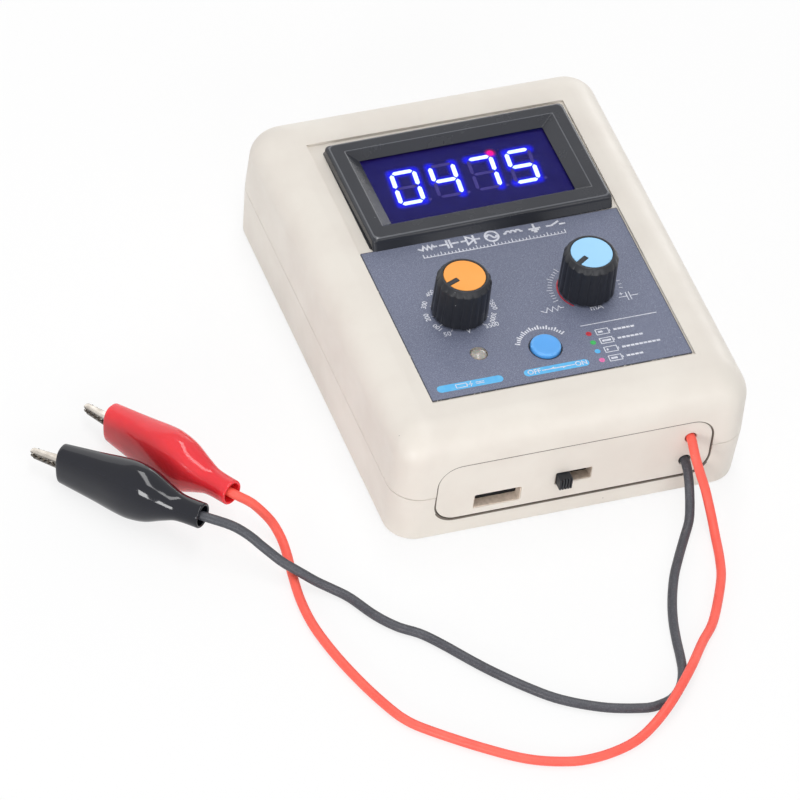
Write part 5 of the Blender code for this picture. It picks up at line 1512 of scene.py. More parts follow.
@dataclass
class CaseScrews:
    """Four pan-head screws in the underside, with a cross recess."""

    shells: CaseShells
    bottom: float = 0.0032
    recess_half: float = 0.0016
    recess_width: float = 0.00038
    recess_depth: float = 0.0013

    def make(self, material: bpy.types.Material) -> None:
        """Build the screws.

        Args:
            material: Their metal.
        """
        shells = self.shells
        number = 0
        for y in (-shells.screw_y, shells.screw_y):
            for x in (-shells.screw_x, shells.screw_x):
                number += 1
                head = shells.head_radius
                profile = [(head * 0.55, self.bottom), (head * 0.85, self.bottom + 0.00025),
                           (head, self.bottom + 0.0009), (head, shells.head_top),
                           (shells.shank_radius, shells.head_top),
                           (shells.shank_radius, shells.screw_end - 0.0008),
                           (shells.shank_radius * 0.5, shells.screw_end)]
                name = f"case_screw_head_{number}"
                carver = Carver(add_piece(name, turned(name, profile, 32, (x, y)), material))
                top = self.bottom + self.recess_depth
                for size_x, size_y in ((self.recess_half, self.recess_width),
                                       (self.recess_width, self.recess_half)):
                    carver.cut(box_mesh(f"{name}_slot_{size_x:.4f}",
                                        (x - size_x, y - size_y, self.bottom - 0.001),
                                        (x + size_x, y + size_y, top)))
                settle(carver.finish(0.00008, 2), Body.CASE, "bright_metal",
                       f"case_screw_{number}")


@dataclass
class PanelLabel:
    """The printed film of the panel, with generic marks in the places of its print."""

    low: Point2 = (-0.0421, -0.05595)
    high: Point2 = (0.0421, 0.00865)
    bottom: float = 0.04135
    top: float = 0.04165
    ink_height: float = 0.00002
    corner: float = 0.0004
    stroke: float = 0.00028
    left_dial: Point2 = (-0.0211, -0.02215)
    right_dial: Point2 = (0.0201, -0.02215)
    bushing_radius: float = 0.0043
    led: tuple[float, float, float] = (-0.0214, -0.0402, 0.0028)
    button: tuple[float, float, float] = (-0.0008, -0.0428, 0.0050)

    def make(self, finishes: Finishes) -> None:
        """Build the film and its print.

        Args:
            finishes: The tester's materials.
        """
        middle = ((self.low[0] + self.high[0]) / 2, (self.low[1] + self.high[1]) / 2)
        outline = [(x + middle[0], y + middle[1]) for x, y in
                   rounded_outline((self.high[0] - self.low[0]) / 2,
                                   (self.high[1] - self.low[1]) / 2, self.corner, 4)]
        carver = Carver(add_piece("label_sheet", prism("label_sheet", outline, Axis.Z,
                                                       self.bottom, self.top), finishes.label))
        holes = [(*self.left_dial, self.bushing_radius), (*self.right_dial, self.bushing_radius),
                 self.led, self.button]
        for number, (x, y, radius) in enumerate(holes):
            carver.cut(prism(f"label_hole_{number}", circle_outline(radius, 48, (x, y)), Axis.Z,
                             self.bottom - 0.001, self.top + 0.001))
        settle(carver.finish(0.00005, 2), Body.CASE, "label_film", "panel_label")
        self.print_marks(finishes)

    def ink(self, name: str, strokes: list[list[Point2]], material: bpy.types.Material,
            width: float | None = None, level: int = 1) -> bpy.types.Object:
        """Lay strokes of ink on the film.

        Args:
            name: Name of the piece.
            strokes: Lines, each a list of points.
            material: The ink.
            width: Width of the strokes, if not the usual one.
            level: How many layers of ink lie under and in it.

        Returns:
            The piece.
        """
        half = (width or self.stroke) / 2
        points: list[tuple[float, float, float]] = []
        faces: list[list[int]] = []
        for number, line in enumerate(strokes):
            height = self.top + self.ink_height * level + 1e-6 * number
            spots = [Vector(spot) for spot in line]
            closed = len(spots) > 3 and (spots[0] - spots[-1]).length < 1e-7
            ways = [(after - before).normalized() for before, after in zip(spots, spots[1:])]
            if not closed:
                spots[0] -= ways[0] * half * 0.5
                spots[-1] += ways[-1] * half * 0.5
            first = len(points)
            for index, spot in enumerate(spots):
                before = ways[max(index - 1, 0)] if index or not closed else ways[-1]
                after = ways[index] if index < len(ways) else (ways[0] if closed else ways[-1])
                way = (before + after).normalized() if (before + after).length > 0.2 else after
                reach = half / max(0.5, way.dot(after))
                side = Vector((-way.y, way.x)) * reach
                points.append((spot.x + side.x, spot.y + side.y, height))
                points.append((spot.x - side.x, spot.y - side.y, height))
            for index in range(first, len(points) - 2, 2):
                faces.append([index, index + 1, index + 3, index + 2])
        return settle(add_piece(name, mesh_from(name, points, faces), material, None),
                      Body.CASE, "label_film")

    def patch(self, name: str, outline: Sequence[Point2], material: bpy.types.Material,
              level: int = 1) -> bpy.types.Object:
        """Lay a filled shape of ink on the film."""
        height = self.top + self.ink_height * level
        mesh = mesh_from(name, [(x, y, height) for x, y in outline], [range(len(outline))])
        return settle(add_piece(name, mesh, material, None), Body.CASE, "label_film")

    def word(self, name: str, body: str, centre: Point2, size: float, turn_deg: float,
             material: bpy.types.Material, level: int = 1) -> bpy.types.Object:
        """Print a number or unit.

        Args:
            name: Name of the piece.
            body: The number or unit.
            centre: Place of its middle.
            size: Height of the font.
            turn_deg: How far it is turned, counter-clockwise.
            material: The ink.
            level: Layer of ink that it lies in.

        Returns:
            The piece.
        """
        data = bpy.data.curves.new(name, "FONT")
        data.body = body
        data.size = size
        data.offset = size * 0.012
        data.align_x, data.align_y = "CENTER", "CENTER"
        data.fill_mode = "FRONT"
        text = bpy.data.objects.new(name, data)
        bpy.context.scene.collection.objects.link(text)
        bpy.context.view_layer.update()
        mesh = bpy.data.meshes.new_from_object(text.evaluated_get(
            bpy.context.evaluated_depsgraph_get()))
        bpy.data.objects.remove(text, do_unlink=True)
        mesh.materials.clear()
        mesh.name = name
        height = self.top + self.ink_height * level
        mesh.transform(Matrix.Translation((*centre, height))
                       @ Matrix.Rotation(math.radians(turn_deg), 4, "Z"))
        return settle(add_piece(name, mesh, material, None), Body.CASE, "label_film")

    def around(self, centre: Point2, radius: float, angle_deg: float) -> Point2:
        """Find a point on a dial."""
        angle = math.radians(angle_deg)
        return (centre[0] + radius * math.cos(angle), centre[1] + radius * math.sin(angle))

    def arc(self, centre: Point2, radius: float, start_deg: float,
            end_deg: float, steps: int = 24) -> list[Point2]:
        """Trace an arc of a dial."""
        return [self.around(centre, radius, start_deg + (end_deg - start_deg) * step / steps)
                for step in range(steps + 1)]

    def print_marks(self, finishes: Finishes) -> None:
        """Print dials, bars, symbols and legend dots."""
        self.print_left_dial(finishes)
        self.print_right_dial(finishes)
        self.print_bars(finishes)
        self.print_symbols(finishes)
        self.print_legend(finishes)

    def print_left_dial(self, finishes: Finishes) -> None:
        """Print the voltage dial: plain numbers, a unit and ticks."""
        white = finishes.white_ink
        numbers = (("100", 9.9, -151), ("200", 10.3, 180), ("300", 10.7, 151),
                   ("400", 11.2, 122), ("1000", 11.2, 60), ("2000", 11.0, 31),
                   ("2500", 11.0, 2), ("3000", 10.3, -28))
        for value, radius, angle in numbers:
            self.word(f"dial_number_{value}", value, self.around(self.left_dial, radius / 1000,
                                                                 angle),
                      0.0022, angle - 90, white)
        self.word("dial_number_50", "50", (-0.0279, -0.0303), 0.0024, 0, white)
        self.word("dial_number_3500", "3500", (-0.0134, -0.0300), 0.0023, 4, white)
        self.word("dial_unit_v", "V", (-0.0211, -0.0305), 0.0030, 0, white)
        ticks = [[self.around(self.left_dial, 0.0079, angle),
                  self.around(self.left_dial, 0.0090, angle)]
                 for angle in (-125, -151, 180, 151, 122, 60, 31, 2, -28, -52)]
        self.ink("dial_ticks_left", ticks, white, 0.0002)

    def print_right_dial(self, finishes: Finishes) -> None:
        """Print the current dial: a red range, a graduated range, a unit and two symbols."""
        white = finishes.white_ink
        self.ink("dial_range_red", [self.arc(self.right_dial, 0.0088, 142, 224)],
                 finishes.red_ink, 0.00045)
        ticks = [[self.around(self.right_dial, 0.0104, angle),
                  self.around(self.right_dial, 0.0116 if index % 4 else 0.0122, angle)]
                 for index, angle in enumerate(range(123, 196, 6))]
        ticks += [[self.around(self.right_dial, 0.0104, angle),
                   self.around(self.right_dial, 0.0114, angle)] for angle in (4, -4, -12)]
        self.ink("dial_ticks_right", ticks, white, 0.0002)
        self.word("dial_unit_ma", "mA", (0.0204, -0.0306), 0.0030, 0, white)
        self.ink("symbol_resistor", [self.zigzag((0.0070, -0.0281), 0.0075)], white)
        self.ink("symbol_capacitor", self.capacitor((0.0318, -0.0283), 0.0062, True), white)

    def zigzag(self, centre: Point2, width: float) -> list[Point2]:
        """Trace a resistor symbol."""
        left, high = centre[0] - width / 2, width * 0.13
        points = [(left, centre[1])]
        for step in range(6):
            points.append((left + width * (0.2 + 0.12 * step),
                           centre[1] + (high if step % 2 else -high)))
        return points + [(left + width * 0.85, centre[1]), (left + width, centre[1])]

    def capacitor(self, centre: Point2, width: float, polar: bool) -> list[list[Point2]]:
        """Trace a capacitor symbol."""
        x, y = centre
        high, gap = width * 0.27, width * 0.08
        lines = [[(x - width / 2, y), (x - gap, y)], [(x - gap, y - high), (x - gap, y + high)],
                 [(x + gap, y), (x + width / 2, y)], [(x + gap, y - high), (x + gap, y + high)]]
        if polar:
            plus = (x - width * 0.33, y + high * 0.8)
            arm = width * 0.08
            lines += [[(plus[0] - arm, plus[1]), (plus[0] + arm, plus[1])],
                      [(plus[0], plus[1] - arm), (plus[0], plus[1] + arm)]]
        return lines

    def print_bars(self, finishes: Finishes) -> None:
        """Print the two blue bars over the socket and the switch."""
        for name, left, right in (("charge", -0.0391, -0.0179), ("switch", -0.0111, 0.0099)):
            half = (right - left) / 2
            outline = [(x + (left + right) / 2, y - 0.0518)
                       for x, y in rounded_outline(half, 0.0014, 0.00139, 10)]
            self.patch(f"bar_{name}", outline, finishes.blue_ink)
        white = finishes.white_ink
        self.word("switch_off", "OFF", (-0.0078, -0.0518), 0.0025, 0, white, 2)
        self.word("switch_on", "ON", (0.0074, -0.0518), 0.0025, 0, white, 2)
        self.ink("switch_line", [[(-0.0052, -0.0518), (0.0052, -0.0518)],
                                 [(-0.0022, -0.0518), (-0.0014, -0.0514)],
                                 [(0.0014, -0.0522), (0.0022, -0.0518)]], white, 0.00035, 2)
        battery = [(-0.0330, -0.0525), (-0.0296, -0.0525), (-0.0296, -0.0511),
                   (-0.0330, -0.0511), (-0.0330, -0.0525)]
        bolt = [(-0.0280, -0.0509), (-0.0287, -0.0519), (-0.0278, -0.0517), (-0.0285, -0.0527)]
        self.ink("charge_symbols", [battery, [(-0.0293, -0.0520), (-0.0293, -0.0516)], bolt,
                                    [(-0.0266, -0.0515), (-0.0240, -0.0515)],
                                    [(-0.0266, -0.0521), (-0.0240, -0.0521)]], white, 0.00025, 2)

    def print_symbols(self, finishes: Finishes) -> None:
        """Print a row of circuit symbols over a graduated rule, the button's arc and a ring of painted
        shade round the button.
        """
        white = finishes.white_ink
        pitch, start, y, size = 0.0070, -0.0211, 0.0061, 0.0060
        places = [(start + pitch * step, y) for step in range(7)]
        lines: list[list[Point2]] = [self.zigzag(places[0], size)]
        lines += self.capacitor(places[1], size, False)
        x = places[2][0]
        lines += [[(x - size / 2, y), (x - 0.0012, y)],
                  [(x - 0.0012, y - 0.0017), (x - 0.0012, y + 0.0017), (x + 0.0012, y),
                   (x - 0.0012, y - 0.0017)],
                  [(x + 0.0012, y - 0.0017), (x + 0.0012, y + 0.0017)],
                  [(x + 0.0012, y), (x + size / 2, y)]]
        x = places[3][0]
        lines.append([(x + 0.0032 * (step / 24 - 0.5), y + 0.0008 * math.sin(math.tau * step / 24))
                      for step in range(25)])
        lines.append(self.arc((x, y), 0.0021, 0, 360))
        x = places[4][0]
        lines += [self.arc((x + offset, y), 0.0008, 180, 0, 10)
                  for offset in (-0.0016, 0.0, 0.0016)]
        lines += [[(x - size / 2, y), (x - 0.0024, y)], [(x + 0.0024, y), (x + size / 2, y)]]
        x = places[5][0]
        lines += [[(x, y + 0.0018), (x, y)], [(x - 0.0018, y), (x + 0.0018, y)],
                  [(x - 0.0011, y - 0.0007), (x + 0.0011, y - 0.0007)],
                  [(x - 0.0004, y - 0.0014), (x + 0.0004, y - 0.0014)]]
        x = places[6][0]
        lines += [[(x - size / 2, y), (x - 0.0013, y)], [(x - 0.0013, y), (x + 0.0012, y + 0.0013)],
                  [(x + 0.0013, y), (x + size / 2, y)]]
        self.ink("circuit_symbols", lines, white, 0.00068)
        rule = [[(-0.0235, 0.0021), (0.0228, 0.0021)]]
        rule += [[(-0.0235 + 0.0463 * step / 40, 0.0021),
                  (-0.0235 + 0.0463 * step / 40, 0.0035 if step % 5 == 0 else 0.0029)]
                 for step in range(41)]
        self.ink("graduated_rule", rule, white, 0.00032)
        centre = (self.button[0], self.button[1])
        ticks = [[self.around(centre, 0.0078, angle), self.around(centre, reach, angle)]
                 for angle, reach in zip(range(158, 28, -6), [0.0092, 0.0086, 0.0088] * 8)]
        self.ink("button_arc", ticks, white, 0.0005)
        # A dark ring of painted shade round the button's hole, where the gap lies in shadow.
        self.ink("button_ring_shade", [self.arc(centre, 0.00514, 0, 360)], finishes.black_and_shade, 0.00026)

    def print_legend(self, finishes: Finishes) -> None:
        """Print a legend of four coloured dots, each with a small state symbol."""
        white = finishes.white_ink
        self.ink("legend_rule", [[(0.0128, -0.0370), (0.0375, -0.0370)]], white, 0.0003)
        inks = (finishes.red_ink, finishes.green_ink, finishes.blue_ink, finishes.pink_ink)
        widths = (0.0132, 0.0146, 0.0190, 0.0118)
        for number, (ink, width) in enumerate(zip(inks, widths)):
            y = -0.0407 - 0.0038 * number
            self.patch(f"legend_dot_{number + 1}", circle_outline(0.0009, 24, (0.0140, y)), ink)
            left, high, charge = 0.0164, 0.0011, (0.55, 1.0, 0.2, 0.75)[number]
            case = [(left, y - high), (left + 0.0040, y - high), (left + 0.0040, y + high),
                    (left, y + high), (left, y - high)]
            fill = [(left + 0.0006, y - 0.0004), (left + 0.0006 + 0.0028 * charge, y - 0.0004),
                    (left + 0.0006 + 0.0028 * charge, y + 0.0004), (left + 0.0006, y + 0.0004)]
            self.patch(f"legend_charge_{number + 1}", fill, white)
            dashes = [[(x / 10000, y), (x / 10000 + 0.0008, y)]
                      for x in range(222, 222 + int((width - 0.007) * 10000), 14)]
            self.ink(f"legend_line_{number + 1}",
                     [case, [(left + 0.0044, y - 0.0004), (left + 0.0044, y + 0.0004)]],
                     white, 0.0003)
            self.ink(f"legend_dashes_{number + 1}", dashes, white, 0.00075)


@dataclass
class PanelMeter:
    """The four-digit panel meter: bezel, smoked window, digit block and its segments."""

    middle: Point2 = (0.0014, 0.03165)
    window_middle: Point2 = (0.0015, 0.0323)
    width: float = 0.0790
    depth: float = 0.0436
    base: float = 0.04135
    top: float = 0.0454
    foot_reach: float = 0.0013
    turn_deg: float = 0.66
    # Reach and top of the painted shade round the bezel's foot.
    bezel_shade_reach: float = 0.00025
    bezel_shade_top: float = 0.04146
    shoulder: Point2 = (0.0014, 0.0015)
    rim_half: Point2 = (0.0347, 0.0170)
    window_half: Point2 = (0.03035, 0.0142)
    window_top: float = 0.0426
    lens_low: float = 0.0417
    lens_high: float = 0.0421
    housing_half: Point2 = (0.0379, 0.01965)
    housing_low: float = 0.0253
    housing_wall: float = 0.0016
    face: float = 0.0414
    block_middle: Point2 = (0.0015, 0.0323)
    block_half: Point2 = (0.0312, 0.0151)
    block_height: float = 0.0080
    digits: str = "0475"
    digit_start: Point2 = (-0.0179, 0.0330)
    digit_pitch: float = 0.01270
    digit_half: Point2 = (0.0037, 0.0066)
    slant: float = 0.105
    stroke_half: float = 0.00070
    ghost_half: float = 0.00058
    stroke_gap: float = 0.00034
    point_radius: float = 0.00105
    glow_core: float = 0.0007
    glow_reach: float = 0.0030
    glow_cell: float = 0.00026
    glow_attribute: str = "glow"

    def turned_place(self, x: float, y: float) -> Point2:
        """Turn a point with the frame, which sits a little askew in the panel."""
        cos, sin = math.cos(math.radians(self.turn_deg)), math.sin(math.radians(self.turn_deg))
        u, v = x - self.middle[0], y - self.middle[1]
        return (self.middle[0] + u * cos - v * sin, self.middle[1] + u * sin + v * cos)

    def rectangle(self, half_x: float, half_y: float, height: float, radius: float,
                  centre: Point2 | None = None) -> Ring:
        """Trace a rectangle with small round corners, turned with the frame."""
        x, y = centre or self.middle
        return [(*self.turned_place(u + x, v + y), height)
                for u, v in rounded_outline(half_x, half_y, radius, 4)]

    def square_on(self, half_x: float, half_y: float, height: float, radius: float) -> Ring:
        """Trace a rectangle with small round corners, square to the case."""
        x, y = self.middle
        return [(u + x, v + y, height) for u, v in rounded_outline(half_x, half_y, radius, 4)]

    def make(self, finishes: Finishes) -> None:
        """Build the meter.

        Args:
            finishes: The tester's materials.
        """
        self.make_bezel(finishes.bezel)
        self.make_bezel_shade(finishes.black_and_shade)
        self.make_lens(finishes.window)
        self.make_face(finishes.display)
        self.make_segments(finishes)

    def make_bezel(self, material: bpy.types.Material) -> None:
        """Build the bezel with its sloping frame, and the box behind the panel."""
        half_x, half_y = self.width / 2, self.depth / 2
        foot = (self.middle[0], self.middle[1] - self.foot_reach / 2)
        rings = [self.rectangle(half_x, half_y + self.foot_reach / 2, self.base, 0.0012,
                                foot)]
        for step in range(9):
            angle = math.pi / 2 * step / 8
            inset = self.shoulder[0] * (1 - math.cos(angle))
            rings.append(self.rectangle(half_x - inset, half_y - inset,
                                        self.top - self.shoulder[1] * (1 - math.sin(angle)),
                                        0.0012 + inset * 0.4))
        carver = Carver(add_piece("meter_bezel", mesh_from_rings("meter_bezel", rings),
                                  material))
        box = self.square_on(*self.housing_half, self.housing_low, 0.0008)
        top = self.square_on(*self.housing_half, self.base + 0.0012, 0.0008)
        carver.join(mesh_from_rings("housing_box", [box, top]))
        window, rim = self.window_half, self.rim_half
        slope = [(rim[axis] - window[axis]) / (self.top - self.window_top) for axis in (0, 1)]
        frame_rings = [
            self.rectangle(*window, self.lens_high - 0.001, 0.0003, self.window_middle),
            self.rectangle(*window, self.window_top, 0.0003, self.window_middle),
            self.rectangle(*rim, self.top, 0.0004, self.window_middle),
            self.rectangle(rim[0] + slope[0] * 0.002, rim[1] + slope[1] * 0.002,
                           self.top + 0.002, 0.0004, self.window_middle)]
        carver.cut(mesh_from_rings("window_frame", frame_rings))
        carver.cut(mesh_from_rings("lens_pocket", [
            self.square_on(0.03345, 0.0173, height, 0.0003)
            for height in (self.housing_low - 0.001, 0.0424)]))
        wall = self.housing_wall
        carver.cut(mesh_from_rings("housing_hollow", [
            self.square_on(self.housing_half[0] - wall, self.housing_half[1] - wall, height,
                           0.0005) for height in (self.housing_low - 0.001, 0.0387)]))
        settle(carver.finish(0.0002, 3, 25.0), Body.CASE, "bezel_plastic", "meter_housing")

    def make_bezel_shade(self, material: bpy.types.Material) -> None:
        """Lay a dark ring round the bezel's foot: painted shade, where the gap under the askew bezel
        lies in shadow.

        Args:
            material: Its finish.
        """
        half_x, half_y = self.width / 2 + self.bezel_shade_reach, self.depth / 2 + self.bezel_shade_reach
        rings = [self.square_on(half_x - inset, half_y - inset, height, 0.001)
                 for inset, height in ((0.0, self.base - 0.0002), (0.0, self.bezel_shade_top),
                                       (0.0012, self.bezel_shade_top), (0.0012, self.base - 0.0002))]
        settle(add_piece("meter_gap_shade", mesh_from_rings("meter_gap_shade", rings, True), material),
               Body.CASE, "bezel_plastic")

    def make_lens(self, material: bpy.types.Material) -> None:
        """Build the smoked window."""
        rings = [self.square_on(0.03315, 0.0170, height, 0.0005)
                 for height in (self.lens_low, self.lens_high)]
        lens = add_piece("meter_window", mesh_from_rings("meter_window", rings), material)
        settle(lens, Body.CASE, "window_tint", "meter_lens")

    def lean(self, digit: int, u: float, v: float) -> Point2:
        """Place a point of a digit, with the slant of the digits.

        Args:
            digit: Number of the digit, from the left.
            u: Place across the digit, from its middle.
            v: Place up the digit, from its middle.

        Returns:
            The point on the face.
        """
        return self.turned_place(
            self.digit_start[0] + self.digit_pitch * digit + u + v * self.slant,
            self.digit_start[1] + v)

    def segment_lines(self) -> dict[str, tuple[Point2, Point2]]:
        """List the middle line of each segment, from its start to its end."""
        w, h = self.digit_half
        return {"a": ((-w, h), (w, h)), "b": ((w, h), (w, 0)), "c": ((w, 0), (w, -h)),
                "d": ((-w, -h), (w, -h)), "e": ((-w, 0), (-w, -h)), "f": ((-w, h), (-w, 0)),
                "g": ((-w, 0), (w, 0))}

    def lit_names(self, number: str) -> str:
        """Name the lit segments of a figure."""
        return {"0": "abcdef", "4": "bcfg", "7": "abc", "5": "acdfg"}[number]

    def lit_lines(self) -> list[tuple[Point2, Point2]]:
        """List the middle line of every lit segment on the face."""
        lines = []
        for digit, number in enumerate(self.digits):
            for name in self.lit_names(number):
                start, end = self.segment_lines()[name]
                lines.append((self.lean(digit, *start), self.lean(digit, *end)))
        return lines

    def point_place(self) -> Point2:
        """Find the lit point after the third digit, at its top right."""
        return self.lean(2, self.digit_half[0] + 0.0004, self.digit_half[1] + 0.0012)

    def glow_at(self, x: float, y: float, lines: list[tuple[Point2, Point2]]) -> Colour:
        """Work out the light that spills on a point of the face.

        Args:
            x: Place of the point.
            y: Place of the point.
            lines: The lit lines.

        Returns:
            The light's colour.
        """
        nearest = 1.0
        for (x0, y0), (x1, y1) in lines:
            dx, dy = x1 - x0, y1 - y0
            share = ((x - x0) * dx + (y - y0) * dy) / (dx * dx + dy * dy)
            share = min(1.0, max(0.0, share))
            nearest = min(nearest, math.hypot(x - x0 - share * dx, y - y0 - share * dy))
        fade = 1 - (nearest - self.glow_core) / (self.glow_reach - self.glow_core)
        fade = min(1.0, max(0.0, fade))
        fade = (fade * fade * (3 - 2 * fade)) ** 2
        px, py = self.point_place()
        away = math.hypot(x - px, y - py)
        pink = min(1.0, max(0.0, 1 - (away - self.point_radius) / 0.0012)) ** 2
        blue = max(0.012, fade)
        return (0.006 + 0.75 * pink, 0.0 + 0.004 * fade, blue * (1 - 0.4 * pink) + 0.01)

    def make_face(self, material: bpy.types.Material) -> None:
        """Build the digit block, with the spilled light in a colour attribute."""
        x, y = self.block_middle
        half_x, half_y = self.block_half
        count_x = round(2 * half_x / self.glow_cell)
        count_y = round(2 * half_y / self.glow_cell)
        lines = self.lit_lines()
        points, faces, colours = [], [], []
        for row in range(count_y + 1):
            for column in range(count_x + 1):
                place = (x - half_x + 2 * half_x * column / count_x,
                         y - half_y + 2 * half_y * row / count_y)
                points.append((*place, self.face))
                colours.append(self.glow_at(*place, lines))
        for row in range(count_y):
            for column in range(count_x):
                first = row * (count_x + 1) + column
                faces.append((first, first + 1, first + count_x + 2, first + count_x + 1))
        rim = ([column for column in range(count_x + 1)]
               + [row * (count_x + 1) + count_x for row in range(1, count_y + 1)]
               + [count_y * (count_x + 1) + column for column in range(count_x - 1, -1, -1)]
               + [row * (count_x + 1) for row in range(count_y - 1, 0, -1)])
        base = len(points)
        for index in rim:
            points.append((points[index][0], points[index][1], self.face - self.block_height))
            colours.append((0.0, 0.0, 0.0))
        for step in range(len(rim)):
            after = (step + 1) % len(rim)
            faces.append((rim[step], base + step, base + after, rim[after]))
        faces.append(tuple(range(base + len(rim) - 1, base - 1, -1)))
        mesh = mesh_from("digit_face", points, faces)
        layer = mesh.color_attributes.new(self.glow_attribute, "FLOAT_COLOR", "POINT")
        for item, colour in zip(layer.data, colours):
            item.color = (*colour, 1.0)
        settle(add_piece("digit_face", mesh, material), Body.CASE, "display_face",
               "digit_block")

    def segment_outline(self, name: str, half: float) -> list[Point2]:
        """Trace one segment: a bar with pointed ends."""
        (x0, y0), (x1, y1) = self.segment_lines()[name]
        start, end = Vector((x0, y0)), Vector((x1, y1))
        along = (end - start).normalized()
        side = Vector((-along.y, along.x)) * half
        start, end = start + along * self.stroke_gap, end - along * self.stroke_gap
        tip = along * half
        corners = (start, start + tip + side, end - tip + side, end, end - tip - side,
                   start + tip - side)
        return [(corner.x, corner.y) for corner in corners]

    def make_segments(self, finishes: Finishes) -> None:
        """Build lit and unlit segments, the lit point and the unlit ones."""
        groups: dict[str, tuple[list, list]] = {"lit_segments": ([], []),
                                                "unlit_segments": ([], [])}
        for digit, number in enumerate(self.digits):
            for name in "abcdefg":
                lit = name in self.lit_names(number)
                half = self.stroke_half if lit else self.ghost_half
                self.add_flat(groups["lit_segments" if lit else "unlit_segments"],
                              [self.lean(digit, *corner)
                               for corner in self.segment_outline(name, half)])
            dot = self.lean(digit, self.digit_half[0] + 0.0021, -self.digit_half[1] - 0.0001)
            self.add_flat(groups["unlit_segments"], circle_outline(0.00055, 16, dot))
        for name, material in (("lit_segments", finishes.lit),
                               ("unlit_segments", finishes.unlit)):
            points, faces = groups[name]
            settle(add_piece(name, mesh_from(name, points, faces), material, None), Body.CASE,
                   "display_face")
        points, faces = [], []
        self.add_flat((points, faces), circle_outline(self.point_radius, 24,
                                                      self.point_place()))
        settle(add_piece("lit_point", mesh_from("lit_point", points, faces), finishes.point,
                         None), Body.CASE, "display_face")

    def add_flat(self, group: tuple[list, list], outline: Sequence[Point2]) -> None:
        """Add a thin raised shape just over the face."""
        points, faces = group
        first, count = len(points), len(outline)
        points.extend((x, y, self.face + 0.00001) for x, y in outline)
        points.extend((x, y, self.face + 0.00006) for x, y in outline)
        faces.append(list(range(first + count, first + 2 * count)))
        faces.append(list(range(first + count - 1, first - 1, -1)))
        for step in range(count):
            after = (step + 1) % count
            faces.append([first + step, first + after, first + count + after,
                          first + count + step])


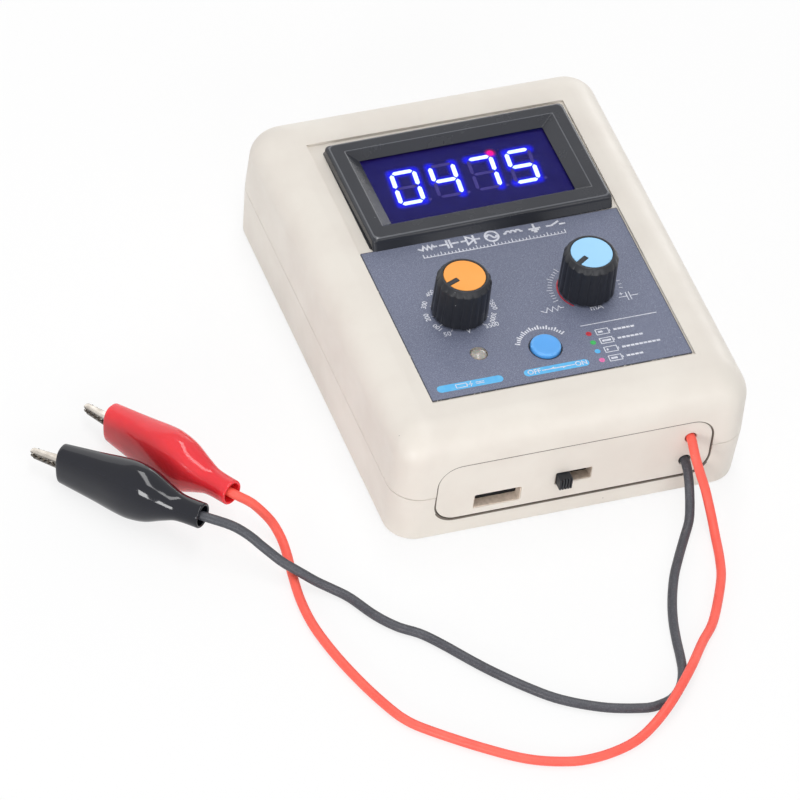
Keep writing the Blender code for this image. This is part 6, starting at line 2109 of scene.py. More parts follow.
@dataclass
class Knob:
    """A fluted knob with a coloured cap disc and a moulded pointer."""

    hand: str
    centre: Point2
    pointer_deg: float
    body: Body
    cap_slot: str
    bottom: float = 0.04235
    top: float = 0.05715
    radius: float = 0.00875
    top_radius: float = 0.0085
    shoulder: float = 0.0017
    lip_radius: float = 0.0072
    flutes: int = 18
    flute_depth: float = 0.00034
    sides: int = 216
    cap_radius: float = 0.00645
    cap_thickness: float = 0.0009
    seat_radius: float = 0.0066
    notch: float = 0.0017
    wall: float = 0.0014
    hub_radius: float = 0.0049
    hub_low: float = 0.04465
    bore: float = 0.0033
    shaft_top: float = 0.0543

    def fluted(self, radius: float, depth: float, height: float) -> Ring:
        """Trace a ring with rounded ribs and narrow grooves."""
        ring = []
        for step in range(self.sides):
            angle = math.tau * step / self.sides
            wave = 0.5 + 0.5 * math.cos(angle * self.flutes)
            reach = radius - depth * (1 - wave ** 0.35)
            ring.append((self.centre[0] + reach * math.cos(angle),
                         self.centre[1] + reach * math.sin(angle), height))
        return ring

    def make(self, material: bpy.types.Material, cap_material: bpy.types.Material) -> None:
        """Build the knob and its cap.

        Args:
            material: The knob's plastic.
            cap_material: The cap's plastic.
        """
        shoulder = self.top - self.shoulder
        depth = self.flute_depth
        rings = [self.fluted(self.radius - 0.0002, depth, self.bottom),
                 self.fluted(self.radius, depth, self.bottom + 0.0002),
                 self.fluted(self.top_radius + 0.00002, depth, shoulder - 0.0003),
                 self.fluted(self.top_radius - 0.0001, depth, shoulder),
                 self.fluted(self.top_radius - 0.0003, depth * 0.7, shoulder + 0.00025),
                 self.fluted(self.lip_radius + 0.0002, 0.0, self.top - 0.0002),
                 self.fluted(self.lip_radius, 0.0, self.top - 0.00005),
                 self.fluted(self.lip_radius - 0.00015, 0.0, self.top)]
        name = f"{self.hand}_knob_body"
        carver = Carver(add_piece(name, mesh_from_rings(name, rings), material))
        skirt_top = shoulder - self.wall * 2
        skirt = [(self.hub_radius, self.hub_low), (self.radius - self.wall, self.hub_low),
                 (self.radius - self.wall, skirt_top), (self.hub_radius, skirt_top)]
        carver.cut(turned(f"{name}_skirt", skirt, 48, self.centre, True))
        low = self.bottom - 0.001
        carver.cut(prism(f"{name}_under", circle_outline(self.radius - self.wall, 48,
                                                         self.centre),
                         Axis.Z, low, self.hub_low + 0.0001))
        carver.cut(prism(f"{name}_bore", circle_outline(self.bore, 40, self.centre), Axis.Z, low,
                         self.shaft_top))
        seat = self.top - self.cap_thickness - CLEARANCE
        carver.cut(prism(f"{name}_seat", circle_outline(self.seat_radius, 96, self.centre),
                         Axis.Z, seat, self.top + 0.001))
        carver.join(self.pointer_bar(f"{name}_pointer", self.notch / 2 - 0.00012, seat - 0.0002,
                                     self.top + 0.0, self.seat_radius + 0.0001))
        settle(carver.finish(0.00006, 2, 45.0), self.body, "knob_plastic",
               f"{self.hand}_knob")

        edge = 0.00022
        profile = [(self.cap_radius, self.top - self.cap_thickness)]
        profile += rounded_corner((self.cap_radius - edge, self.top - edge), 0, 90, edge, 5)
        cap = f"{self.hand}_cap_disc"
        carver = Carver(add_piece(cap, turned(cap, profile, 96, self.centre), cap_material))
        carver.cut(self.pointer_bar(f"{cap}_notch", self.notch / 2,
                                    self.top - self.cap_thickness * 2,
                                    self.top + self.cap_thickness, self.cap_radius * 1.3))
        settle(carver.finish(0.00008, 2), self.body, self.cap_slot, f"{self.hand}_knob_cap")

    def pointer_bar(self, name: str, half: float, low: float, high: float,
                    reach: float) -> bpy.types.Mesh:
        """Make the bar of the pointer, from inside the disc to its edge."""
        angle = math.radians(self.pointer_deg)
        along = Vector((math.cos(angle), math.sin(angle)))
        side = Vector((-along.y, along.x)) * half
        start = self.cap_radius * 0.4 + (self.notch / 2 - half)
        corners = (along * start - side, along * reach - side, along * reach + side,
                   along * start + side)
        return prism(name, [(self.centre[0] + corner.x, self.centre[1] + corner.y)
                            for corner in corners], Axis.Z, low, high)


@dataclass
class StatusLight:
    """The domed status light in its hole."""

    centre: Point2 = (-0.0214, -0.0402)
    radius: float = 0.00262
    flange: float = 0.0029
    low: float = 0.0334
    apex: float = 0.04205

    def make(self, material: bpy.types.Material) -> None:
        """Build the dome on its flange.

        Args:
            material: The milky plastic.
        """
        profile = [(self.flange, self.low), (self.flange, self.low + 0.001),
                   (self.radius, self.low + 0.001)]
        for step in range(12):
            angle = math.pi / 2 * step / 12
            profile.append((self.radius * math.cos(angle),
                            self.apex - self.radius * 0.5 * (1 - math.sin(angle))))
        light = add_piece("status_dome", turned("status_dome", profile, 48, self.centre),
                          material, 50.0)
        settle(light, Body.CASE, "status_light", "status_led")


@dataclass
class PushButton:
    """The round push button, with a soft edge and a slightly dished top."""

    centre: Point2 = (-0.0008, -0.0428)
    radius: float = 0.0047
    top: float = 0.04295
    edge: float = 0.0007
    dish: float = 0.00018

    def make(self, material: bpy.types.Material) -> None:
        """Build the button.

        Args:
            material: Its plastic.
        """
        low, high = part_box("push_button")
        flange = (high.x - low.x) / 2
        flange_top = low.z + 0.0016
        profile = [(0.0030, low.z), (0.0030, low.z + 0.0008), (flange, low.z + 0.0008),
                   (flange, flange_top), (self.radius, flange_top)]
        profile += rounded_corner((self.radius - self.edge, self.top - self.edge), 0, 90,
                                  self.edge, 8)
        inner = self.radius - self.edge
        profile += [(inner * share, self.top - self.dish * (1 - share ** 2))
                    for share in (0.85, 0.65, 0.4, 0.15)]
        button = add_piece("button_cap", turned("button_cap", profile, 64, self.centre),
                           material, 40.0)
        settle(button, Body.BUTTON, "blue_button", "push_button")


@dataclass
class SwitchLever:
    """The ribbed lever of the slide switch."""

    ribs: int = 4
    rib_depth: float = 0.0007
    set_back: float = 0.0006
    ease: float = 0.00035

    def make(self, material: bpy.types.Material) -> None:
        """Build the lever in the place of its CAD node.

        Args:
            material: Its plastic.
        """
        low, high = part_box("slide_switch_lever")
        low.y += self.set_back
        half_x, half_z = (high.x - low.x) / 2, (high.z - low.z) / 2
        middle = (low + high) / 2
        rings = []
        for inset, y in ((self.ease, low.y), (self.ease * 0.3, low.y + self.ease * 0.3),
                         (0.0, low.y + self.ease), (0.0, high.y)):
            rings.append([(x + middle.x, y, z + middle.z) for x, z in
                          rounded_outline(half_x - inset, half_z - inset, self.ease, 5)])
        carver = Carver(add_piece("switch_knob", mesh_from_rings("switch_knob", rings),
                                  material))
        pitch = 2 * half_x / (self.ribs + 0.6)
        for number in range(self.ribs):
            x = low.x + pitch * (number + 0.8)
            groove = [(x - pitch * 0.28, low.y - 0.001), (x + pitch * 0.28, low.y - 0.001),
                      (x + pitch * 0.12, low.y + self.rib_depth),
                      (x - pitch * 0.12, low.y + self.rib_depth)]
            carver.cut(prism(f"lever_groove_{number}", groove, Axis.Z, low.z - 0.001,
                             high.z + 0.001))
        settle(carver.finish(0.00005, 2), Body.LEVER, "black_plastic", "slide_switch_lever")


@dataclass
class ChargingSocket:
    """The charging socket behind its slot: a drawn steel shell and a contact tongue."""

    skin: float = 0.0003
    contacts: int = 12

    def make(self, finishes: Finishes) -> None:
        """Build the shell and its tongue.

        Args:
            finishes: The tester's materials.
        """
        low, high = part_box("usb_c_socket")
        middle = (low + high) / 2
        half_x, half_z = (high.x - low.x) / 2, (high.z - low.z) / 2

        def outline(inset: float) -> list[Point2]:
            """Trace the shell, set in by a margin."""
            return [(x + middle.x, z + middle.z) for x, z in
                    rounded_outline(half_x - inset, half_z - inset, half_z - inset - 0.00001,
                                    12)]

        carver = Carver(add_piece("socket_shell",
                                  prism("socket_shell", outline(0.0), Axis.Y, low.y, high.y),
                                  finishes.metal))
        back = low.y + (high.y - low.y) * 0.85
        carver.cut(prism("socket_hollow", outline(self.skin), Axis.Y, low.y - 0.001, back))
        settle(carver.finish(0.00006, 2), Body.CASE, "bright_metal", "usb_c_socket")
        tongue = [(x + middle.x, z + middle.z)
                  for x, z in rounded_outline(half_x * 0.74, 0.00035, 0.0001, 3)]
        rings = [[(x, y, z) for x, z in tongue] for y in (low.y + 0.0012, back - 0.00005)]
        piece = add_piece("socket_tongue", mesh_from_rings("socket_tongue", rings),
                          finishes.black_and_shade)
        settle(piece, Body.CASE, "black_plastic")


def smooth_path(route: Sequence[Sequence[float]], spacing: float) -> list[Vector]:
    """Take even steps along a smooth curve through a route's points.

    Args:
        route: The points.
        spacing: Length of a step.

    Returns:
        The steps' points.
    """
    points = [Vector(point) for point in route]
    points = [2 * points[0] - points[1]] + points + [2 * points[-1] - points[-2]]
    fine = []
    for before, start, end, after in zip(points, points[1:], points[2:], points[3:]):
        for step in range(12):
            t = step / 12
            fine.append(0.5 * (2 * start + (end - before) * t
                               + (2 * before - 5 * start + 4 * end - after) * t ** 2
                               + (3 * start - before - 3 * end + after) * t ** 3))
    fine.append(points[-2])
    lengths = [0.0]
    for first, second in zip(fine, fine[1:]):
        lengths.append(lengths[-1] + (second - first).length)
    count = max(2, round(lengths[-1] / spacing))
    path, index = [], 0
    for step in range(count + 1):
        goal = lengths[-1] * step / count
        while index < len(fine) - 2 and lengths[index + 1] < goal:
            index += 1
        share = (goal - lengths[index]) / (lengths[index + 1] - lengths[index])
        path.append(fine[index].lerp(fine[index + 1], share))
    return path


@dataclass
class AlligatorClip:
    """An alligator clip: dipped vinyl boot, two toothed channel jaws, pin and spring."""

    colour: str
    tail: tuple[float, float, float]
    yaw_deg: float
    jaw_body: Body
    pitch_deg: float = 7.0
    boot_length: float = 0.0490
    boot_wall: float = 0.00085
    boot_sections: tuple[tuple[float, float, float, float], ...] = (
        (0.0, 0.0040, 0.0040, 2.0), (0.16, 0.0043, 0.0042, 2.0), (0.25, 0.0060, 0.0051, 2.1),
        (0.37, 0.0088, 0.0065, 2.2), (0.48, 0.0098, 0.0069, 2.3), (0.57, 0.0096, 0.0067, 2.3),
        (0.74, 0.0084, 0.0055, 2.4), (1.0, 0.0068, 0.0039, 2.6))
    boot_steps: int = 72
    boot_sides: int = 72
    lip: float = 0.00045
    pivot: float = 0.0290
    jaw_root: float = 0.0340
    jaw_reach: float = 0.0595
    root_half: float = 0.0026
    tip_half: float = 0.0011
    root_back: float = 0.0027
    tip_back: float = 0.0013
    skin: float = 0.0006
    tooth_pitch: float = 0.0017
    tooth_depth: float = 0.0010
    tooth_count: int = 9
    pieces: list[bpy.types.Object] = field(default_factory=list)

    def placing(self) -> Matrix:
        """Return the placing of the clip: its tail, its heading and its nose-down lean."""
        turn = Matrix.Rotation(math.radians(self.yaw_deg), 4, "Z")
        lean = Matrix.Rotation(math.radians(self.pitch_deg), 4, "Y")
        return Matrix.Translation(self.tail) @ turn @ lean

    def make(self, boot: bpy.types.Material, metal: bpy.types.Material) -> None:
        """Build the clip.

        Args:
            boot: The boot's vinyl.
            metal: The jaws' metal.
        """
        self.make_boot(boot)
        self.make_lower_jaw(metal)
        self.make_upper_jaw(metal)
        pin, spring = f"{self.colour}_clip_pin", f"{self.colour}_clip_spring"
        redress(metal, pin, spring)
        self.pieces += [frame["nodes"][pin], frame["nodes"][spring]]

    def boot_size(self, share: float) -> tuple[float, float, float]:
        """Interpolate the boot's half height, half width and squareness smoothly."""
        rows = self.boot_sections
        index = 0
        while index < len(rows) - 2 and rows[index + 1][0] < share:
            index += 1
        start, end = rows[index], rows[index + 1]
        before = rows[max(index - 1, 0)]
        after = rows[min(index + 2, len(rows) - 1)]
        span = end[0] - start[0]
        t = (share - start[0]) / span
        result = []
        for column in (1, 2, 3):
            slope_start = ((end[column] - before[column]) / (end[0] - before[0])
                           if index else (end[column] - start[column]) / span)
            slope_end = ((after[column] - start[column]) / (after[0] - start[0])
                         if after is not end else (end[column] - start[column]) / span)
            result.append((2 * t ** 3 - 3 * t ** 2 + 1) * start[column]
                          + (t ** 3 - 2 * t ** 2 + t) * span * slope_start
                          + (3 * t ** 2 - 2 * t ** 3) * end[column]
                          + (t ** 3 - t ** 2) * span * slope_end)
        return tuple(result)

    def boot_ring(self, reach: float, inset: float, share: float) -> Ring:
        """Trace a ring of the boot."""
        high, wide, power = self.boot_size(min(1.0, max(0.0, share)))
        ring = []
        for step in range(self.boot_sides):
            angle = math.tau * step / self.boot_sides
            y, z = math.cos(angle), math.sin(angle)
            y = math.copysign(abs(y) ** (2 / power), y) * (wide - inset)
            z = math.copysign(abs(z) ** (2 / power), z) * (high - inset)
            ring.append((reach, y, z))
        return ring

    def make_boot(self, material: bpy.types.Material) -> None:
        """Build the boot with a rolled rim at both open ends."""
        wall, length = self.boot_wall, self.boot_length
        rings = []
        steps = self.boot_steps
        for step in range(steps + 1):
            reach = self.lip + (length - 2 * self.lip) * step / steps
            rings.append(self.boot_ring(reach, 0.0, reach / length))
        for step in range(1, 8):
            angle = math.pi * step / 8
            rings.append(self.boot_ring(length - self.lip + self.lip * math.sin(angle),
                                        wall / 2 * (1 - math.cos(angle)), 1.0))
        for step in range(steps, -1, -1):
            reach = self.lip + (length - 2 * self.lip) * step / steps
            rings.append(self.boot_ring(reach, wall, reach / length))
        for step in range(1, 8):
            angle = math.pi * step / 8
            rings.append(self.boot_ring(self.lip - self.lip * math.sin(angle),
                                        wall / 2 * (1 + math.cos(angle)), 0.0))
        name = f"{self.colour}_boot"
        mesh = mesh_from_rings(name, rings, ends_meet=True)
        mesh.transform(self.placing())
        boot = add_piece(name, mesh, material, 60.0)
        self.pieces.append(settle(boot, Body.CASE, f"{self.colour}_vinyl",
                                  f"{self.colour}_clip_boot"))

    def plate(self, name: str, outline: Sequence[Point2], half: float) -> bpy.types.Mesh:
        """Give a side outline its width."""
        return mesh_from_rings(name, [[(x, side * half, z) for x, z in outline]
                                      for side in (-1, 1)])

    def channel(self, name: str, side: int, start: float, inset: float) -> bpy.types.Mesh:
        """Sweep the rounded front of a jaw, toothed, or with an inset the room inside it.

        Args:
            name: Name of the mesh.
            side: 1 for the upper jaw, -1 for the lower.
            start: Where it begins.
            inset: How far it lies inside the jaw's skin.

        Returns:
            The mesh, in the clip's own space.
        """
        gap = CLEARANCE / 2
        first = self.jaw_reach - self.tooth_pitch * self.tooth_count
        stations = [(start, gap + self.tooth_depth)]
        for tooth in range(self.tooth_count):
            stations.append((first + self.tooth_pitch * tooth, gap + self.tooth_depth))
            stations.append((first + self.tooth_pitch * (tooth + 0.5), gap))
        stations.append((self.jaw_reach - 0.0005 - inset, gap + self.tooth_depth * 0.7))
        stations.append((self.jaw_reach - inset, gap + self.tooth_depth * 0.55))
        rings = []
        for number, (x, edge) in enumerate(stations):
            share = min(1.0, max(0.0, (x - self.jaw_root) / (self.jaw_reach - self.jaw_root)))
            half = self.root_half + (self.tip_half - self.root_half) * share - inset
            back = self.root_back + (self.tip_back - self.root_back) * share - inset
            if number == len(stations) - 1:
                half, back = half * 0.8, edge + (back - edge) * 0.6
            if inset:
                edge = -0.002
            radius = min(half * 0.85, 0.0011)
            ring = [(x, -half, side * edge), (x, -half, side * (back - radius * 0.7))]
            for step in range(1, 8):
                angle = math.pi / 2 * step / 8
                ring.append((x, -half + radius * (1 - math.cos(angle)),
                             side * (back - radius * 0.7 * (1 - math.sin(angle)))))
            ring.append((x, -half + radius, side * back))
            mirror = [(px, -py, pz) for px, py, pz in reversed(ring)]
            rings.append(ring + mirror)
        return mesh_from_rings(name, rings)

    def finish_jaw(self, carver: Carver, body: Body, node: str) -> None:
        """Apply a jaw's work, place it in the world and settle it."""
        jaw = carver.finish(0.00008, 2, 40.0)
        jaw.data.transform(self.placing())
        self.pieces.append(settle(jaw, body, "bright_metal", node))

    def make_lower_jaw(self, material: bpy.types.Material) -> None:
        """Build the fixed half: crimp, handle, ears and lower jaw."""
        pivot, root, skin, wall = self.pivot, self.jaw_root, self.skin, 0.0025
        back, front, sink = pivot - 0.0095, pivot - 0.0050, 0.0059
        crimp_low, crimp_end, crimp_start = -0.0024, back - 0.0025, 0.0090
        name = f"{self.colour}_jaw_fixed"
        crimp = [(crimp_start, crimp_low), (crimp_end, crimp_low), (crimp_end, CLEARANCE),
                 (crimp_start, CLEARANCE)]
        carver = Carver(add_piece(name, self.plate(name, crimp, 0.0024), material))
        handle = [(crimp_end - 0.0020, crimp_low), (back, -sink), (front, -sink),
                  (pivot + 0.0020, -0.0026), (root + 0.0010, -0.0023), (root, -0.0008),
                  (pivot + 0.0025, 0.0018), (pivot - 0.0025, 0.0018), (front, -0.0018),
                  (back, -0.0034), (crimp_end - 0.0020, CLEARANCE)]
        room = [(crimp_end - 0.0030, crimp_low + skin), (crimp_end - 0.0018, crimp_low + skin),
                (back, -sink + skin), (front, -sink + skin), (pivot + 0.0020, -0.0026 + skin),
                (root + 0.0030, -0.0021 + skin), (root + 0.0030, wall),
                (crimp_end - 0.0030, wall)]
        carver.join(self.plate("lower_handle", handle, 0.0033),
                    self.channel("lower_front", -1, root - 0.0005, 0.0))
        carver.cut(self.plate("crimp_room", [(0.0065, crimp_low + skin),
                                             (crimp_end, crimp_low + skin), (crimp_end, wall),
                                             (0.0065, wall)], 0.0018),
                   self.plate("lower_room", room, 0.0033 - skin),
                   self.channel("lower_channel", -1, root, skin),
                   prism("lower_pin_hole", circle_outline(0.0012, 20, (pivot, 0.0)), Axis.Y,
                         -0.007, 0.007))
        self.finish_jaw(carver, Body.CASE, f"{self.colour}_clip_lower_jaw")

    def make_upper_jaw(self, material: bpy.types.Material) -> None:
        """Build the moving half: handle, ears between the fixed ears, and upper jaw."""
        pivot, root, skin = self.pivot, self.jaw_root, self.skin
        back, front, lift = pivot - 0.0095, pivot - 0.0050, 0.0059
        name = f"{self.colour}_jaw_moving"
        side = [(back, lift), (front, lift), (pivot + 0.0020, 0.0026), (root + 0.0010, 0.0023),
                (root + 0.0010, 0.0009), (root, 0.0006), (pivot + 0.0025, -0.0016),
                (pivot - 0.0025, -0.0016), (front, 0.0018), (back, 0.0034)]
        carver = Carver(add_piece(name, self.plate(name, side, 0.0023), material))
        room = [(back - 0.0010, lift - skin), (front, lift - skin),
                (pivot + 0.0020, 0.0026 - skin), (root + 0.0030, 0.0021 - skin),
                (root + 0.0030, -0.0050), (back - 0.0010, -0.0050)]
        carver.join(self.channel("upper_front", 1, root + 0.0003, 0.0))
        carver.cut(self.plate("upper_room", room, 0.0023 - skin),
                   self.channel("upper_channel", 1, root + 0.0003 + skin, skin),
                   prism("upper_pin_hole", circle_outline(0.0012, 20, (pivot, 0.0)), Axis.Y,
                         -0.007, 0.007))
        self.finish_jaw(carver, self.jaw_body, f"{self.colour}_clip_upper_jaw")


@dataclass
class Lead:
    """A flexible test lead from its terminal to the crimp of its clip."""

    colour: str
    hole: Point2
    route: Sequence[tuple[float, float, float]]
    clip: AlligatorClip
    length: float
    radius: float = 0.00148
    start_y: float = -0.0569
    face_y: float = -0.0734
    crimp: float = 0.0130
    spacing: float = 0.0020

    def make(self, material: bpy.types.Material) -> None:
        """Args:
            material: Its jacket.
        """
        x, z = self.hole
        inside = [(x, self.start_y, z), (x, (self.start_y + self.face_y) / 2, z),
                  (x, self.face_y, z)]
        placing = self.clip.placing()
        ends = [tuple(placing @ Vector((reach, 0.0, 0.0)))
                for reach in (0.0, self.crimp / 2, self.crimp)]
        path = smooth_path([*inside, *self.route, *ends], self.spacing)
        name = f"{self.colour}_cable"
        curve = bpy.data.curves.new(name, "CURVE")
        curve.dimensions = "3D"
        curve.bevel_depth = self.radius
        curve.bevel_resolution = 6
        curve.use_fill_caps = True
        spline = curve.splines.new("POLY")
        spline.points.add(len(path) - 1)
        spline.use_smooth = True
        for point, place in zip(spline.points, path):
            point.co = (*place, 1.0)
        cable = settle(add_piece(name, curve, material), Body.CASE, f"{self.colour}_lead",
                       f"{self.colour}_lead")
        measured = sum((b - a).length for a, b in zip(path, path[1:]))
        LOG.info("%s is %.4f m long", name, measured)


RED_ROUTE = (
    (0.0368, -0.0764, 0.0227), (0.0368, -0.0797, 0.0205), (0.0379, -0.0820, 0.0162),
    (0.0391, -0.0840, 0.0120), (0.0398, -0.0864, 0.0082), (0.0400, -0.0903, 0.0046),
    (0.0393, -0.0957, 0.0025), (0.0375, -0.1043, 0.0016), (0.0345, -0.1128, 0.00155),
    (0.0263, -0.1274, 0.0017), (0.0194, -0.1356, 0.0027), (0.0118, -0.1455, 0.0048),
    (0.0060, -0.1520, 0.0050), (-0.0002, -0.1582, 0.0047), (-0.0066, -0.1629, 0.0030),
    (-0.0128, -0.1663, 0.0018), (-0.0197, -0.1686, 0.00155), (-0.0279, -0.1698, 0.00155),
    (-0.0360, -0.1692, 0.00155), (-0.0473, -0.1653, 0.00155), (-0.0594, -0.1573, 0.00155),
    (-0.0722, -0.1469, 0.00155), (-0.0775, -0.1412, 0.00155), (-0.0811, -0.1342, 0.00155),
    (-0.0849, -0.1245, 0.00155), (-0.0886, -0.1123, 0.00155), (-0.0911, -0.0997, 0.00155),
    (-0.0915, -0.0889, 0.00155), (-0.0905, -0.0785, 0.00155), (-0.0894, -0.0705, 0.0017),
    (-0.0891, -0.0655, 0.0024), (-0.0897, -0.0619, 0.0038), (-0.0911, -0.0591, 0.0059),
    (-0.0939, -0.0566, 0.0088), (-0.0967, -0.0547, 0.0111),
)
BLACK_ROUTE = (
    (0.0360, -0.0769, 0.0135), (0.0356, -0.0800, 0.0114), (0.0353, -0.0826, 0.0080),
    (0.0347, -0.0853, 0.0050), (0.0334, -0.0885, 0.0029), (0.0296, -0.0942, 0.0017),
    (0.0251, -0.1012, 0.00155), (0.0212, -0.1078, 0.00155), (0.0174, -0.1161, 0.00155),
    (0.0146, -0.1240, 0.00155), (0.0126, -0.1319, 0.00155), (0.0112, -0.1388, 0.00155),
    (0.0096, -0.1447, 0.00155), (0.0068, -0.1499, 0.00155), (0.0026, -0.1537, 0.00155),
    (-0.0024, -0.1551, 0.00155), (-0.0069, -0.1550, 0.00155), (-0.0179, -0.1519, 0.00155),
    (-0.0292, -0.1459, 0.00155), (-0.0374, -0.1388, 0.00155), (-0.0471, -0.1281, 0.00155),
    (-0.0563, -0.1159, 0.00155), (-0.0613, -0.1101, 0.00155), (-0.0669, -0.1058, 0.00155),
    (-0.0720, -0.0996, 0.00155), (-0.0768, -0.0912, 0.0016), (-0.0808, -0.0869, 0.0020),
    (-0.0848, -0.0839, 0.0031), (-0.0884, -0.0811, 0.0046), (-0.0911, -0.0786, 0.0055),
    (-0.0936, -0.0762, 0.0063), (-0.0963, -0.0731, 0.0077), (-0.0990, -0.0701, 0.0093),
    (-0.1013, -0.0675, 0.0107), (-0.1057, -0.0636, 0.0123),
)


def dress_internals(finishes: Finishes) -> None:
    """Give the pieces inside the case their own materials.

    Args:
        finishes: The tester's materials.
    """
    hands = ("left", "right")
    redress(finishes.metal, *[f"{hand}_{part}" for hand in hands
                              for part in ("potentiometer", "shaft", "nut")],
            *[f"{board}_screw_{number}" for board in ("control_board", "main_board")
              for number in range(1, 5)], "slide_switch_body")
    redress(finishes.board, "control_board", "main_board", "meter_board")
    redress(finishes.black, "button_switch", "cell_holder")
    redress(finishes.terminal, "output_terminal")
    redress(finishes.ferrite, "transformer_core")
    redress(finishes.winding, "transformer_winding")
    redress(finishes.capacitor, "hv_capacitor_1", "hv_capacitor_2")
    redress(finishes.cell, "lithium_cell")


@dataclass
class Lamp:
    """A soft rectangular lamp."""

    name: str
    place: tuple[float, float, float]
    aim: tuple[float, float, float]
    size: Point2
    power: float
    colour: Colour = (1.0, 1.0, 1.0)
    spin_deg: float = 0.0

    def make(self) -> None:
        """Build the lamp, turned to what it aims at."""
        data = bpy.data.lights.new(self.name, "AREA")
        data.shape = "RECTANGLE"
        data.size, data.size_y = self.size
        data.energy = self.power
        data.color = self.colour
        lamp = bpy.data.objects.new(self.name, data)
        bpy.context.scene.collection.objects.link(lamp)
        heading = (Vector(self.aim) - Vector(self.place)).to_track_quat("-Z", "Y")
        lamp.matrix_world = (Matrix.Translation(self.place) @ heading.to_matrix().to_4x4()
                             @ Matrix.Rotation(math.radians(self.spin_deg), 4, "Z"))


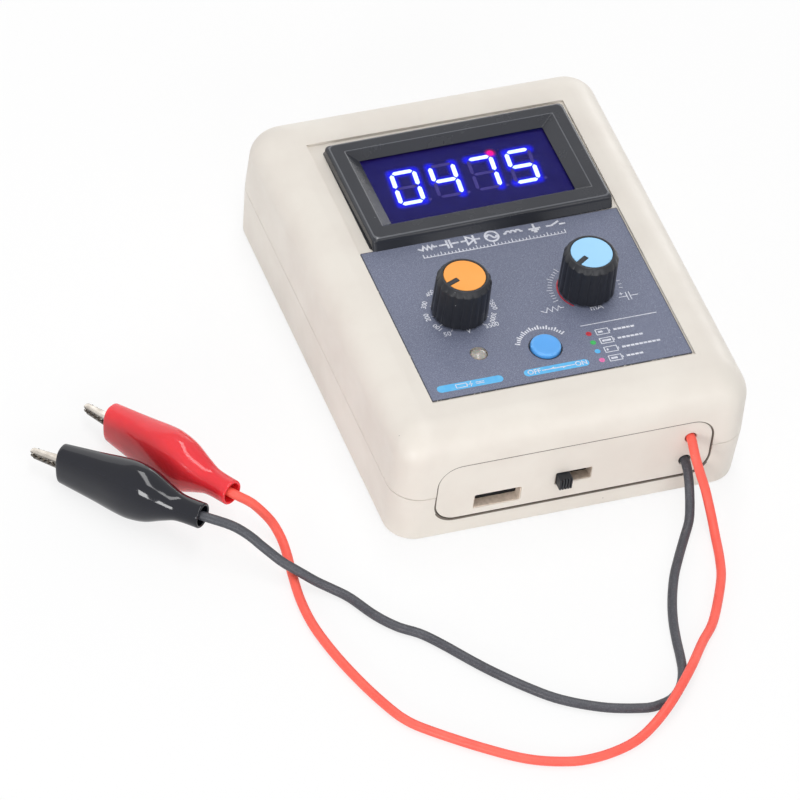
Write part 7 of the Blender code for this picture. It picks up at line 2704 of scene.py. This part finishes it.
@dataclass
class Studio:
    """Pale floor, even white surroundings, soft lamps and the photograph's camera."""

    camera_place: tuple[float, float, float] = (-0.76677764, -1.53325532, 1.69741969)
    camera_turn_deg: tuple[float, float, float] = (44.49720979, -5.83303321, -19.88806616)
    lens: float = 351.5525
    sensor: float = 36.0
    floor_half: float = 6.0
    floor_level: float = -0.0001
    floor_colour: Colour = (0.95, 0.95, 0.95)
    floor_white_share: float = 0.8
    ambient: float = 0.40

    def make(self) -> None:
        """Build the camera, the floor, the world and the lamps."""
        self.make_camera()
        self.make_floor()
        self.make_world()
        centre = (0.0, -0.02, 0.02)
        for lamp in (Lamp("overhead_strip", (-0.03, -0.03, 1.10), (-0.03, -0.03, 0.0),
                          (0.23, 1.24), 5.8, spin_deg=-19.0),
                     Lamp("front_lamp", (0.1, -1.1, 0.55), centre, (0.9, 0.45), 3.2),
                     Lamp("left_lamp", (-0.80, -0.72, 0.22), (-0.12, -0.05, 0.015),
                          (0.26, 0.30), 3.4),
                     Lamp("right_lamp", (0.8, 0.7, 0.25), centre, (0.5, 0.3), 1.5),
                     Lamp("back_panel", (-0.1, 1.3, 0.52), centre, (2.6, 1.0), 5.5)):
            lamp.make()

    def make_camera(self) -> None:
        """Build the camera at the photograph's viewpoint."""
        data = bpy.data.cameras.new("camera")
        data.lens, data.sensor_width = self.lens, self.sensor
        data.clip_start, data.clip_end = 0.05, 60.0
        camera = bpy.data.objects.new("camera", data)
        camera.location = self.camera_place
        camera.rotation_euler = [math.radians(turn) for turn in self.camera_turn_deg]
        bpy.context.scene.collection.objects.link(camera)
        bpy.context.scene.camera = camera

    def seen_directly(self, graph: Graph) -> bpy.types.NodeSocket:
        """Return a mask of the rays that show the background."""
        path = graph.node("ShaderNodeLightPath")
        straight = graph.math("MAXIMUM", path.outputs["Is Camera Ray"],
                              path.outputs["Is Glossy Ray"])
        return graph.math("MAXIMUM", straight, path.outputs["Is Transmission Ray"])

    def make_floor(self) -> None:
        """Build the floor: white where nothing shades it, with the object's soft shadow."""
        half, level = self.floor_half, self.floor_level
        floor = add_piece("floor", mesh_from("floor", [(-half, -half, level),
                                                       (half, -half, level),
                                                       (half, half, level),
                                                       (-half, half, level)], [(0, 1, 2, 3)]),
                          None, None)
        material = bpy.data.materials.new("floor")
        material.use_nodes = True
        graph = Graph(material.node_tree)
        surface = material.node_tree.nodes["Principled BSDF"]
        surface.inputs["Base Color"].default_value = (*self.floor_colour, 1.0)
        surface.inputs["Roughness"].default_value = 0.9
        surface.inputs["Specular IOR Level"].default_value = 0.0
        white = graph.node("ShaderNodeEmission")
        mixed = graph.node("ShaderNodeMixShader")
        graph.feed(mixed.inputs[0], graph.math("MULTIPLY", self.seen_directly(graph),
                                               self.floor_white_share))
        graph.feed(mixed.inputs[1], surface.outputs[0])
        graph.feed(mixed.inputs[2], white.outputs[0])
        graph.feed(material.node_tree.nodes["Material Output"].inputs["Surface"],
                   mixed.outputs[0])
        floor.data.materials.append(material)

    def make_world(self) -> None:
        """Build the world: white to the camera, plain even light on the object."""
        world = bpy.data.worlds.new("studio")
        world.use_nodes = True
        graph = Graph(world.node_tree)
        background = world.node_tree.nodes["Background"]
        background.inputs["Color"].default_value = (1.0, 1.0, 1.0, 1.0)
        graph.feed(background.inputs["Strength"],
                   graph.spread(self.seen_directly(graph), 0.0, 1.0, self.ambient, 1.0))
        bpy.context.scene.world = world
        bpy.context.scene.view_settings.view_transform = "Standard"


def remove_startup_objects() -> None:
    """Remove what the scene started with, and keep the frame."""
    kept = set(frame["nodes"].values()) | set(frame["bodies"].values())
    for item in list(bpy.context.scene.objects):
        if item not in kept:
            bpy.data.objects.remove(item, do_unlink=True)


def main() -> None:
    """Build the tester in order and report each piece."""
    logging.basicConfig(level=logging.INFO, format="%(message)s")
    remove_startup_objects()
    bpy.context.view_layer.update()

    Studio().make()
    label, meter = PanelLabel(), PanelMeter()
    finishes = Finishes((label.low, label.high), meter.block_middle, meter.block_half,
                        meter.glow_attribute)

    red_clip = AlligatorClip("red", (-0.1015, -0.0516, 0.0130), 119.0, Body.RED_JAW)
    black_clip = AlligatorClip("black", (-0.1131, -0.0584, 0.0130), 131.0, Body.BLACK_JAW)
    red_clip.make(finishes.red_boot, finishes.nickel)
    black_clip.make(finishes.black_boot, finishes.nickel)
    Lead("red", (0.0372, 0.0233), RED_ROUTE, red_clip, 0.355).make(finishes.red_lead)
    Lead("black", (0.0364, 0.0139), BLACK_ROUTE, black_clip, 0.29).make(finishes.black_lead)

    shells = CaseShells()
    shells.make_top(finishes.case)
    shells.make_bottom(finishes.case)
    plates = EndPlates(shells)
    plates.make(-1, finishes.case)
    plates.make(1, finishes.case)
    plates.make_ports((finishes.port, finishes.dim_port), finishes.black_and_shade)
    # Painted shade in the gap round each end plate.
    for side in (-1, 1):
        plates.make_plate_gap_shade(side, finishes.seam)
    CaseScrews(shells).make(finishes.metal)
    label.make(finishes)
    meter.make(finishes)
    Knob("left", label.left_dial, 201.0, Body.LEFT_KNOB,
         "orange_cap").make(finishes.knob, finishes.orange)
    Knob("right", label.right_dial, 212.0, Body.RIGHT_KNOB,
         "light_blue_cap").make(finishes.knob, finishes.sky)
    StatusLight().make(finishes.led)
    PushButton().make(finishes.button)
    SwitchLever().make(finishes.knob)
    ChargingSocket().make(finishes)
    dress_internals(finishes)


if __name__ == "__main__":
    main()
